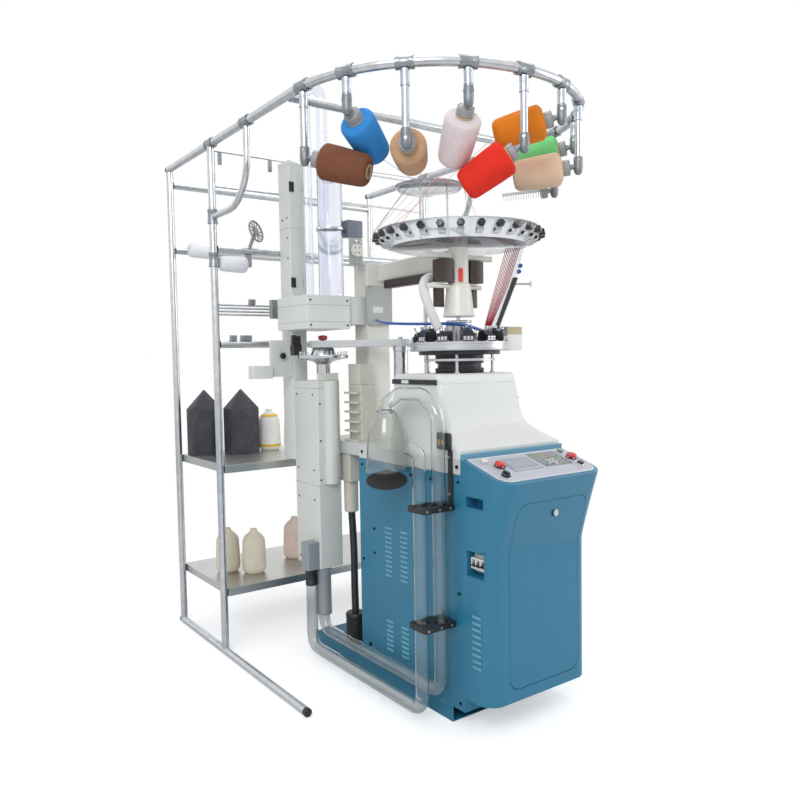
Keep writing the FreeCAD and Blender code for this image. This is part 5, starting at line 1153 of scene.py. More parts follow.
def carved(base, *steps):
    """A mesh with closed forms cut from it, joined to it or shared with it, in turn."""
    start = into_scene(bpy.data.objects.new("carving", base))
    tools = []
    for kind, form in steps:
        tool = into_scene(bpy.data.objects.new("carving_tool", form))
        tools.append(tool)
        change = start.modifiers.new("carve", "BOOLEAN")
        change.operation = kind
        change.object = tool
        change.solver = "EXACT"
    bpy.context.view_layer.update()
    mesh = bpy.data.meshes.new_from_object(start.evaluated_get(bpy.context.evaluated_depsgraph_get()))
    for thing in tools + [start]:
        bpy.data.objects.remove(thing)
    return mesh


def pressed_form(outline, push):
    form = Form()
    form.pushed(outline, push)
    return form.mesh("pressed_form")


def boxes(*sizes):
    form = Form()
    for size in sizes:
        form.block(*size)
    return form.mesh("boxes")


def door_prism(gap, low_gap):
    edge = soft_corners(-0.108 + gap, 0.24 - gap, 0.16 + low_gap, 0.815 - gap, 0.045, 10)
    return pressed_form([(x, -1.02, z) for x, z in edge], (0, 0.17, 0))


def console_sheet():
    return carved(console_body(0.0), ("DIFFERENCE", console_body(0.004)))


def on_panel(x, y, off=0.0):
    """The spot over the slope at the level place (x, y), stood off by a distance."""
    return Vector((x, y, LIP.z + (y - LIP.y) * sin(SLOPE) / cos(SLOPE))) + OFF_SLOPE * off


def slope_plate(form, outline, low, high):
    """A flat plate on the slope, from an outline of level places (x, y)."""
    form.pushed([on_panel(x, y, low) for x, y in outline], OFF_SLOPE * (high - low))


panel_window = Form()
slope_plate(panel_window, oblong(-0.166, 0.266, -0.9236, -0.7724), -0.03, 0.006)
pocket_cups = boxes((-0.1995, -0.152, -0.856, -0.766, 0.558, 0.65), (-0.1995, -0.152, -0.856, -0.766, 0.796, 0.836))
pocket_rooms = boxes((-0.203, -0.154, -0.854, -0.768, 0.56, 0.648), (-0.203, -0.154, -0.854, -0.768, 0.798, 0.834))
vent_slots = boxes(*[(-0.203, -0.19, -0.836, -0.792, 0.246 + 0.022 * k, 0.2505 + 0.022 * k) for k in range(9)])
housing = carved(console_sheet(), ("DIFFERENCE", door_prism(0.0, 0.0)), ("UNION", pocket_cups),
                 ("DIFFERENCE", pocket_rooms), ("DIFFERENCE", vent_slots),
                 ("DIFFERENCE", panel_window.mesh("panel_window")))
eased(piece("console_housing_painted", housing, teal_paint, stands_for=["console_housing"], crease=32), 0.0011, 2, 42)
louvres("console_louvres", [(CONSOLE_LEFT, -0.791, 0.2448)], 9, (0, 0, 0.022), louvre_highlight_teal, pressed_louvre())
ears = Form()
for x, way in ((-0.088, 1), (0.22, -1)):
    ear_x = x - 0.028 * way
    ears.block(ear_x - 0.0038, ear_x + 0.0038, -0.8748, -0.8612, 0.1242, 0.2218)
    ears.turned((ear_x, -0.87, 0.216), (way, 0, 0), rod_line(0.0039, 0.0395), 16)
eased(ears.made("door_pins", bolt_steel), 0.0006)
rear_band = Form()
band = [(-0.7518, 0.95), (-0.7405, 0.95), (-0.7405, 0.9745), (-0.7425, 0.9768), (-0.7495, 0.9768), (-0.7518, 0.9745)]
rear_band.pushed([(CONSOLE_LEFT + 0.0005, y, z) for y, z in band], (0.499, 0, 0))
# The rear band is the console's own teal coat, made paler as a painted highlight where it faces the light.
band_highlight_paint = finish("teal_powder_coat_painted_highlight", shade(96, 152, 178), gloss=0.34, uneven=0.08, stain=0.1, patch=0.15,
                    grain=0.0016, relief=0.12, coat=0.1)
eased(rear_band.made("console_rear_band", band_highlight_paint), 0.0012)

# ------------------------------------------------------------------ console door
# One pressed sheet with a flared top closes the console; it turns on two
# hidden pins near its foot and a cam lock with a key slot holds it shut.
groove = boxes((-0.12, 0.25, -0.883, -0.8793, 0.6396, 0.6404))
lock_hole = Form()
lock_hole.turned((0.078, -0.922, 0.765), (0, 1, 0), rod_line(0.0092, 0.06), 28)
door = carved(console_sheet(), ("INTERSECT", door_prism(0.0015, 0.0025)), ("DIFFERENCE", groove),
              ("DIFFERENCE", lock_hole.mesh("lock_hole")))
eased(piece("console_door_painted", door, teal_paint, "case_door", ["console_door"], crease=32), 0.0008, 2, 42)
door_knuckles = Form()
for x in (-0.088, 0.22):
    x0, x1 = x - 0.0128, x + 0.0128
    door_knuckles.turned((x0, -0.87, 0.216), (1, 0, 0), oblong(0.0041, 0.0068, 0.0, x1 - x0), 20, ring=True)
    door_knuckles.block(x0, x1, -0.8758, -0.8745, 0.2092, 0.2228)
eased(door_knuckles.made("door_knuckles", teal_paint, "case_door"), 0.0005)
polished_chrome = finish("polished_chrome", shade(218, 220, 224), gloss=0.14, metal=1.0, uneven=0.15, stain=0.15,
                         patch=0.01, gloss_change=0.12, grain=0.001, relief=0.03)
lock_face = Form()
lock_face.turned((0.078, -0.9248, 0.765), (0, 1, 0), [(0.0, 0.0018), (0.003, 0.0018), (0.003, 0.0004), (0.0085, 0.0),
                 (0.0112, 0.0008), (0.0119, 0.0035), (0.0119, 0.0058), (0.0088, 0.0058), (0.0088, 0.0295),
                 (0.0, 0.0295)], 36)
lock_face.block(0.07, 0.138, -0.9038, -0.9002, 0.7572, 0.7728)
key_slot = boxes((0.0772, 0.0788, -0.929, -0.921, 0.7605, 0.7695))
lock_body = carved(lock_face.mesh("cam_lock_body"), ("DIFFERENCE", key_slot))
eased(piece("cam_lock_chrome", lock_body, polished_chrome, "cam_lock", ["door_lock"]), 0.0004)
collar = Form()
collar.turned((0.078, -0.9205, 0.765), (0, 1, 0), [(0.0093, 0.0), (0.0125, 0.0), (0.0135, 0.009), (0.0093, 0.009)],
              36, ring=True)
collar.made("cam_lock_collar", black_plastic, "case_door")

# ------------------------------------------------------------------ control panel
# A sheet plate with folded round lip lies on the sloped top; it holds a
# display with soft keys, a membrane keypad, buttons and two mushroom stops.
panel_paint = finish("pale_grey_panel", shade(186, 188, 200), gloss=0.36, uneven=0.06, stain=0.12, patch=0.08,
                     grain=0.0014, relief=0.1, coat=0.1)


def panel_outline(margin):
    x0, x1 = CONSOLE_LEFT + margin, CONSOLE_RIGHT - margin
    front = LIP.y + margin
    radius = 0.062 - margin
    plan = [(x0, -0.7405 - margin)] + round_corner((x0 + radius, front + radius), radius, 180, 12)
    return plan + round_corner((x1 - radius, front + radius), radius, 270, 12) + [(x1, -0.7405 - margin)]


panel = Form()
slope_plate(panel, panel_outline(0.0155), 0.0001, 0.003)
stem_holes = Form()
for x, y, radius in ((-0.138, -0.794, 0.0084), (-0.103, -0.832, 0.0094), (-0.14, -0.9, 0.0084),
                     (0.248, -0.786, 0.0084), (0.256, -0.834, 0.0094), (0.244, -0.888, 0.0084)):
    stem_holes.turned(on_panel(x, y, -0.004), OFF_SLOPE, rod_line(radius, 0.012), 28)
panel_top = carved(panel.mesh("panel_plate"), ("DIFFERENCE", stem_holes.mesh("stem_holes")))
rim = Form()
outer, inner = panel_outline(0.015), panel_outline(0.0215)
count = len(outer)
section = []
for plan, height in ((outer, 0.0004), (outer, 0.0038), (panel_outline(0.017), 0.0052),
                     (panel_outline(0.0195), 0.0052), (inner, 0.003)):
    section.append([on_panel(x, y, height) for x, y in plan])
spots = [spot for row in section for spot in row]
faces = []
for row in range(4):
    for k in range(count):
        t = (k + 1) % count
        faces.append([row * count + k, row * count + t, (row + 1) * count + t, (row + 1) * count + k])
for k in range(count):
    t = (k + 1) % count
    faces.append([4 * count + k, 4 * count + t, t, k])
rim.add(spots, faces)
piece("panel_plate", panel_top, panel_paint, stands_for=["control_panel"])
# The folded lip is the panel's own sheet; its paler colour is a painted highlight along the rounded edge.
lip_highlight_paint = finish("panel_lip_painted_highlight", shade(206, 212, 222), gloss=0.28, uneven=0.05, stain=0.08, patch=0.1,
                   coat=0.25)
rim.made("panel_lip", lip_highlight_paint, crease=50)

bezel_grey = finish("bezel_grey", shade(150, 155, 168), gloss=0.4, uneven=0.08, stain=0.1, patch=0.04)
bezel = Form()
slope_plate(bezel, soft_corners(-0.074, 0.066, -0.878, -0.788, 0.004, 5), 0.003, 0.0046)
slope_plate(bezel, soft_corners(-0.0665, 0.0585, -0.863, -0.795, 0.002, 3), 0.004, 0.0053)
eased(bezel.made("display_bezel", bezel_grey, stands_for=["display_and_keypad"]), 0.0005)


def display_glass():
    """Unlit grey liquid crystal under glass, with a painted reflection that makes it paler towards one corner."""
    glass, tree, shader = blank_finish("unlit_display")
    settled(shader, Roughness=0.08, Coat_Weight=0.6)
    place = added(tree, "ShaderNodeTexCoord")
    # A gradient over the screen is a painted reflection, pale at one corner.
    turn = added(tree, "ShaderNodeMapping", Location=(0.55, 5.9, 0.0), Rotation=(0.0, 0.0, 0.6),
                 Scale=(7.0, 7.0, 7.0))
    painted_glare = added(tree, "ShaderNodeTexGradient")
    ramp = added(tree, "ShaderNodeValToRGB")
    ramp.color_ramp.elements[0].color = (*shade(92, 100, 118), 1.0)
    ramp.color_ramp.elements[1].color = (*shade(138, 146, 162), 1.0)
    lines = added(tree, "ShaderNodeTexWave", Scale=90.0, Distortion=0.0)
    mix = added(tree, "ShaderNodeMix", data_type="RGBA", blend_type="MULTIPLY")
    mix.inputs[0].default_value = 0.12
    join_up(
        tree,
        (place, "Object", turn, "Vector"),
        (turn, "Vector", painted_glare, "Vector"),
        (painted_glare, 0, ramp, 0),
        (place, "Object", lines, "Vector"),
        (ramp, 0, mix, 6),
        (lines, 0, mix, 7),
        (mix, 2, shader, "Base Color"),
    )
    return glass


screen = Form()
slope_plate(screen, soft_corners(-0.0615, 0.0535, -0.858, -0.8, 0.0015, 3), 0.0048, 0.0057)
screen.made("display_window", display_glass())
key_shape = Form()
key_shape.pushed([(x, y, 0.0) for x, y in soft_corners(-0.0048, 0.0048, -0.0032, 0.0032, 0.0012, 2)], (0, 0, 0.0012))
key_mesh = key_shape.mesh("soft_key")
flat_turn = aimed(OFF_SLOPE, hint=(1, 0, 0))
KEY_INKS = {
    "white": finish("key_white", shade(222, 224, 228), gloss=0.5, uneven=0.06, stain=0.1, patch=0.01),
    "grey": finish("key_grey", shade(150, 156, 162), gloss=0.5, uneven=0.08, stain=0.1, patch=0.01),
    "green": finish("key_green", shade(112, 158, 96), gloss=0.5, uneven=0.08, stain=0.1, patch=0.01),
    "yellow": finish("key_yellow", shade(200, 168, 84), gloss=0.5, uneven=0.08, stain=0.1, patch=0.01),
    "red": finish("key_red", shade(190, 92, 70), gloss=0.5, uneven=0.08, stain=0.1, patch=0.01),
    "blue": finish("key_dark_blue", shade(72, 84, 116), gloss=0.5, uneven=0.08, stain=0.1, patch=0.01),
}
key_rows = (
    ("green", "green", "green", "yellow", "yellow", "grey", "grey", "grey"),
    ("green", "green", "yellow", "yellow", "red", "grey", "grey", "grey"),
    ("grey", "grey", "grey", "red", "red", "green", "green", "grey"),
    ("grey", "grey", "white", "white", "white", "green", "yellow", "red"),
    ("grey", "blue", "white", "white", "white", "red", "grey", "blue"),
    ("blue", "grey", "blue", "white", "grey", "red", "green", "grey"),
)
keys = {ink: [] for ink in KEY_INKS}
for k in range(9):
    keys["white"].append((on_panel(-0.06 + 0.014 * k, -0.871, 0.0045), flat_turn))
for row, inks in enumerate(key_rows):
    for column, ink in enumerate(inks):
        keys[ink].append((on_panel(0.095 + 0.0166 * column, -0.782 - 0.0166 * row, 0.0049), flat_turn))
membrane_grey = finish("keypad_membrane", shade(142, 150, 150), gloss=0.46, uneven=0.08, stain=0.12, patch=0.03)
membrane = Form()
slope_plate(membrane, soft_corners(0.084, 0.222, -0.874, -0.771, 0.004, 5), 0.003, 0.005)
eased(membrane.made("keypad_membrane", membrane_grey), 0.0005)
for ink, places in keys.items():
    eased(copied("keys_" + ink, key_mesh.copy(), places, KEY_INKS[ink]), 0.0003, 1)

# ------------------------------------------------------------------ push buttons
# Moulded buttons in chromed collars, two red mushroom stops with knurled
# edges and one black selector stand on the panel's two ends.
red_gloss = finish("red_glossy_plastic", shade(206, 44, 38), gloss=0.2, uneven=0.08, stain=0.1, patch=0.02, coat=0.4)
white_gloss = finish("white_glossy_plastic", shade(232, 232, 226), gloss=0.22, uneven=0.05, stain=0.1, patch=0.02,
                     coat=0.3)
green_gloss = finish("green_glossy_plastic", shade(86, 150, 104), gloss=0.22, uneven=0.08, stain=0.1, patch=0.02,
                     coat=0.3)
black_gloss = finish("black_glossy_plastic", shade(26, 28, 32), gloss=0.24, uneven=0.1, stain=0.15, patch=0.02,
                     coat=0.3)
push_cap = [(0.0, 0.002), (0.008, 0.002), (0.008, 0.008), (0.0112, 0.008), (0.0119, 0.0088), (0.0119, 0.0134),
            (0.0108, 0.0147), (0.006, 0.015), (0.0, 0.015)]
for name, x, y, paint, body in (
    ("start_button", -0.138, -0.794, white_gloss, "white_push"),
    ("green_button", 0.248, -0.786, green_gloss, "green_push"),
    ("black_button", 0.244, -0.888, black_gloss, "black_push"),
):
    cap = Form()
    cap.turned(on_panel(x, y), OFF_SLOPE, push_cap, 40)
    cap.made(name + "_cap", paint, body, [name], crease=30)
stop_cap = [(0.0, 0.002), (0.009, 0.002), (0.009, 0.009), (0.016, 0.01), (0.0186, 0.0112), (0.019, 0.013),
            (0.019, 0.016), (0.0182, 0.0178), (0.015, 0.02), (0.011, 0.0214), (0.006, 0.0219), (0.0, 0.022)]
for name, x, y, body in (("estop_left", -0.103, -0.832, "stop_left"), ("estop_right", 0.256, -0.834, "stop_right")):
    cap = Form()
    cap.turned(on_panel(x, y), OFF_SLOPE, stop_cap, 48)
    cap.made(name + "_cap", red_gloss, body, [name], crease=40)
knob = Form()
knob_spot = on_panel(-0.14, -0.9)
knob.turned(knob_spot, OFF_SLOPE, [(0.0, 0.0042), (0.015, 0.0042), (0.016, 0.0052), (0.016, 0.012), (0.014, 0.015),
            (0.0, 0.0155)], 40)
grip = [knob_spot + OFF_SLOPE * 0.012 + UP_SLOPE * y + Vector((x, 0, 0)) for x,
        y in soft_corners(-0.0045, 0.0045, -0.0148, 0.0148, 0.004, 5)]
knob.pushed(grip, OFF_SLOPE * 0.0108)
eased(knob.made("selector_grip", black_gloss, "mode_knob", ["selector_knob"], crease=40), 0.0008)
pointer = Form()
tip = [knob_spot + OFF_SLOPE * 0.0226 + UP_SLOPE * y + Vector((x, 0, 0)) for x,
       y in ((-0.0008, 0.002), (0.0008, 0.002), (0.0008, 0.0132), (-0.0008, 0.0132))]
pointer.pushed(tip, OFF_SLOPE * 0.0004)
pointer.made("selector_pointer", white_gloss, "mode_knob")
collars = Form()
for x, y, radius in ((-0.138, -0.794, 0.0155), (0.248, -0.786, 0.0155), (0.244, -0.888, 0.0155),
                     (-0.103, -0.832, 0.015), (0.256, -0.834, 0.015), (-0.14, -0.9, 0.0175)):
    inner = {0.0155: 0.0126, 0.015: 0.0096, 0.0175: 0.0163}[radius]
    top = {0.0155: 0.0073, 0.015: 0.0046, 0.0175: 0.0038}[radius]
    collars.turned(on_panel(x, y), OFF_SLOPE, [(inner, 0.0028), (radius, 0.0028), (radius, top - 0.0008),
                   (radius - 0.001, top), (inner, top)], 40, ring=True)
eased(collars.made("button_collars", polished_chrome), 0.0003)
guard = Form()
for x, y in ((-0.103, -0.832), (0.256, -0.834)):
    guard.turned(on_panel(x, y), OFF_SLOPE, oblong(0.0155, 0.0205, 0.003, 0.0052), 48, ring=True)
guard.made("stop_guards", black_plastic)

# ------------------------------------------------------------------ circuit breaker
# A three-pole breaker on a rail in the side pocket; its white case is stepped
# and the three black levers are tied by one bar.
breaker = Form()
for k in range(3):
    y0 = -0.8458 + 0.02327 * k
    y1 = y0 + 0.0231
    breaker.block(-0.17, -0.1545, y0, y1, 0.5742, 0.6338)
    breaker.block(-0.1878, -0.17, y0, y1, 0.5862, 0.5918)
    breaker.block(-0.1878, -0.17, y0, y1, 0.6182, 0.624)
    breaker.block(-0.174, -0.17, y0, y1, 0.5918, 0.6182)
    for x0, x1 in ((y0, y0 + 0.004), (y1 - 0.004, y1)):
        breaker.block(-0.1878, -0.174, x0, x1, 0.5918, 0.6182)
breaker_case = finish("breaker_case_white", shade(224, 224, 220), gloss=0.42, uneven=0.06, stain=0.15, patch=0.02)
eased(breaker.made("breaker_case", breaker_case, stands_for=["circuit_breaker"]), 0.0005)
levers = Form()
levers.turned((-0.178, -0.8396, 0.604), (0, 1, 0), rod_line(0.0058, 0.057), 24)
for y in (-0.83, -0.811, -0.792):
    levers.block(-0.1968, -0.179, y - 0.006, y + 0.006, 0.5982, 0.6028)
levers.block(-0.1968, -0.193, -0.836, -0.786, 0.5988, 0.6022)
eased(levers.made("breaker_levers_black", black_gloss, "breaker_levers", ["breaker_toggle"]), 0.0005)
terminal_screws = [((-0.17, -0.8458 + 0.02327 * k + 0.0116, z), aimed((-1, 0, 0))) for k in range(3) for z in (0.58,
                   0.629)]
copied("terminal_screws", screw_head(0.0026, 0.0008), terminal_screws, bolt_steel)

# ------------------------------------------------------------------ table cover
# One off-white moulding hides the cylinder's foot: a lid with a fine seam, a
# slope that sweeps out over the bed, and a black bar with a blank plate.
COVER_SWEEP = (
    (0.9552, 0.3198, -0.7348, -0.2902), (0.985, 0.3196, -0.7346, -0.2904), (0.993, 0.308, -0.7236, -0.292),
    (1.006, 0.287, -0.7044, -0.2954), (1.02, 0.268, -0.6872, -0.2988), (1.036, 0.249, -0.6704, -0.3028),
    (1.054, 0.232, -0.655, -0.3064), (1.076, 0.219, -0.6436, -0.3096), (1.11, 0.211, -0.6354, -0.3126),
    (1.16, 0.206, -0.629, -0.3164), (1.213, 0.2, -0.6222, -0.3218), (1.2144, 0.1984, -0.6206, -0.3232),
    (1.216, 0.1998, -0.6218, -0.322), (1.23, 0.198, -0.6198, -0.3236), (1.244, 0.195, -0.6156, -0.3264),
    (1.2484, 0.192, -0.612, -0.329), (1.2499, 0.187, -0.6072, -0.333),
)


def cover_moulding(inset):
    """The cover's outer form, or its hollow when it is drawn in by the wall."""
    form = Form()
    rings = []
    for z, x1, y0, y1 in COVER_SWEEP:
        soft = 0.0 if z < 1.24 else 0.0016
        plan = soft_corners(-0.1899 + soft + inset, x1 - inset, y0 + inset, y1 - inset, 0.03 - inset, 8)
        z -= inset if z > 1.2 else (0.02 if inset and z < 0.96 else 0.0)
        rings.append([(x, y, z) for x, y in plan])
    n = len(rings[0])
    faces = [list(range(n)), list(range((len(rings) - 1) * n, len(rings) * n))]
    for k in range(len(rings) - 1):
        faces += [[k * n + s, k * n + (s + 1) % n, (k + 1) * n + (s + 1) % n, (k + 1) * n + s] for s in range(n)]
    form.add([spot for ring in rings for spot in ring], faces)
    return form.mesh("cover_moulding")


def bored(base, radius, tall):
    form = Form()
    form.turned(base, (0, 0, 1), rod_line(radius, tall), 64)
    return form.mesh("bored")


HEAD_AXIS = Vector((0.05, -0.45, 0.0))
cover_white = finish("off_white_moulding", shade(220, 223, 221), gloss=0.42, uneven=0.05, stain=0.1,
                     stain_colour=shade(176, 182, 186), patch=0.18, grain=0.0014, relief=0.06, coat=0.08)
cover = carved(cover_moulding(0.0), ("DIFFERENCE", cover_moulding(0.0035)), ("DIFFERENCE",
               bored(HEAD_AXIS + Vector((0, 0, 1.2)), 0.0982, 0.1)))
piece("table_cover_moulding", cover, cover_white, stands_for=["table_cover"], crease=40)
plug = Form()
plug.turned((0.205, -0.6, 1.15), (1, 0, 0), [(0.0, 0.0), (0.0095, 0.0), (0.01, 0.006), (0.007, 0.01), (0.0, 0.0104)],
            24)
eased(plug.made("cover_plug", black_plastic), 0.0005)
cover_bar = Form()
cover_bar.pushed([(x, -0.6055, z) for x, z in ((-0.1902, 1.2124), (-0.1902, 1.2306), (-0.194, 1.2306),
                 (-0.1958, 1.229), (-0.1958, 1.2136), (-0.1946, 1.2124))], (0, 0.27, 0))
for k in range(11):
    cover_bar.block(-0.196, -0.195, -0.595 + 0.0092 * k, -0.5904 + 0.0092 * k, 1.215, 1.228)
eased(cover_bar.made("cover_black_bar", black_plastic), 0.0006)
blank_plate = Form()
blank_plate.pushed([(-0.1957, y, z) for y, z in soft_corners(-0.442, -0.398, 1.2152, 1.2276, 0.001, 2)],
                   (-0.0003, 0, 0))
plate_white = finish("blank_white_plate", shade(226, 228, 230), gloss=0.35, uneven=0.05, stain=0.12, patch=0.02)
blank_plate.made("cover_blank_plate", plate_white)

# ------------------------------------------------------------------ cylinder foot
# A turned iron column with flanges carries the base plate; four ground stays
# stand round it, and the hardened cam ring is bolted on top.
dark_iron = finish("oiled_dark_iron", shade(58, 60, 64), gloss=0.32, metal=0.7, uneven=0.4, stain=0.4,
                   stain_colour=shade(30, 30, 32), patch=0.03, grain=0.001, relief=0.15)
plate_steel = ground_steel("ground_plate_steel", shade(196, 198, 200), (1.0, 1.0, 30.0), gloss=0.26)
column = Form()
column.turned(HEAD_AXIS, (0, 0, 1), [(0.0462, 0.956), (0.095, 0.956), (0.095, 1.256), (0.0958, 1.258),
              (0.0958, 1.268), (0.086, 1.27), (0.086, 1.286), (0.095, 1.288), (0.095, 1.32), (0.158, 1.3205),
              (0.1592, 1.322), (0.1592, 1.3335), (0.158, 1.3348), (0.0462, 1.3348)], 96, ring=True)
column.made("cylinder_column_iron", dark_iron, crease=30)
plates = Form()
plates.turned(HEAD_AXIS, (0, 0, 1), [(0.0962, 1.296), (0.138, 1.296), (0.139, 1.297), (0.139, 1.305), (0.138, 1.306),
              (0.0962, 1.306)], 96, ring=True)
for k in range(4):
    a = pi / 4 + pi / 2 * k
    plates.turned(HEAD_AXIS + Vector((0.128 * cos(a), 0.128 * sin(a), 1.2502)), (0, 0, 1),
                  [(0.0, 0.0), (0.009, 0.0), (0.009, 0.006), (0.0055, 0.007), (0.0055, 0.0455), (0.0, 0.0455)], 16)
    plates.turned(HEAD_AXIS + Vector((0.128 * cos(a), 0.128 * sin(a), 1.3062)), (0, 0, 1), rod_line(0.0055, 0.0142),
                  16)
plates.made("cylinder_stays", plate_steel, crease=30)
ring = Form()
ring.turned(HEAD_AXIS, (0, 0, 1), [(0.1205, 1.3352), (0.19, 1.3352), (0.194, 1.3362), (0.1944, 1.34),
            (0.1944, 1.344), (0.1915, 1.345), (0.1915, 1.36), (0.1944, 1.361), (0.1944, 1.367), (0.193, 1.3688),
            (0.1205, 1.3688)], 120, ring=True)
ring.made("cam_ring_steel", plate_steel, stands_for=["cylinder_column"], crease=30)
ring_screws = []
for k in range(24):
    a = radians(7.5 + 15 * k)
    ring_screws.append((HEAD_AXIS + Vector((0.189 * cos(a), 0.189 * sin(a), 1.3687)), (0.0, 0.0, 0.0)))
copied("cam_ring_screws", screw_head(0.0036, 0.0034), ring_screws, bolt_steel)

# ------------------------------------------------------------------ cam boxes
# Twelve cam and pattern boxes stand round the cylinder: black anodised
# bodies, ground faces, finger levers and air fittings.


def box_places(which):
    """Where the cam boxes stand; which picks all (0), the low ones (1) or the tall ones (2)."""
    places = []
    for k in range(12):
        if which == 0 or k % 2 == which % 2:
            a = radians(30 * k)
            places.append((HEAD_AXIS + Vector((0.13 * cos(a), 0.13 * sin(a), 1.369)), (0.0, 0.0, a)))
    return places


box_black = finish("black_anodised_body", shade(36, 38, 44), gloss=0.34, metal=0.3, uneven=0.3, stain=0.35,
                   stain_colour=shade(84, 86, 92), patch=0.015, grain=0.0008, relief=0.12)
cam_steel = finish("polished_cam_steel", shade(198, 200, 204), gloss=0.2, metal=1.0, uneven=0.35, stain=0.4,
                   stain_colour=shade(96, 96, 98), patch=0.01, gloss_change=0.2, grain=0.001, relief=0.1)
fitting_blue = finish("blue_air_fitting", shade(40, 88, 160), gloss=0.28, uneven=0.15, stain=0.15, patch=0.01,
                      coat=0.2)
tall_box = Form()
tall_box.pushed([(x, -0.0196, z) for x, z in ((0.0003, 0.0002), (0.0548, 0.0002), (0.0548, 0.03), (0.047, 0.04),
                (0.03, 0.04), (0.024, 0.0518), (0.006, 0.0518), (0.0003, 0.044))], (0, 0.0392, 0))
tall_mesh = tall_box.mesh("tall_cam_box")
low_box = Form()
low_box.pushed([(x, -0.0196, z) for x, z in ((0.0003, 0.0002), (0.0548, 0.0002), (0.0548, 0.022), (0.04, 0.026),
               (0.034, 0.0396), (0.008, 0.0396), (0.0003, 0.03))], (0, 0.0392, 0))
low_mesh = low_box.mesh("low_cam_box")
eased(copied("cam_boxes_tall", tall_mesh, box_places(2), box_black, stands_for=["cam_boxes"]), 0.0007)
eased(copied("cam_boxes_low", low_mesh, box_places(1), box_black), 0.0007)
faces = Form()
for y in (-0.013, 0.0, 0.013):
    faces.block(0.0548, 0.0562, y - 0.005, y + 0.005, 0.004, 0.019)
    faces.turned((0.0562, y, 0.0115), (1, 0, 0), [(0.0, 0.0), (0.003, 0.0), (0.003, 0.0024), (0.0012, 0.0026),
                 (0.0012, 0.0014), (0.0, 0.0014)], 12)
for y in (-0.012, 0.012):
    faces.block(0.008, 0.035, y - 0.0032, y + 0.0032, 0.0398, 0.0418)
faces.block(-0.015, 0.0004, -0.006, 0.006, 0.006, 0.018)
faces.pushed([(-0.052, 0, 0.012), (-0.015, 0, 0.006), (-0.015, 0, 0.012), (-0.05, 0, 0.015)], (0, 0.0024, 0))
eased(copied("cam_box_faces", faces.mesh("cam_box_faces"), box_places(0), cam_steel), 0.0003, 1)
levers = Form()
for y, long in ((-0.015, 0.019), (-0.005, 0.024), (0.005, 0.016), (0.015, 0.022)):
    levers.turned((0.033, y, 0.033), (0.55, 0, 1), [(0.0, 0.0), (0.0016, 0.0), (0.0016, long),
                  (0.0026, long + 0.0006), (0.0026, long + 0.004), (0.0, long + 0.0044)], 10)
levers.turned((0.015, 0.0, 0.038), (0.25, 0.2, 1), [(0.0, 0.0), (0.0046, 0.0), (0.0046, 0.008), (0.0034, 0.009),
              (0.0034, 0.018), (0.0042, 0.0188), (0.0042, 0.023), (0.0, 0.024)], 14)
copied("cam_levers", levers.mesh("cam_levers"), box_places(0), cam_steel)
stubs = Form()
for y in (-0.01, 0.01):
    stubs.turned((0.044, y, 0.03), (0.1, 0, 1), [(0.0, 0.0), (0.0042, 0.0), (0.0042, 0.007), (0.003, 0.0076),
                 (0.003, 0.012), (0.0038, 0.0126), (0.0038, 0.016), (0.0, 0.0162)], 14)
copied("air_fittings", stubs.mesh("air_fittings"), box_places(2), fitting_blue)
side_box = Form()
side_box.pushed([(x, y, 1.3352) for x, y in soft_corners(0.243, 0.3295, -0.5195, -0.4005, 0.006, 5)], (0, 0, 0.064))
eased(side_box.made("side_box_white", cover_white), 0.001)
side_lid = Form()
side_lid.pushed([(x, y, 1.3994) for x, y in soft_corners(0.2434, 0.329, -0.519, -0.401, 0.006, 5)], (0, 0, 0.0302))
cream_lid = finish("cream_box_lid", shade(182, 170, 138), gloss=0.45, uneven=0.15, stain=0.3, patch=0.04,
                   grain=0.0012, relief=0.1)
eased(side_lid.made("side_box_lid", cream_lid), 0.0014)

# ------------------------------------------------------------------ needle cylinder
# The hardened cylinder turns in the column; needles ride in its milled
# grooves, their hooks just over its top. The dial faces it from above.


def grooved_wall(form, radius, depth, bore, z0, z1, grooves):
    """A tube whose outside is milled with grooves along its length."""
    outside, inside = [], []
    for k in range(grooves * 4):
        a = 2 * pi * k / (grooves * 4)
        r = radius - (depth if k % 4 > 1 else 0.0)
        outside.append((r * cos(a), r * sin(a)))
        inside.append((bore * cos(a), bore * sin(a)))
    n = len(outside)
    spots = []
    for plan, z in ((outside, z0), (outside, z1), (inside, z1), (inside, z0)):
        spots += [HEAD_AXIS + Vector((x, y, z)) for x, y in plan]
    faces = []
    for row in range(4):
        for k in range(n):
            t, low, high = (k + 1) % n, row * n, (row + 1) % 4 * n
            faces.append([low + k, low + t, high + t, high + k])
    form.add(spots, faces)


needle_steel = finish("bright_needle_steel", shade(214, 216, 220), gloss=0.16, metal=1.0, uneven=0.2, stain=0.2,
                      patch=0.01)
barrel = Form()
grooved_wall(barrel, 0.0506, 0.0012, 0.0384, 1.3356, 1.4376, 84)
barrel.turned(HEAD_AXIS, (0, 0, 1), oblong(0.0384, 0.0448, 0.8904, 1.3353), 64, ring=True)
barrel.made("needle_cylinder_steel", cam_steel, "cylinder", ["needle_cylinder"], crease=25)
needles, needle_turns = Form(), []
needles.block(-0.0006, 0.0006, -0.00035, 0.00035, -0.08, 0.0006)
needles.pushed([(-0.0006, -0.00035, 0.0006), (0.0004, -0.00035, 0.0006), (0.0006, -0.00035, 0.0014),
               (-0.0002, -0.00035, 0.0012)], (0, 0.0007, 0))
for k in range(84):
    a = 2 * pi * (k * 4 + 2.5) / 336
    needle_turns.append((HEAD_AXIS + Vector((0.05 * cos(a), 0.05 * sin(a), 1.4364)), (0.0, 0.0, a)))
copied("knitting_needles", needles.mesh("needle"), needle_turns, needle_steel, "cylinder")
dial = Form()
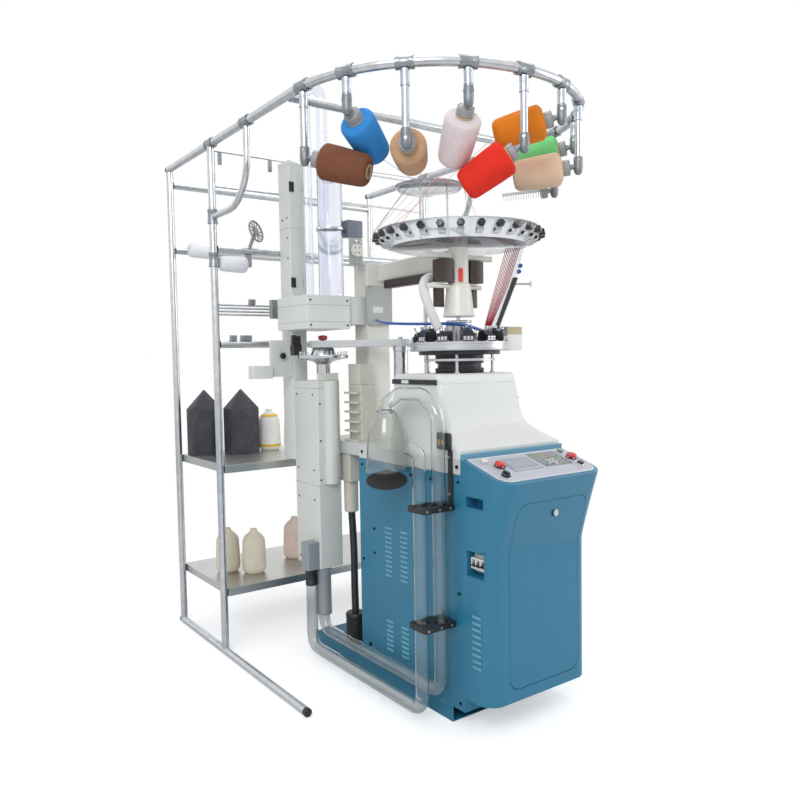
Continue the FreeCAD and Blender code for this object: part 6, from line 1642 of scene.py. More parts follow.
dial.turned(HEAD_AXIS, (0, 0, 1), [(0.0, 1.4444), (0.048, 1.4444), (0.0504, 1.4462), (0.0504, 1.45), (0.044, 1.4536),
            (0.02, 1.4539), (0.0096, 1.456), (0.0096, 1.5796), (0.0, 1.5796)], 84)
dial.made("dial_steel", cam_steel, "dial_plate", ["dial"], crease=30)
ribs, rib_places = Form(), []
ribs.block(0.024, 0.05, -0.0005, 0.0005, 1.45, 1.4537)
for k in range(42):
    rib_places.append((HEAD_AXIS, (0.0, 0.0, 2 * pi * k / 42)))
copied("dial_tricks", ribs.mesh("dial_trick"), rib_places, needle_steel, "dial_plate")

# ------------------------------------------------------------------ head housing
# A cream enamelled casting holds the dial's shaft; white cross bars, dark
# stepper drives, a red cap and a brown lamp bar are fixed to it.
enamel_cream = finish("cream_enamel", shade(226, 226, 218), gloss=0.34, uneven=0.06, stain=0.14,
                      stain_colour=shade(176, 170, 150), patch=0.07, grain=0.0016, relief=0.1, coat=0.15)
drive_dark = finish("dark_drive_casting", shade(58, 44, 42), gloss=0.34, metal=0.2, uneven=0.35, stain=0.4,
                    stain_colour=shade(104, 88, 78), patch=0.03, grain=0.0012, relief=0.2)
housing_cone = Form()
housing_cone.turned(HEAD_AXIS, (0, 0, 1), [(0.0104, 1.4684), (0.06, 1.4684), (0.0614, 1.47), (0.0614, 1.476),
                    (0.059, 1.482), (0.054, 1.53), (0.0478, 1.584), (0.044, 1.596), (0.0398, 1.6), (0.0396, 1.7348),
                    (0.0104, 1.7348)], 72, ring=True)
housing_cone.made("head_housing_cast", enamel_cream, stands_for=["head_housing"], crease=32)
tubes("head_cross_bars", [[(-0.0995, -0.45, 1.585), (0.1645, -0.45, 1.585)]], 0.0088, enamel_cream, sides=24)
drives = Form()
for x0, x1 in ((-0.0595, 0.0085), (0.0915, 0.1595)):
    drives.pushed([(x, y, 1.6004) for x, y in soft_corners(x0, x1, -0.4775, -0.4225, 0.006, 4)], (0, 0, 0.086))
    for k in range(6):
        z = 1.61 + 0.012 * k
        drives.pushed([(x, y, z) for x, y in soft_corners(x0 - 0.0003, x1 + 0.0003, -0.4779, -0.4221, 0.006, 4)],
                      (0, 0, 0.003))
for x0, x1 in ((-0.0575, -0.0135), (0.1135, 0.1575)):
    drives.pushed([(x, y, 1.596) for x, y in soft_corners(x0, x1, -0.44, -0.423, 0.003, 3)], (0, 0, -0.09))
eased(drives.made("stepper_drives", drive_dark, stands_for=["dark_drives"]), 0.0007)
crossbars = Form()
for x0, x1 in ((-0.1195, 0.0105), (0.0895, 0.2195)):
    crossbars.pushed([(x0, y, z) for y, z in soft_corners(-0.4615, -0.4385, 1.6904, 1.7116, 0.004, 4)],
                     (x1 - x0, 0, 0))
eased(crossbars.made("crossbars_cream", enamel_cream), 0.0006)
cap = Form()
cap_ahead = Vector((-0.5, -cos(pi / 6), 0.0))
cap_side = Vector((cos(pi / 6), -0.5, 0.0))
cap_line = [(-0.0088, 0.0), (0.0088, 0.0), (0.0088, 0.03)]
cap_line += [(0.0088 * cos(pi * k / 8), 0.043 + 0.0086 * sin(pi * k / 8)) for k in range(9)] + [(-0.0088, 0.03)]
cap_root = HEAD_AXIS + cap_ahead * 0.0388 + Vector((0, 0, 1.6022))
cap.pushed([cap_root + cap_side * a + Vector((0, 0, b)) for a, b in cap_line], cap_ahead * 0.0125)
cap_red = finish("red_moulded_cap", shade(226, 62, 48), gloss=0.3, uneven=0.08, stain=0.12, patch=0.01, coat=0.2)
eased(cap.made("red_cap", cap_red, stands_for=["head_cap"]), 0.0022, 3)
lamp_bar = Form()
lamp_bar.pushed([(x, -0.384, z) for x, z in soft_corners(0.0004, 0.0396, 1.6144, 1.6496, 0.004, 4)], (0, 0.373, 0))
eased(lamp_bar.made("lamp_bar_brown", drive_dark), 0.0008)

# ------------------------------------------------------------------ feeder disc
# A blown clear dish hangs over the head with twenty-eight yarn feelers round
# it: white bodies, black hexagonal knobs and bright eyelets on spring wires.


def clear_finish(name, colour, gloss=0.05, bend=1.45, cloud=0.05, veil=0.0, edge=(1.0, 0.85)):
    """Clear moulding or glass, faintly uneven, with painted shade that greys the wall where it is seen edge on."""
    clear, tree, shader = blank_finish(name)
    settled(shader, Transmission_Weight=1.0 - veil, IOR=bend)
    tone = added(tree, "ShaderNodeGroup", node_tree=UNEVEN, Colour=(*colour, 1.0),
                 Stain_colour=(*(part * 0.8 for part in colour), 1.0), Patch_size=0.08, Unevenness=cloud,
                 Staining=0.3, Gloss=gloss, Gloss_change=0.06, Grain_size=0.03)
    bump = added(tree, "ShaderNodeBump", Strength=0.12, Distance=0.001)
    # Layer Weight greys the colour towards the outline: painted shade at the edges of the clear wall.
    slant = added(tree, "ShaderNodeLayerWeight", Blend=0.3)
    painted_edge_shade = added(tree, "ShaderNodeMapRange", From_Min=0.25)
    painted_edge_shade.inputs["To Min"].default_value, painted_edge_shade.inputs["To Max"].default_value = edge
    edge_shaded_colour = added(tree, "ShaderNodeVectorMath", operation="SCALE")
    join_up(
        tree,
        (slant, "Facing", painted_edge_shade, "Value"),
        (painted_edge_shade, "Result", edge_shaded_colour, "Scale"),
        (tone, "Colour", edge_shaded_colour, 0),
        (edge_shaded_colour, "Vector", shader, "Base Color"),
        (tone, "Roughness", shader, "Roughness"),
        (tone, "Relief", bump, "Height"),
        (bump, "Normal", shader, "Normal"),
    )
    return clear


dish_clear = clear_finish("clear_grey_dish", shade(232, 235, 238), 0.08, 1.4, 0.12, 0.07)
FEED_FOOT = HEAD_AXIS + Vector((0.0, 0.0, 1.735))
dish = Form()
dish.turned(FEED_FOOT, (0, 0, 1), [(0.0, 0.0002), (0.261, 0.0002), (0.264, 0.002), (0.312, 0.064), (0.3124, 0.0656),
            (0.3104, 0.0658), (0.3086, 0.0644), (0.2612, 0.0042), (0.0, 0.004)], 112)
dish.made("feeder_dish_clear", dish_clear, stands_for=["feeder_disc"], crease=40)
guide_plate = Form()
guide_plate.turned((0.03, -0.3, 1.996), (0, 0, 1), [(0.0, 0.0002), (0.138, 0.0002), (0.1394, 0.0012),
                   (0.1394, 0.003), (0.138, 0.0038), (0.0, 0.0038)], 72)
guide_plate.turned((0.03, -0.3, 1.9962), (0, 0, -1), [(0.125, 0.0), (0.1294, 0.0), (0.13, 0.008), (0.127, 0.012),
                   (0.1256, 0.008)], 72, ring=True)
guide_plate.made("yarn_guide_plate", dish_clear, crease=40)
stay_runs = [[(x, -0.33, 1.7392), (x, -0.33, 1.9958)] for x in (-0.04, 0.1)]
tubes("guide_plate_stays", stay_runs, 0.0047, zinc_tube, sides=16)
unit_places = []
for k in range(28):
    a = 2 * pi * k / 28
    unit_places.append((FEED_FOOT + Vector((0.272 * cos(a), 0.272 * sin(a), 0.012)), (0.0, 0.0, a)))
unit_white = finish("white_moulded_unit", shade(214, 216, 216), gloss=0.35, uneven=0.1, stain=0.25,
                    stain_colour=shade(150, 152, 156), patch=0.01, grain=0.001, relief=0.1, coat=0.1)
unit_body = Form()
unit_body.pushed([(x, -0.0118, z) for x, z in ((0.0014, 0.0002), (0.025, 0.0002), (0.033, 0.004), (0.036, 0.02),
                 (0.04, 0.03), (0.048, 0.0428), (0.034, 0.0428))], (0, 0.0236, 0))
eased(copied("feeler_bodies", unit_body.mesh("feeler_body"), unit_places, unit_white, stands_for=["feeder_units"]),
      0.0012)
unit_knob = Form()
unit_knob.turned((0.036, 0, 0.027), (1, 0, 0.22), [(0.0, 0.0), (0.009, 0.0), (0.009, 0.006), (0.0138, 0.007),
                 (0.0146, 0.009), (0.0146, 0.023), (0.0126, 0.0262), (0.0, 0.0266)], 6)
unit_knob.block(0.015, 0.03, -0.006, 0.006, 0.0424, 0.0429)
for y in (-0.0124, 0.0084):
    unit_knob.pushed([(x, y, z) for x, z in ((0.018, 0.006), (0.033, 0.006), (0.036, 0.017), (0.024, 0.017))],
                     (0, 0.004, 0))
eased(copied("feeler_knobs", unit_knob.mesh("feeler_knob"), unit_places, black_gloss), 0.0008)
eyelet = Form()
eyelet.turned((0.031, 0.0, 0.012), (1, 0, -0.4), [(0.0032, 0.0), (0.0052, 0.001), (0.0056, 0.003), (0.0046, 0.0046),
              (0.003, 0.003)], 16, ring=True)
eyelet.turned((0.033, -0.009, 0.008), (0.1, 1, 0), rod_line(0.0011, 0.018), 8)
eyelet.turned((0.033, 0.009, 0.006), (0.25, 0.1, 1), rod_line(0.0011, 0.03), 8)
eyelet.turned((0.034, -0.01, 0.006), (0.25, -0.1, 1), rod_line(0.0009, 0.03), 8)
copied("feeler_eyelets", eyelet.mesh("feeler_eyelet"), unit_places, polished_chrome)

# ------------------------------------------------------------------ rear column
# A cream box column on the bed's tail carries the beam over the head, the
# grey control box with a blank plate, and the bar of the elastane feeder.
column_box = Form()
column_box.pushed([(x, y, 0.9554) for x, y in soft_corners(-0.0398, 0.0798, 0.0602, 0.1698, 0.01, 6)], (0, 0, 0.7742))
eased(column_box.made("rear_column_cream", enamel_cream, stands_for=["rear_column"]), 0.0016)
beams = Form()
beams.pushed([(x, -0.41, z) for x, z in soft_corners(0.0202, 0.0798, 1.6504, 1.7296, 0.008, 5)], (0, 0.4702, 0))
beams.block(-0.0518, -0.0402, 0.0802, 0.0998, 1.701, 1.729)
eased(beams.made("head_beam_cream", enamel_cream), 0.0014)
box_grey = finish("light_grey_control_box", shade(178, 182, 180), gloss=0.42, uneven=0.05, stain=0.12, patch=0.06,
                  grain=0.0014, relief=0.1, coat=0.05)
control = Form()
control.pushed([(x, 0.0404, z) for x, z in soft_corners(-0.0498, 0.0798, 1.4602, 1.6298, 0.004, 4)], (0, 0.0194, 0))
eased(control.made("control_box_grey", box_grey), 0.0012)
label = Form()
label.pushed([(x, 0.0404, z) for x, z in soft_corners(-0.024, 0.029, 1.512, 1.538, 0.001, 2)], (0, -0.0003, 0))
label.made("control_box_blank_plate", plate_white)
box_screws = [(Vector((x, 0.0403, z)), aimed((0, -1, 0))) for x in (-0.044, 0.074) for z in (1.466, 1.624)]
copied("control_box_screws", screw_head(0.0028, 0.0016), box_screws, bolt_steel)

# ------------------------------------------------------------------ pin comb
# The ninth arm holds no cone but a pale moulded bar with hanging steel pins
# over which spare yarns are laid.
comb_spot, comb_way = HOLDERS[8]
comb_level = comb_way.cross(Vector((0, 0, 1))).normalized()
comb_rise = comb_level.cross(comb_way).normalized()
if comb_rise.z < 0:
    comb_rise = -comb_rise
comb_root = comb_spot + comb_way * 0.0462
comb_bar = Form()
comb_bar.pushed([comb_root + comb_level * a + comb_rise * b for a, b in soft_corners(-0.0068, 0.0068, 0.0002, 0.0118,
                0.002, 3)], comb_way * 0.1645)
eased(comb_bar.made("pin_comb_bar", cover_white), 0.0006)
comb_pins = Form()
for k in range(15):
    comb_pins.turned(comb_root + comb_way * (0.012 + 0.0106 * k) + comb_rise * 0.0004, -comb_rise,
                     [(0.0, 0.0), (0.0012, 0.0), (0.0012, 0.021), (0.0004, 0.025), (0.0, 0.0252)], 8)
comb_pins.made("pin_comb_pins", needle_steel)

# ------------------------------------------------------------------ elastane feeder
# A blue-grey moulded unit with a white wheel measures the elastane yarn.
feeder_grey = finish("blue_grey_feeder", shade(112, 120, 134), gloss=0.36, uneven=0.15, stain=0.2, patch=0.03,
                     grain=0.0012, relief=0.1, coat=0.1)
unit = Form()
unit.pushed([(x, y, 1.838) for x, y in soft_corners(-0.1276, -0.0524, 0.0654, 0.1146, 0.004, 4)], (0, 0, 0.0716))
eased(unit.made("elastane_motor", feeder_grey, stands_for=["elastic_feeder"]), 0.0012)
face_plate = Form()
face_plate.pushed([(x, y, 1.7004) for x, y in soft_corners(-0.1276, -0.0524, 0.07, 0.1146, 0.004, 4)], (0, 0, 0.1372))
face_plate.block(-0.124, -0.056, 0.0654, 0.0702, 1.715, 1.834)
face_hole = Form()
face_hole.turned((-0.09, 0.092, 1.78), (0, -1, 0), rod_line(0.0064, 0.04), 24)
face_mesh = carved(face_plate.mesh("elastane_plate"), ("DIFFERENCE", face_hole.mesh("stem_hole")))
eased(piece("elastane_plate", face_mesh, box_grey), 0.0008)
measuring = Form()
measuring.turned((-0.09, 0.085, 1.78), (0, -1, 0), [(0.0, 0.0), (0.0058, 0.0), (0.0058, 0.0222), (0.0272, 0.0222),
                 (0.0278, 0.0236), (0.0262, 0.0262), (0.0262, 0.031), (0.0278, 0.0336), (0.0278, 0.0352),
                 (0.024, 0.0356), (0.022, 0.033), (0.008, 0.033), (0.007, 0.0358), (0.0, 0.0358)], 48)
wheel_holes = Form()
for k in range(4):
    a = pi / 4 + pi / 2 * k
    wheel_holes.turned((-0.09 + 0.0145 * cos(a), 0.066, 1.78 + 0.0145 * sin(a)), (0, -1, 0), rod_line(0.0042, 0.02),
                       16)
wheel_mesh = carved(measuring.mesh("measuring_wheel"), ("DIFFERENCE", wheel_holes.mesh("wheel_holes")))
eased(piece("measuring_wheel_white", wheel_mesh, white_gloss, "measuring_wheel", ["feeder_wheel"]), 0.0004)
hooks = Form()
for z in (1.712, 1.728, 1.82):
    hooks.turned((-0.098, 0.0656, z), (0, -1, 0), [(0.0, 0.0), (0.0034, 0.0), (0.0034, 0.009), (0.005, 0.01),
                 (0.005, 0.014), (0.0, 0.0144)], 14)
    hooks.turned((-0.074, 0.0656, z - 0.004), (0, -1, 0), [(0.0, 0.0), (0.0026, 0.0), (0.0026, 0.012),
                 (0.0, 0.0124)], 12)
hooks.made("elastane_guides", polished_chrome)

# ------------------------------------------------------------------ yarn ramp
# A clear sloped plate with a black toothed edge leads the yarns down to the
# needles; red yarn runs beside it and a white wheel turns on its end.
ramp_ahead = Vector((VIEW_RIGHT.x, VIEW_RIGHT.y, 0.0)).normalized()
ramp_across = Vector((0, 0, 1)).cross(ramp_ahead)


def on_ramp(reach, z, aside=0.0):
    return HEAD_AXIS + ramp_ahead * reach + Vector((0, 0, z)) + ramp_across * aside


ramp_body = Form()
ramp_line = [(0.1122, 1.4244), (0.154, 1.4244), (0.226, 1.616), (0.256, 1.7346), (0.219, 1.7346)]
ramp_body.pushed([on_ramp(x, z, -0.0034) for x, z in ramp_line], ramp_across * 0.0068)
eased(ramp_body.made("yarn_ramp_clear", dish_clear), 0.0006)
rack = Form()
rack_line = [(0.14, 1.4244), (0.1562, 1.4244)]
for k in range(38):
    t0, t1 = k / 38, (k + 0.55) / 38
    rack_line.append((0.156 + 0.074 * t0 + 0.0052, 1.427 + 0.19 * t0))
    rack_line.append((0.156 + 0.074 * t1, 1.427 + 0.19 * t1))
rack_line += [(0.2296, 1.6176), (0.212, 1.6176)]
rack.pushed([on_ramp(x, z, -0.0039) for x, z in rack_line], ramp_across * 0.0078)
rack.made("yarn_ramp_teeth", black_plastic, stands_for=["yarn_ramp"], crease=20)
comb_plate = Form()
for k in range(38):
    t = k / 38
    comb_plate.pushed([on_ramp(0.133 + 0.074 * t, 1.429 + 0.19 * t, -0.0039), on_ramp(0.142 + 0.074 * t,
                      1.429 + 0.19 * t, -0.0039), on_ramp(0.142 + 0.074 * t, 1.4312 + 0.19 * t, -0.0039),
                      on_ramp(0.133 + 0.074 * t, 1.4312 + 0.19 * t, -0.0039)], ramp_across * 0.0078)
comb_plate.made("yarn_ramp_reed", needle_steel)
ramp_axle = Form()
axle_spot = on_ramp(0.156 + 0.074 * 0.8, 1.592)
ramp_axle.turned(axle_spot, ramp_ahead, [(0.0, 0.0002), (0.0039, 0.0002), (0.0039, 0.0715), (0.0, 0.0718)], 20)
ramp_axle.made("ramp_axle", box_grey)
ramp_wheel = Form()
ramp_wheel.turned(axle_spot + ramp_ahead * 0.064, ramp_ahead, [(0.0041, 0.0002), (0.0112, 0.0002), (0.0119, 0.001),
                  (0.0104, 0.0026), (0.0104, 0.0034), (0.0119, 0.005), (0.0112, 0.0058), (0.0041, 0.0058)], 32,
                  ring=True)
ramp_wheel.made("ramp_wheel_white", white_gloss, "guide_wheel", ["ramp_wheel"], crease=30)
red_runs = []
for k in range(9):
    red_runs.append([on_ramp(0.1 + 0.003 * k, 1.43, -0.006), on_ramp(0.146 + 0.0058 * k, 1.59, -0.01),
                    on_ramp(0.186 + 0.0066 * k, 1.73, -0.014)])
tubes("red_yarns", red_runs, 0.0017, finish("red_lead_yarn", shade(160, 24, 48), gloss=0.8, uneven=0.4, stain=0.4,
      patch=0.01), sides=6)
blue_knob = Form()
for z in (1.64, 1.662):
    blue_knob.turned(on_ramp(0.236 + (z - 1.64) * 0.25, z, -0.01), ramp_across,
                     [(0.0, 0.0), (0.0086, 0.0), (0.0086, 0.018), (0.0, 0.0182)], 16)
eased(blue_knob.made("ramp_blue_rollers", fitting_blue), 0.0006)

# ------------------------------------------------------------------ suction hose
# A white ribbed hose draws lint from the needles up to the lamp bar.


def cord_line(name, spots, thickness=0.0, fineness=12):
    """The smooth line of a cord's route, with its round section when a thickness is given."""
    line = bpy.data.curves.new(name, "CURVE")
    line.dimensions = "3D"
    line.resolution_u = fineness
    line.bevel_depth = thickness / 2
    line.bevel_resolution = 3
    line.use_fill_caps = True
    run = line.splines.new("NURBS")
    run.points.add(len(spots) - 1)
    for point, spot in zip(run.points, spots):
        point.co = (*spot, 1.0)
    run.order_u = 3
    run.use_endpoint_u = True
    return line


def followed(name, spots, fineness):
    """Points read along a cord's smooth line."""
    guide = into_scene(bpy.data.objects.new(name, cord_line(name, spots, 0.0, fineness)))
    bpy.context.view_layer.update()
    mesh = bpy.data.meshes.new_from_object(guide.evaluated_get(bpy.context.evaluated_depsgraph_get()))
    spots = [Vector(vertex.co) for vertex in mesh.vertices]
    bpy.data.objects.remove(guide)
    return spots


def ribbed_hose(form, route, radius, pitch, depth):
    """A corrugated hose along a route, as rings square to it."""
    sides, length = 24, 0.0
    hint = Vector((0.3, 0.9, 0.1))
    loops = []
    for k, spot in enumerate(route):
        ahead = (route[min(k + 1, len(route) - 1)] - route[max(k - 1, 0)]).normalized()
        if k:
            length += (spot - route[k - 1]).length
        u = (hint - ahead * hint.dot(ahead)).normalized()
        hint = u
        v = ahead.cross(u)
        r = radius - depth * (0.5 + 0.5 * cos(2 * pi * length / pitch))
        loops.append([spot + (u * cos(2 * pi * s / sides) + v * sin(2 * pi * s / sides)) * r for s in range(sides)])
    faces = [list(range(sides)), list(range((len(loops) - 1) * sides, len(loops) * sides))]
    for k in range(len(loops) - 1):
        for s in range(sides):
            t = (s + 1) % sides
            faces.append([k * sides + s, k * sides + t, (k + 1) * sides + t, (k + 1) * sides + s])
    form.add([spot for loop in loops for spot in loop], faces)


hose = Form()
hose_route = followed("suction_hose_route", ((0.0, -0.366, 1.631), (-0.05, -0.371, 1.625), (-0.1, -0.415, 1.58),
                      (-0.104, -0.442, 1.53), (-0.092, -0.456, 1.48), (-0.072, -0.474, 1.417)), 60)
ribbed_hose(hose, hose_route, 0.0184, 0.0048, 0.0018)
hose_white = finish("white_ribbed_hose", shade(222, 222, 220), gloss=0.45, uneven=0.08, stain=0.3,
                    stain_colour=shade(168, 166, 158), patch=0.02, grain=0.001, relief=0.05)
suction_hose = hose.made("suction_hose_ribbed", hose_white, stands_for=["suction_hose"], crease=60)

# ------------------------------------------------------------------ toe-closing tower
# Folded white housings stand behind the cabinet: a box with a half-round
# cover, a tall back column, two boxes above, grey ducts and a side bracket.
tower_white = finish("white_powder_coat", shade(216, 219, 214), gloss=0.4, uneven=0.05, stain=0.12,
                     stain_colour=shade(170, 176, 182), patch=0.14, grain=0.0016, relief=0.1, coat=0.08)
duct_grey = finish("grey_moulded_duct", shade(150, 156, 162), gloss=0.42, uneven=0.1, stain=0.2, patch=0.06,
                   grain=0.0016, relief=0.1)


def plan_block(form, x0, x1, y0, y1, z0, z1, radius, steps=4):
    """An upright box with round vertical edges."""
    form.pushed([(x, y, z0) for x, y in soft_corners(x0, x1, y0, y1, radius, steps)], (0, 0, z1 - z0))


tower = Form()
plan_block(tower, -0.2746, -0.1604, 0.1104, 0.3196, 0.4004, 1.2196, 0.006)
plan_block(tower, -0.2746, -0.2004, 0.32, 0.4226, 0.8604, 2.179, 0.005)
tower.pushed([(x, 0.32, z) for x, z in ((-0.2746, 2.179), (-0.2004, 2.179), (-0.2004, 2.186), (-0.2746, 2.199))],
             (0, 0.1026, 0))
plan_block(tower, -0.3466, -0.1352, 0.0504, 0.3196, 1.4404, 1.5816, 0.005)
plan_block(tower, -0.1348, -0.0404, 0.0704, 0.2596, 1.4604, 1.5816, 0.005)
plan_block(tower, -0.2696, -0.1654, 0.1104, 0.1186, 1.22, 1.2516, 0.002)
eased(tower.made("tower_housings_white", tower_white, stands_for=["tower_housings"]), 0.0016)
half_line = []
for k in range(25):
    a = pi + pi * k / 24
    half_line.append((-0.2075 + 0.0322 * cos(a), 0.1102 + 0.0322 * sin(a), 0.7704))
half_cover = Form()
half_cover.pushed(half_line, (0, 0, 0.4492))
eased(half_cover.made("half_round_cover", tower_white), 0.0008)
tower_seams = Form()
for z in (0.764, 1.186):
    tower_seams.block(-0.2749, -0.1601, 0.1101, 0.3199, z, z + 0.0014)
for z in (1.54, 1.47):
    tower_seams.block(-0.3469, -0.135, 0.0501, 0.3199, z, z + 0.0012)
tower_seams.block(-0.2749, -0.2001, 0.32, 0.4229, 1.9, 1.9014)
seam_grey = finish("seam_shadow_grey", shade(128, 134, 140), gloss=0.5, uneven=0.15, stain=0.2, patch=0.02)
tower_seams.made("tower_seams", seam_grey)
dots = []
for y in (0.15, 0.29):
    for z in (0.43, 0.7, 0.83, 1.16):
        dots.append((Vector((-0.2746, y, z)), aimed((-1, 0, 0))))
for x in (-0.262, -0.172):
    for z in (0.79, 0.96, 1.12):
        dots.append((Vector((x, 0.1104, z)), aimed((0, -1, 0))))
for x, z in ((-0.33, 1.56), (-0.33, 1.456), (-0.15, 1.56), (-0.15, 1.456)):
    dots.append((Vector((x, 0.0504, z)), aimed((0, -1, 0))))
for y, z in ((0.345, 1.947), (0.388, 1.942), (0.343, 1.858), (0.343, 1.768)):
    dots.append((Vector((-0.2746, y, z)), aimed((-1, 0, 0))))
copied("tower_black_screws", screw_head(0.0042, 0.0022), dots, black_hex)
hinges = Form()
for z in (1.636, 2.06):
    hinges.block(-0.2744, -0.251, 0.3166, 0.3204, z, z + 0.044)
    hinges.turned((-0.269, 0.316, z - 0.0006), (0, 0, 1), rod_line(0.0032, 0.0452), 14)
eased(hinges.made("column_hinges_black", black_plastic), 0.0006)
ducts = Form()
ducts.turned((-0.24, 0.15, 0.1902), (0, 0, 1), [(0.0, 0.0), (0.032, 0.0), (0.0347, 0.003), (0.0347, 0.024),
             (0.0336, 0.026), (0.0336, 0.18), (0.0347, 0.182), (0.0347, 0.2094), (0.0, 0.2094)], 40)
plan_block(ducts, -0.3326, -0.275, 0.1182, 0.1818, 0.4004, 0.5196, 0.006)
eased(ducts.made("grey_ducts", duct_grey), 0.001)
bracket = Form()
bracket.block(-0.3818, -0.2748, 0.3204, 0.3396, 1.2374, 1.3996)
bracket.block(-0.3818, -0.31, 0.303, 0.3204, 1.2374, 1.2424)
plan_block(bracket, -0.4796, -0.3822, 0.3004, 0.3496, 1.2314, 1.2876, 0.004)
eased(bracket.made("white_side_bracket", tower_white), 0.0012)
side_knob = Form()
side_knob.turned((-0.33, 0.3202, 1.33), (0, -1, 0), [(0.0, 0.0), (0.006, 0.0), (0.006, 0.006), (0.013, 0.007),
                 (0.0138, 0.01), (0.0138, 0.016), (0.011, 0.018), (0.0, 0.0184)], 28)
eased(side_knob.made("bracket_black_knob", black_plastic), 0.0006)

# ------------------------------------------------------------------ clear sock tubes
# The sock rises in a clear cylinder held by a black clamp ring; two clear
# riser tubes join in one bend over it. All are polished acrylic.
tube_clear = clear_finish("clear_acrylic_tube", shade(245, 247, 252), 0.05, 1.4, 0.05, 0.0, (1.0, 0.62))


def sleeve(form, route, radius, wall):
    """An open tube along a route, with its wall's thickness."""
    sides, hint, outside, inside = 36, Vector((0.2, 0.3, 0.9)), [], []
    for k, spot in enumerate(route):
        ahead = (route[min(k + 1, len(route) - 1)] - route[max(k - 1, 0)]).normalized()
        if abs(ahead.dot(hint)) > 0.98:
            hint = Vector((0.9, 0.3, 0.1))
        u = (hint - ahead * hint.dot(ahead)).normalized()
        hint = u
        v = ahead.cross(u)
        around = [u * cos(2 * pi * s / sides) + v * sin(2 * pi * s / sides) for s in range(sides)]
        outside.append([spot + way * radius for way in around])
        inside.append([spot + way * (radius - wall) for way in around])
    loops = outside + inside[::-1]
    faces = []
    for k in range(len(loops)):
        low, high = k * sides, (k + 1) % len(loops) * sides
        faces += [[low + s, low + (s + 1) % sides, high + (s + 1) % sides, high + s] for s in range(sides)]
    form.add([spot for loop in loops for spot in loop], faces)


clear_tubes = Form()
clear_tubes.turned((-0.19, 0.112, 0.0), (0, 0, 1), [(0.051, 1.5824), (0.0538, 1.5824), (0.0538, 2.168),
                   (0.0526, 2.1696), (0.051, 2.169)], 64, ring=True)
riser = [Vector((-0.224, 0.25, 1.5824)), Vector((-0.224, 0.25, 2.464))]
for k in range(1, 16):
    a = pi - pi * k / 16
    riser.append(Vector((-0.182 + 0.042 * cos(a), 0.25, 2.464 + 0.042 * sin(a))))
riser += [Vector((-0.14, 0.25, 2.464)), Vector((-0.14, 0.25, 1.5824))]
sleeve(clear_tubes, riser, 0.0236, 0.0026)
clear_tubes.made("clear_sock_tubes", tube_clear, stands_for=["clear_tubes"], crease=40)
clamp = Form()
clamp.turned((-0.19, 0.112, 1.8622), (0, 0, 1), [(0.0542, 0.0), (0.0604, 0.0), (0.061, 0.001), (0.061, 0.0106),
             (0.0604, 0.0116), (0.0542, 0.0116)], 56, ring=True)
clamp.block(-0.256, -0.249, 0.106, 0.118, 1.863, 1.873)
eased(clamp.made("clamp_ring_steel", polished_chrome), 0.0005)

# ------------------------------------------------------------------ link ring
# Polished steel: a pedestal, the link plate with its pins and a stepped cone,
# a latch block beside it and the ground pivot post of the transfer arm.
link = Form()
link.turned((-0.217, 0.15, 0.0), (0, 0, 1), [(0.0, 1.2204), (0.028, 1.2204), (0.0296, 1.223), (0.0296, 1.29),
            (0.04, 1.3), (0.064, 1.308), (0.108, 1.3154), (0.1094, 1.317), (0.1094, 1.328), (0.108, 1.3298),
            (0.08, 1.33), (0.0576, 1.3302), (0.057, 1.333), (0.052, 1.342), (0.048, 1.356), (0.044, 1.3612),
            (0.0, 1.3614)], 96)
link.turned((0.017, -0.105, 0.0), (0, 0, 1), [(0.0, 0.9554), (0.0336, 0.9554), (0.0336, 0.97), (0.031, 0.973),
            (0.031, 1.34), (0.0336, 1.344), (0.0336, 1.3612), (0.0118, 1.3614), (0.0118, 1.401), (0.0108, 1.4018),
            (0.0, 1.4018)], 48)
link.made("link_ring_steel", cam_steel, stands_for=["link_ring"], crease=28)
pin_places = []
for k in range(36):
    a = 2 * pi * k / 36
    pin_places.append((Vector((-0.217 + 0.102 * cos(a), 0.15 + 0.102 * sin(a), 1.3298)), (0.0, 0.0, a)))
link_pin = Form()
link_pin.turned((0, 0, 0), (0, 0, 1), [(0.0, 0.0), (0.0015, 0.0), (0.0015, 0.012), (0.0006, 0.016), (0.0, 0.0162)], 8)
copied("link_pins", link_pin.mesh("link_pin"), pin_places, needle_steel)
latch = Form()
latch.pushed([(-0.3298, y, z) for y, z in ((0.2052, 1.3304), (0.2398, 1.3304), (0.2398, 1.37), (0.23, 1.382),
             (0.23, 1.4146), (0.214, 1.4146), (0.214, 1.382), (0.2052, 1.374))], (0.0396, 0, 0))
latch.turned((-0.31, 0.222, 1.41), (-1, 0, 0), rod_line(0.009, 0.0196), 20)
eased(latch.made("latch_block", dark_iron), 0.001)

# ------------------------------------------------------------------ transfer arm
# A grey cast arm swings on the post and carries the red star hand wheel.
arm_grey = finish("light_grey_cast_arm", shade(198, 202, 204), gloss=0.36, uneven=0.08, stain=0.15, patch=0.05,
                  grain=0.0018, relief=0.22, coat=0.1)
arm_way = Vector((-0.217 - 0.017, 0.15 + 0.105, 0.0)).normalized()
arm_turn = atan2(arm_way.y, arm_way.x)
arm_line = []
for k in range(19):
    a = arm_turn - pi / 2 + pi * k / 18
    arm_line.append((-0.217 + 0.059 * cos(a), 0.15 + 0.059 * sin(a), 1.3624))
for k in range(19):
    a = arm_turn + pi / 2 + pi * k / 18
    arm_line.append((0.017 + 0.039 * cos(a), -0.105 + 0.039 * sin(a), 1.3624))
arm_holes = Form()
arm_holes.turned((0.017, -0.105, 1.35), (0, 0, 1), rod_line(0.0124, 0.06), 40)
arm_holes.turned((-0.217, 0.15, 1.371), (0, 0, 1), rod_line(0.0084, 0.04), 32)
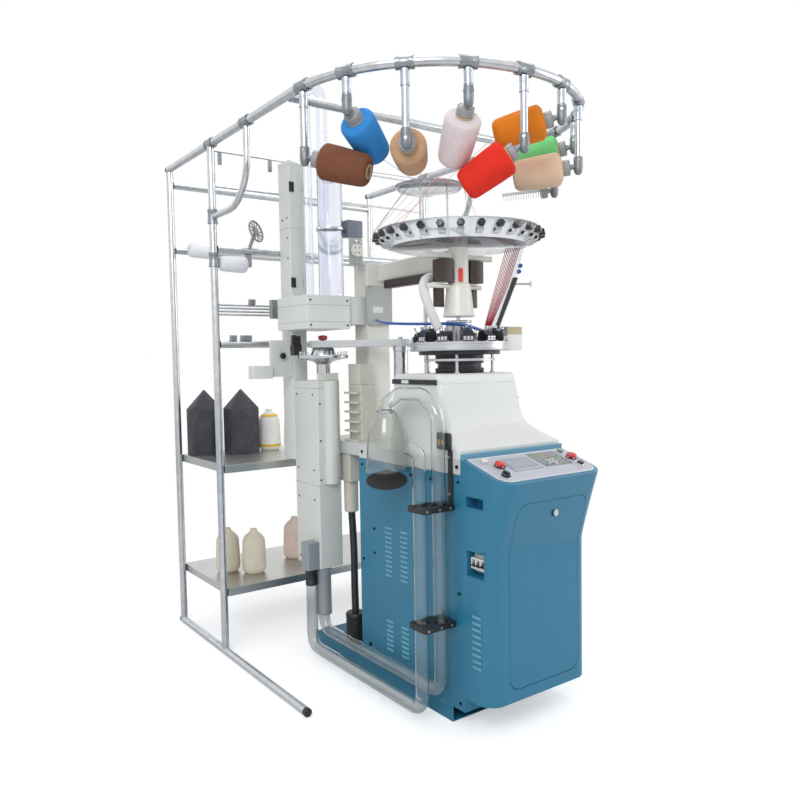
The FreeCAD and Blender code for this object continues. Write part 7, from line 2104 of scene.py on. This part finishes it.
arm_middle = Vector((-0.1, 0.0225, 0.0))
hollow_line = [arm_middle + (Vector((x, y, 0.0)) - arm_middle) * 0.55 + Vector((0, 0, 1.386)) for x, y, z in arm_line]
arm_mesh = carved(pressed_form(arm_line, (0, 0, 0.0294)), ("DIFFERENCE", arm_holes.mesh("arm_holes")),
                  ("DIFFERENCE", pressed_form(hollow_line, (0, 0, 0.02))))
eased(piece("transfer_arm_cast", arm_mesh, arm_grey, "swing_arm", ["transfer_arm"]), 0.0018, 3)
star = Form()
star_line = []
for k in range(60):
    a = 2 * pi * k / 60
    r = 0.019 + 0.0028 * cos(6 * a)
    star_line.append((-0.217 + r * cos(a), 0.15 + r * sin(a), 1.3964))
star.pushed(star_line, (0, 0, 0.0176))
star.turned((-0.217, 0.15, 1.3742), (0, 0, 1), [(0.0, 0.0), (0.0078, 0.0), (0.0078, 0.018), (0.014, 0.022),
            (0.0, 0.0224)], 28)
star.turned((-0.217, 0.15, 1.414), (0, 0, 1), [(0.0, 0.0), (0.01, 0.0), (0.009, 0.0024), (0.0, 0.003)], 28)
star_red = finish("dark_red_moulding", shade(176, 34, 44), gloss=0.28, uneven=0.12, stain=0.2, patch=0.01, coat=0.2)
eased(star.made("star_hand_wheel", star_red, "arm_screw", ["hand_wheel"]), 0.001)

# ------------------------------------------------------------------ toe drives
# Cream cast fins cool the toe drive; a gear box and a round motor hang under
# the bed, with a stepped block on top.
cast_cream = finish("cream_cast_iron", shade(206, 204, 192), gloss=0.42, uneven=0.1, stain=0.3,
                    stain_colour=shade(150, 146, 130), patch=0.05, grain=0.002, relief=0.3)
stack = Form()
plan_block(stack, -0.1216, -0.0454, 0.0004, 0.0996, 0.9554, 1.1996, 0.004)
for k in range(6):
    z = 0.9554 + 0.041 * k
    plan_block(stack, -0.1498, -0.12, 0.0004, 0.0996, z, z + 0.0086, 0.01, 5)
plan_block(stack, -0.1216, -0.0454, 0.0104, 0.0996, 1.2, 1.2896, 0.003)
plan_block(stack, -0.1496, -0.0304, 0.0604, 0.1996, 0.7754, 0.8996, 0.006)
stack.turned((-0.112, 0.11, 0.0), (0, 0, 1), [(0.0, 0.6354), (0.028, 0.6354), (0.0316, 0.64), (0.0316, 0.7752),
             (0.0, 0.7752)], 40)
eased(stack.made("toe_drives_cast", cast_cream, stands_for=["toe_drives"]), 0.0012)

# ------------------------------------------------------------------ suction pipes
# Two bent glass pipes carry the socks from the head to the rear ducts; a
# blown glass bell closes the inner one under its arch.


def bent_route(corners, steps):
    """A pipe's centre line through corners (spot, bend radius), each bent to an arc."""
    spots = [Vector(spot) for spot, _ in corners]
    run = [spots[0]]
    for k in range(1, len(spots) - 1):
        back = (spots[k - 1] - spots[k]).normalized()
        on = (spots[k + 1] - spots[k]).normalized()
        half = (pi - back.angle(on)) / 2
        reach = corners[k][1] * sin(half) / cos(half)
        start, stop = spots[k] + back * reach, spots[k] + on * reach
        for s in range(steps + 1):
            t = s / steps
            run.append(start * (1 - t) ** 2 + spots[k] * 2 * t * (1 - t) + stop * t * t)
    return run + [spots[-1]]


pipe_glass = clear_finish("clear_pipe_glass", shade(252, 254, 253), 0.03, 1.45, 0.03, 0.0, (1.0, 0.66))
pipes = Form()
outer_run = bent_route([((-0.332, -0.613, 1.003), 0), ((-0.3, -0.636, 0.978), 0.03), ((-0.3, -0.636, 0.062), 0.06),
                       ((-0.3, 0.15, 0.062), 0.06), ((-0.3, 0.15, 0.3298), 0)], 9)
inner_run = bent_route([((-0.28, -0.41, 1.1104), 0), ((-0.28, -0.414, 1.142), 0.03), ((-0.266, -0.48, 1.182), 0.06),
                       ((-0.254, -0.6, 1.182), 0.06), ((-0.24, -0.668, 1.12), 0.08), ((-0.24, -0.668, 0.124), 0.06),
                       ((-0.24, 0.15, 0.124), 0.06), ((-0.24, 0.15, 0.1898), 0)], 9)
sleeve(pipes, outer_run, 0.0246, 0.0024)
sleeve(pipes, inner_run, 0.0246, 0.0024)
pipes.made("glass_pipes_clear", pipe_glass, stands_for=["glass_pipes"], crease=50)
bell = Form()
bell_line = [(0.077, 0.8904), (0.0778, 0.8916), (0.0776, 0.895), (0.0768, 0.9), (0.076, 0.92), (0.074, 0.96),
             (0.0705, 1.0), (0.065, 1.04), (0.056, 1.072), (0.046, 1.096), (0.039, 1.109), (0.0345, 1.115),
             (0.03, 1.119), (0.0262, 1.1196)]
bell_inner = [(r - 0.0023, z - (0.0018 if z > 1.05 else 0.0)) for r, z in bell_line[:-2]]
bell.turned((-0.28, -0.41, 0.0), (0, 0, 1), bell_line + [(0.0255, 1.116)] + bell_inner[::-1], 64, ring=True)
bell_glass = clear_finish("blown_bell_glass", shade(240, 242, 239), 0.04, 1.5, 0.12, 0.03, (1.0, 0.45))
bell.made("suction_bell_glass", bell_glass, stands_for=["suction_bell"], crease=50)
collars = Form()
for z in (1.104, 1.113):
    collars.turned((-0.28, -0.41, z), (0, 0, 1), [(0.0252, 0.0), (0.0284, 0.0006), (0.029, 0.0026), (0.0284, 0.0046),
                   (0.0252, 0.0052)], 40, ring=True)
collars.made("bell_neck_rings", tube_clear, crease=60)

# ------------------------------------------------------------------ bell flap
# A black rubber disc closes the bell; its lug turns on a steel pin that is
# fixed to the cabinet's wall.
flap_away = Vector((VIEW_AWAY.x, VIEW_AWAY.y, 0.0)).normalized()
pin_way = Vector((VIEW_RIGHT.x, VIEW_RIGHT.y, 0.0)).normalized()
flap_axis = Vector((-0.28, -0.41, 0.874)) + flap_away * 0.092
flap = Form()
flap.turned((-0.28, -0.41, 0.8822), (0, 0, 1), [(0.0, 0.0), (0.074, 0.0), (0.0776, 0.001), (0.0778, 0.0036),
            (0.074, 0.0046), (0.07, 0.004), (0.05, 0.0038), (0.048, 0.0046), (0.0, 0.0046)], 64)
lug_root = flap_axis - flap_away * 0.025 - Vector((0, 0, 0.0078)) - pin_way * 0.0098
flap.pushed([lug_root, lug_root + flap_away * 0.0345, lug_root + flap_away * 0.0345 + Vector((0, 0, 0.015)),
            lug_root + Vector((0, 0, 0.0205))], pin_way * 0.0196)
flap_bore = Form()
flap_bore.turned(flap_axis - pin_way * 0.02, pin_way, rod_line(0.0043, 0.04), 20)
flap_mesh = carved(flap.mesh("bell_flap_rubber"), ("DIFFERENCE", flap_bore.mesh("flap_bore")))
tip_over = Matrix.Translation(flap_axis) @ Matrix.Rotation(radians(18.0), 4, pin_way) @ Matrix.Translation(-flap_axis)
flap_mesh.transform(tip_over)
rubber = finish("black_rubber_flap", shade(40, 41, 44), gloss=0.62, uneven=0.2, stain=0.35,
                stain_colour=shade(96, 96, 98), patch=0.04, grain=0.0014, relief=0.2)
eased(piece("bell_flap_rubber", flap_mesh, rubber, "flap", ["bell_flap"]), 0.0008)

# ------------------------------------------------------------------ pipe clips
# Black moulded clips hold both pipes off the cabinet with socket screws; a
# strip and a plate with a brass piece are screwed to the wall above them.
clip_blocks = []
for z in (0.37, 0.785):
    bar = Form()
    bar.pushed([(x, y, z - 0.0097) for x, y in soft_corners(-0.3336, -0.1902, -0.7016, -0.6024, 0.012, 6)],
               (0, 0, 0.0194))
    holes = Form()
    for x, y in ((-0.3, -0.636), (-0.24, -0.668)):
        holes.turned((x, y, z - 0.02), (0, 0, 1), rod_line(0.0252, 0.04), 44)
    slots = boxes((-0.3345, -0.32, -0.6367, -0.6353, z - 0.02, z + 0.02), (-0.2408, -0.2392, -0.703, -0.69, z - 0.02,
                  z + 0.02))
    clip_blocks.append(carved(bar.mesh("clip_bar"), ("DIFFERENCE", holes.mesh("clip_holes")), ("DIFFERENCE", slots)))
clips = Form()
for block in clip_blocks:
    clips.add([vertex.co for vertex in block.vertices], [list(face.vertices) for face in block.polygons])
clips.pushed([(x, y, 0.7952) for x, y in soft_corners(-0.1976, -0.1902, -0.6896, -0.6684, 0.002, 3)], (0, 0, 0.19))
clips.pushed([(-0.1902, y, z) for y, z in soft_corners(-0.6836, -0.6144, 0.9854, 1.0446, 0.006, 4)], (-0.0136, 0, 0))
eased(clips.made("pipe_clips_black", black_plastic, stands_for=["pipe_clips"]), 0.0008)
brass = finish("worn_brass", shade(176, 148, 86), gloss=0.3, metal=1.0, uneven=0.25, stain=0.4, patch=0.01)
brass_piece = Form()
brass_piece.turned((-0.2036, -0.656, 1.01), (-1, 0, 0), [(0.0, 0.0), (0.011, 0.0), (0.011, 0.0024), (0.007, 0.0034),
                   (0.0, 0.0038)], 6)
brass_piece.block(-0.206, -0.2036, -0.64, -0.623, 1.0, 1.02)
eased(brass_piece.made("brass_nut_and_tab", brass), 0.0006)
clip_bolts = []
for z in (0.37, 0.785):
    for x, y in ((-0.262, -0.7014), (-0.215, -0.7014), (-0.318, -0.7014)):
        clip_bolts.append((Vector((x, y, z)), aimed((0, -1, 0))))
for z in (0.83, 0.96):
    clip_bolts.append((Vector((-0.1976, -0.679, z)), aimed((-1, 0, 0))))
copied("pipe_clip_screws", screw_head(0.0046, 0.004), clip_bolts, bolt_steel)
flap_pin = Form()
flap_pin.turned(flap_axis - pin_way * 0.014, pin_way, [(0.0, 0.0), (0.0036, 0.0), (0.0039, 0.0006), (0.0039, 0.048),
                (0.0, 0.048)], 20)
flap_pin.made("flap_pin_steel", bolt_steel)

# ------------------------------------------------------------------ pump and hose
# A black drum stands behind the cabinet; its hose rises to the motor, and a
# black socket joins the outer pipe to its duct.
pump = Form()
pump.turned((-0.12, 0.08, 0.0), (0, 0, 1), [(0.0, 0.0604), (0.042, 0.0604), (0.0446, 0.063), (0.0446, 0.07),
            (0.043, 0.072), (0.043, 0.17), (0.0446, 0.172), (0.0446, 0.182), (0.04, 0.1896), (0.0, 0.1898)], 48)
pump.turned((-0.3, 0.15, 0.0), (0, 0, 1), [(0.0, 0.3304), (0.024, 0.3304), (0.0266, 0.333), (0.0266, 0.344),
            (0.0252, 0.346), (0.0252, 0.384), (0.0266, 0.386), (0.0266, 0.396), (0.024, 0.3996), (0.0, 0.3996)], 40)
eased(pump.made("pump_and_socket", black_plastic, stands_for=["rear_hose_and_pump"]), 0.0006)
rear_route = followed("rear_hose_route", ((-0.112, 0.11, 0.637), (-0.108, 0.1, 0.47), (-0.13, 0.07, 0.3),
                      (-0.12, 0.08, 0.186)), 120)
rear_hose = Form()
ribbed_hose(rear_hose, rear_route, 0.0166, 0.006, 0.0016)
hose_black = finish("black_ribbed_hose", shade(38, 39, 42), gloss=0.5, uneven=0.15, stain=0.3,
                    stain_colour=shade(88, 88, 90), patch=0.03, grain=0.001, relief=0.08)
rear_piece = rear_hose.made("rear_hose_ribbed", hose_black, crease=60)

# ------------------------------------------------------------------ air line
# A blue polyurethane air line runs from the control box round the head's
# foot to a cam box.
line_blue = finish("blue_air_line", shade(34, 84, 172), gloss=0.26, uneven=0.08, stain=0.15, patch=0.03, coat=0.2)
air_spots = ((0.0, 0.044, 1.48), (-0.062, -0.06, 1.462), (-0.078, -0.26, 1.448), (-0.038, -0.41, 1.442),
             (-0.022, -0.485, 1.44), (0.012, -0.53, 1.436), (0.05, -0.583, 1.41))
air_line = cord_line("air_line", air_spots, 0.0116)
air_line.materials.append(line_blue)
air_cord = into_scene(bpy.data.objects.new("air_line", air_line))
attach(air_cord, "machine")
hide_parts("air_hose")

# ------------------------------------------------------------------ yarn threads
# From every cone one thread runs taut over the upper disc's rim and down to
# a feeler on the dish.
GUIDE_CENTRE = Vector((0.03, -0.3, 2.0008))
free_tops = []
for k in range(28):
    a = 2 * pi * k / 28
    free_tops.append(HEAD_AXIS + Vector((0.3337 * cos(a), 0.3337 * sin(a), 1.79)))
for k, ((dye, colour), nose) in enumerate(zip(CONE_DYES, CONE_NOSES)):
    ahead = Vector((nose.x - GUIDE_CENTRE.x, nose.y - GUIDE_CENTRE.y, 0.0)).normalized()
    rim_spot = GUIDE_CENTRE + ahead * 0.142
    top = min(free_tops, key=lambda spot: (spot - rim_spot).length)
    free_tops.remove(top)
    end = top + Vector((0.0, 0.0, 0.0008))
    before = rim_spot + (nose - rim_spot).normalized() * 0.01
    after = rim_spot + (end - rim_spot).normalized() * 0.01
    thread = cord_line("thread_" + dye, (nose, before, rim_spot, after, end), 0.0016, 6)
    thread.bevel_resolution = 1
    thread.materials.append(finish("thread_dye_" + dye, colour, gloss=0.8, uneven=0.3, stain=0.2, patch=0.01))
    strand = into_scene(bpy.data.objects.new("thread_" + dye, thread))
    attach(strand, "machine")
    if k == 0:
        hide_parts("yarn_threads")
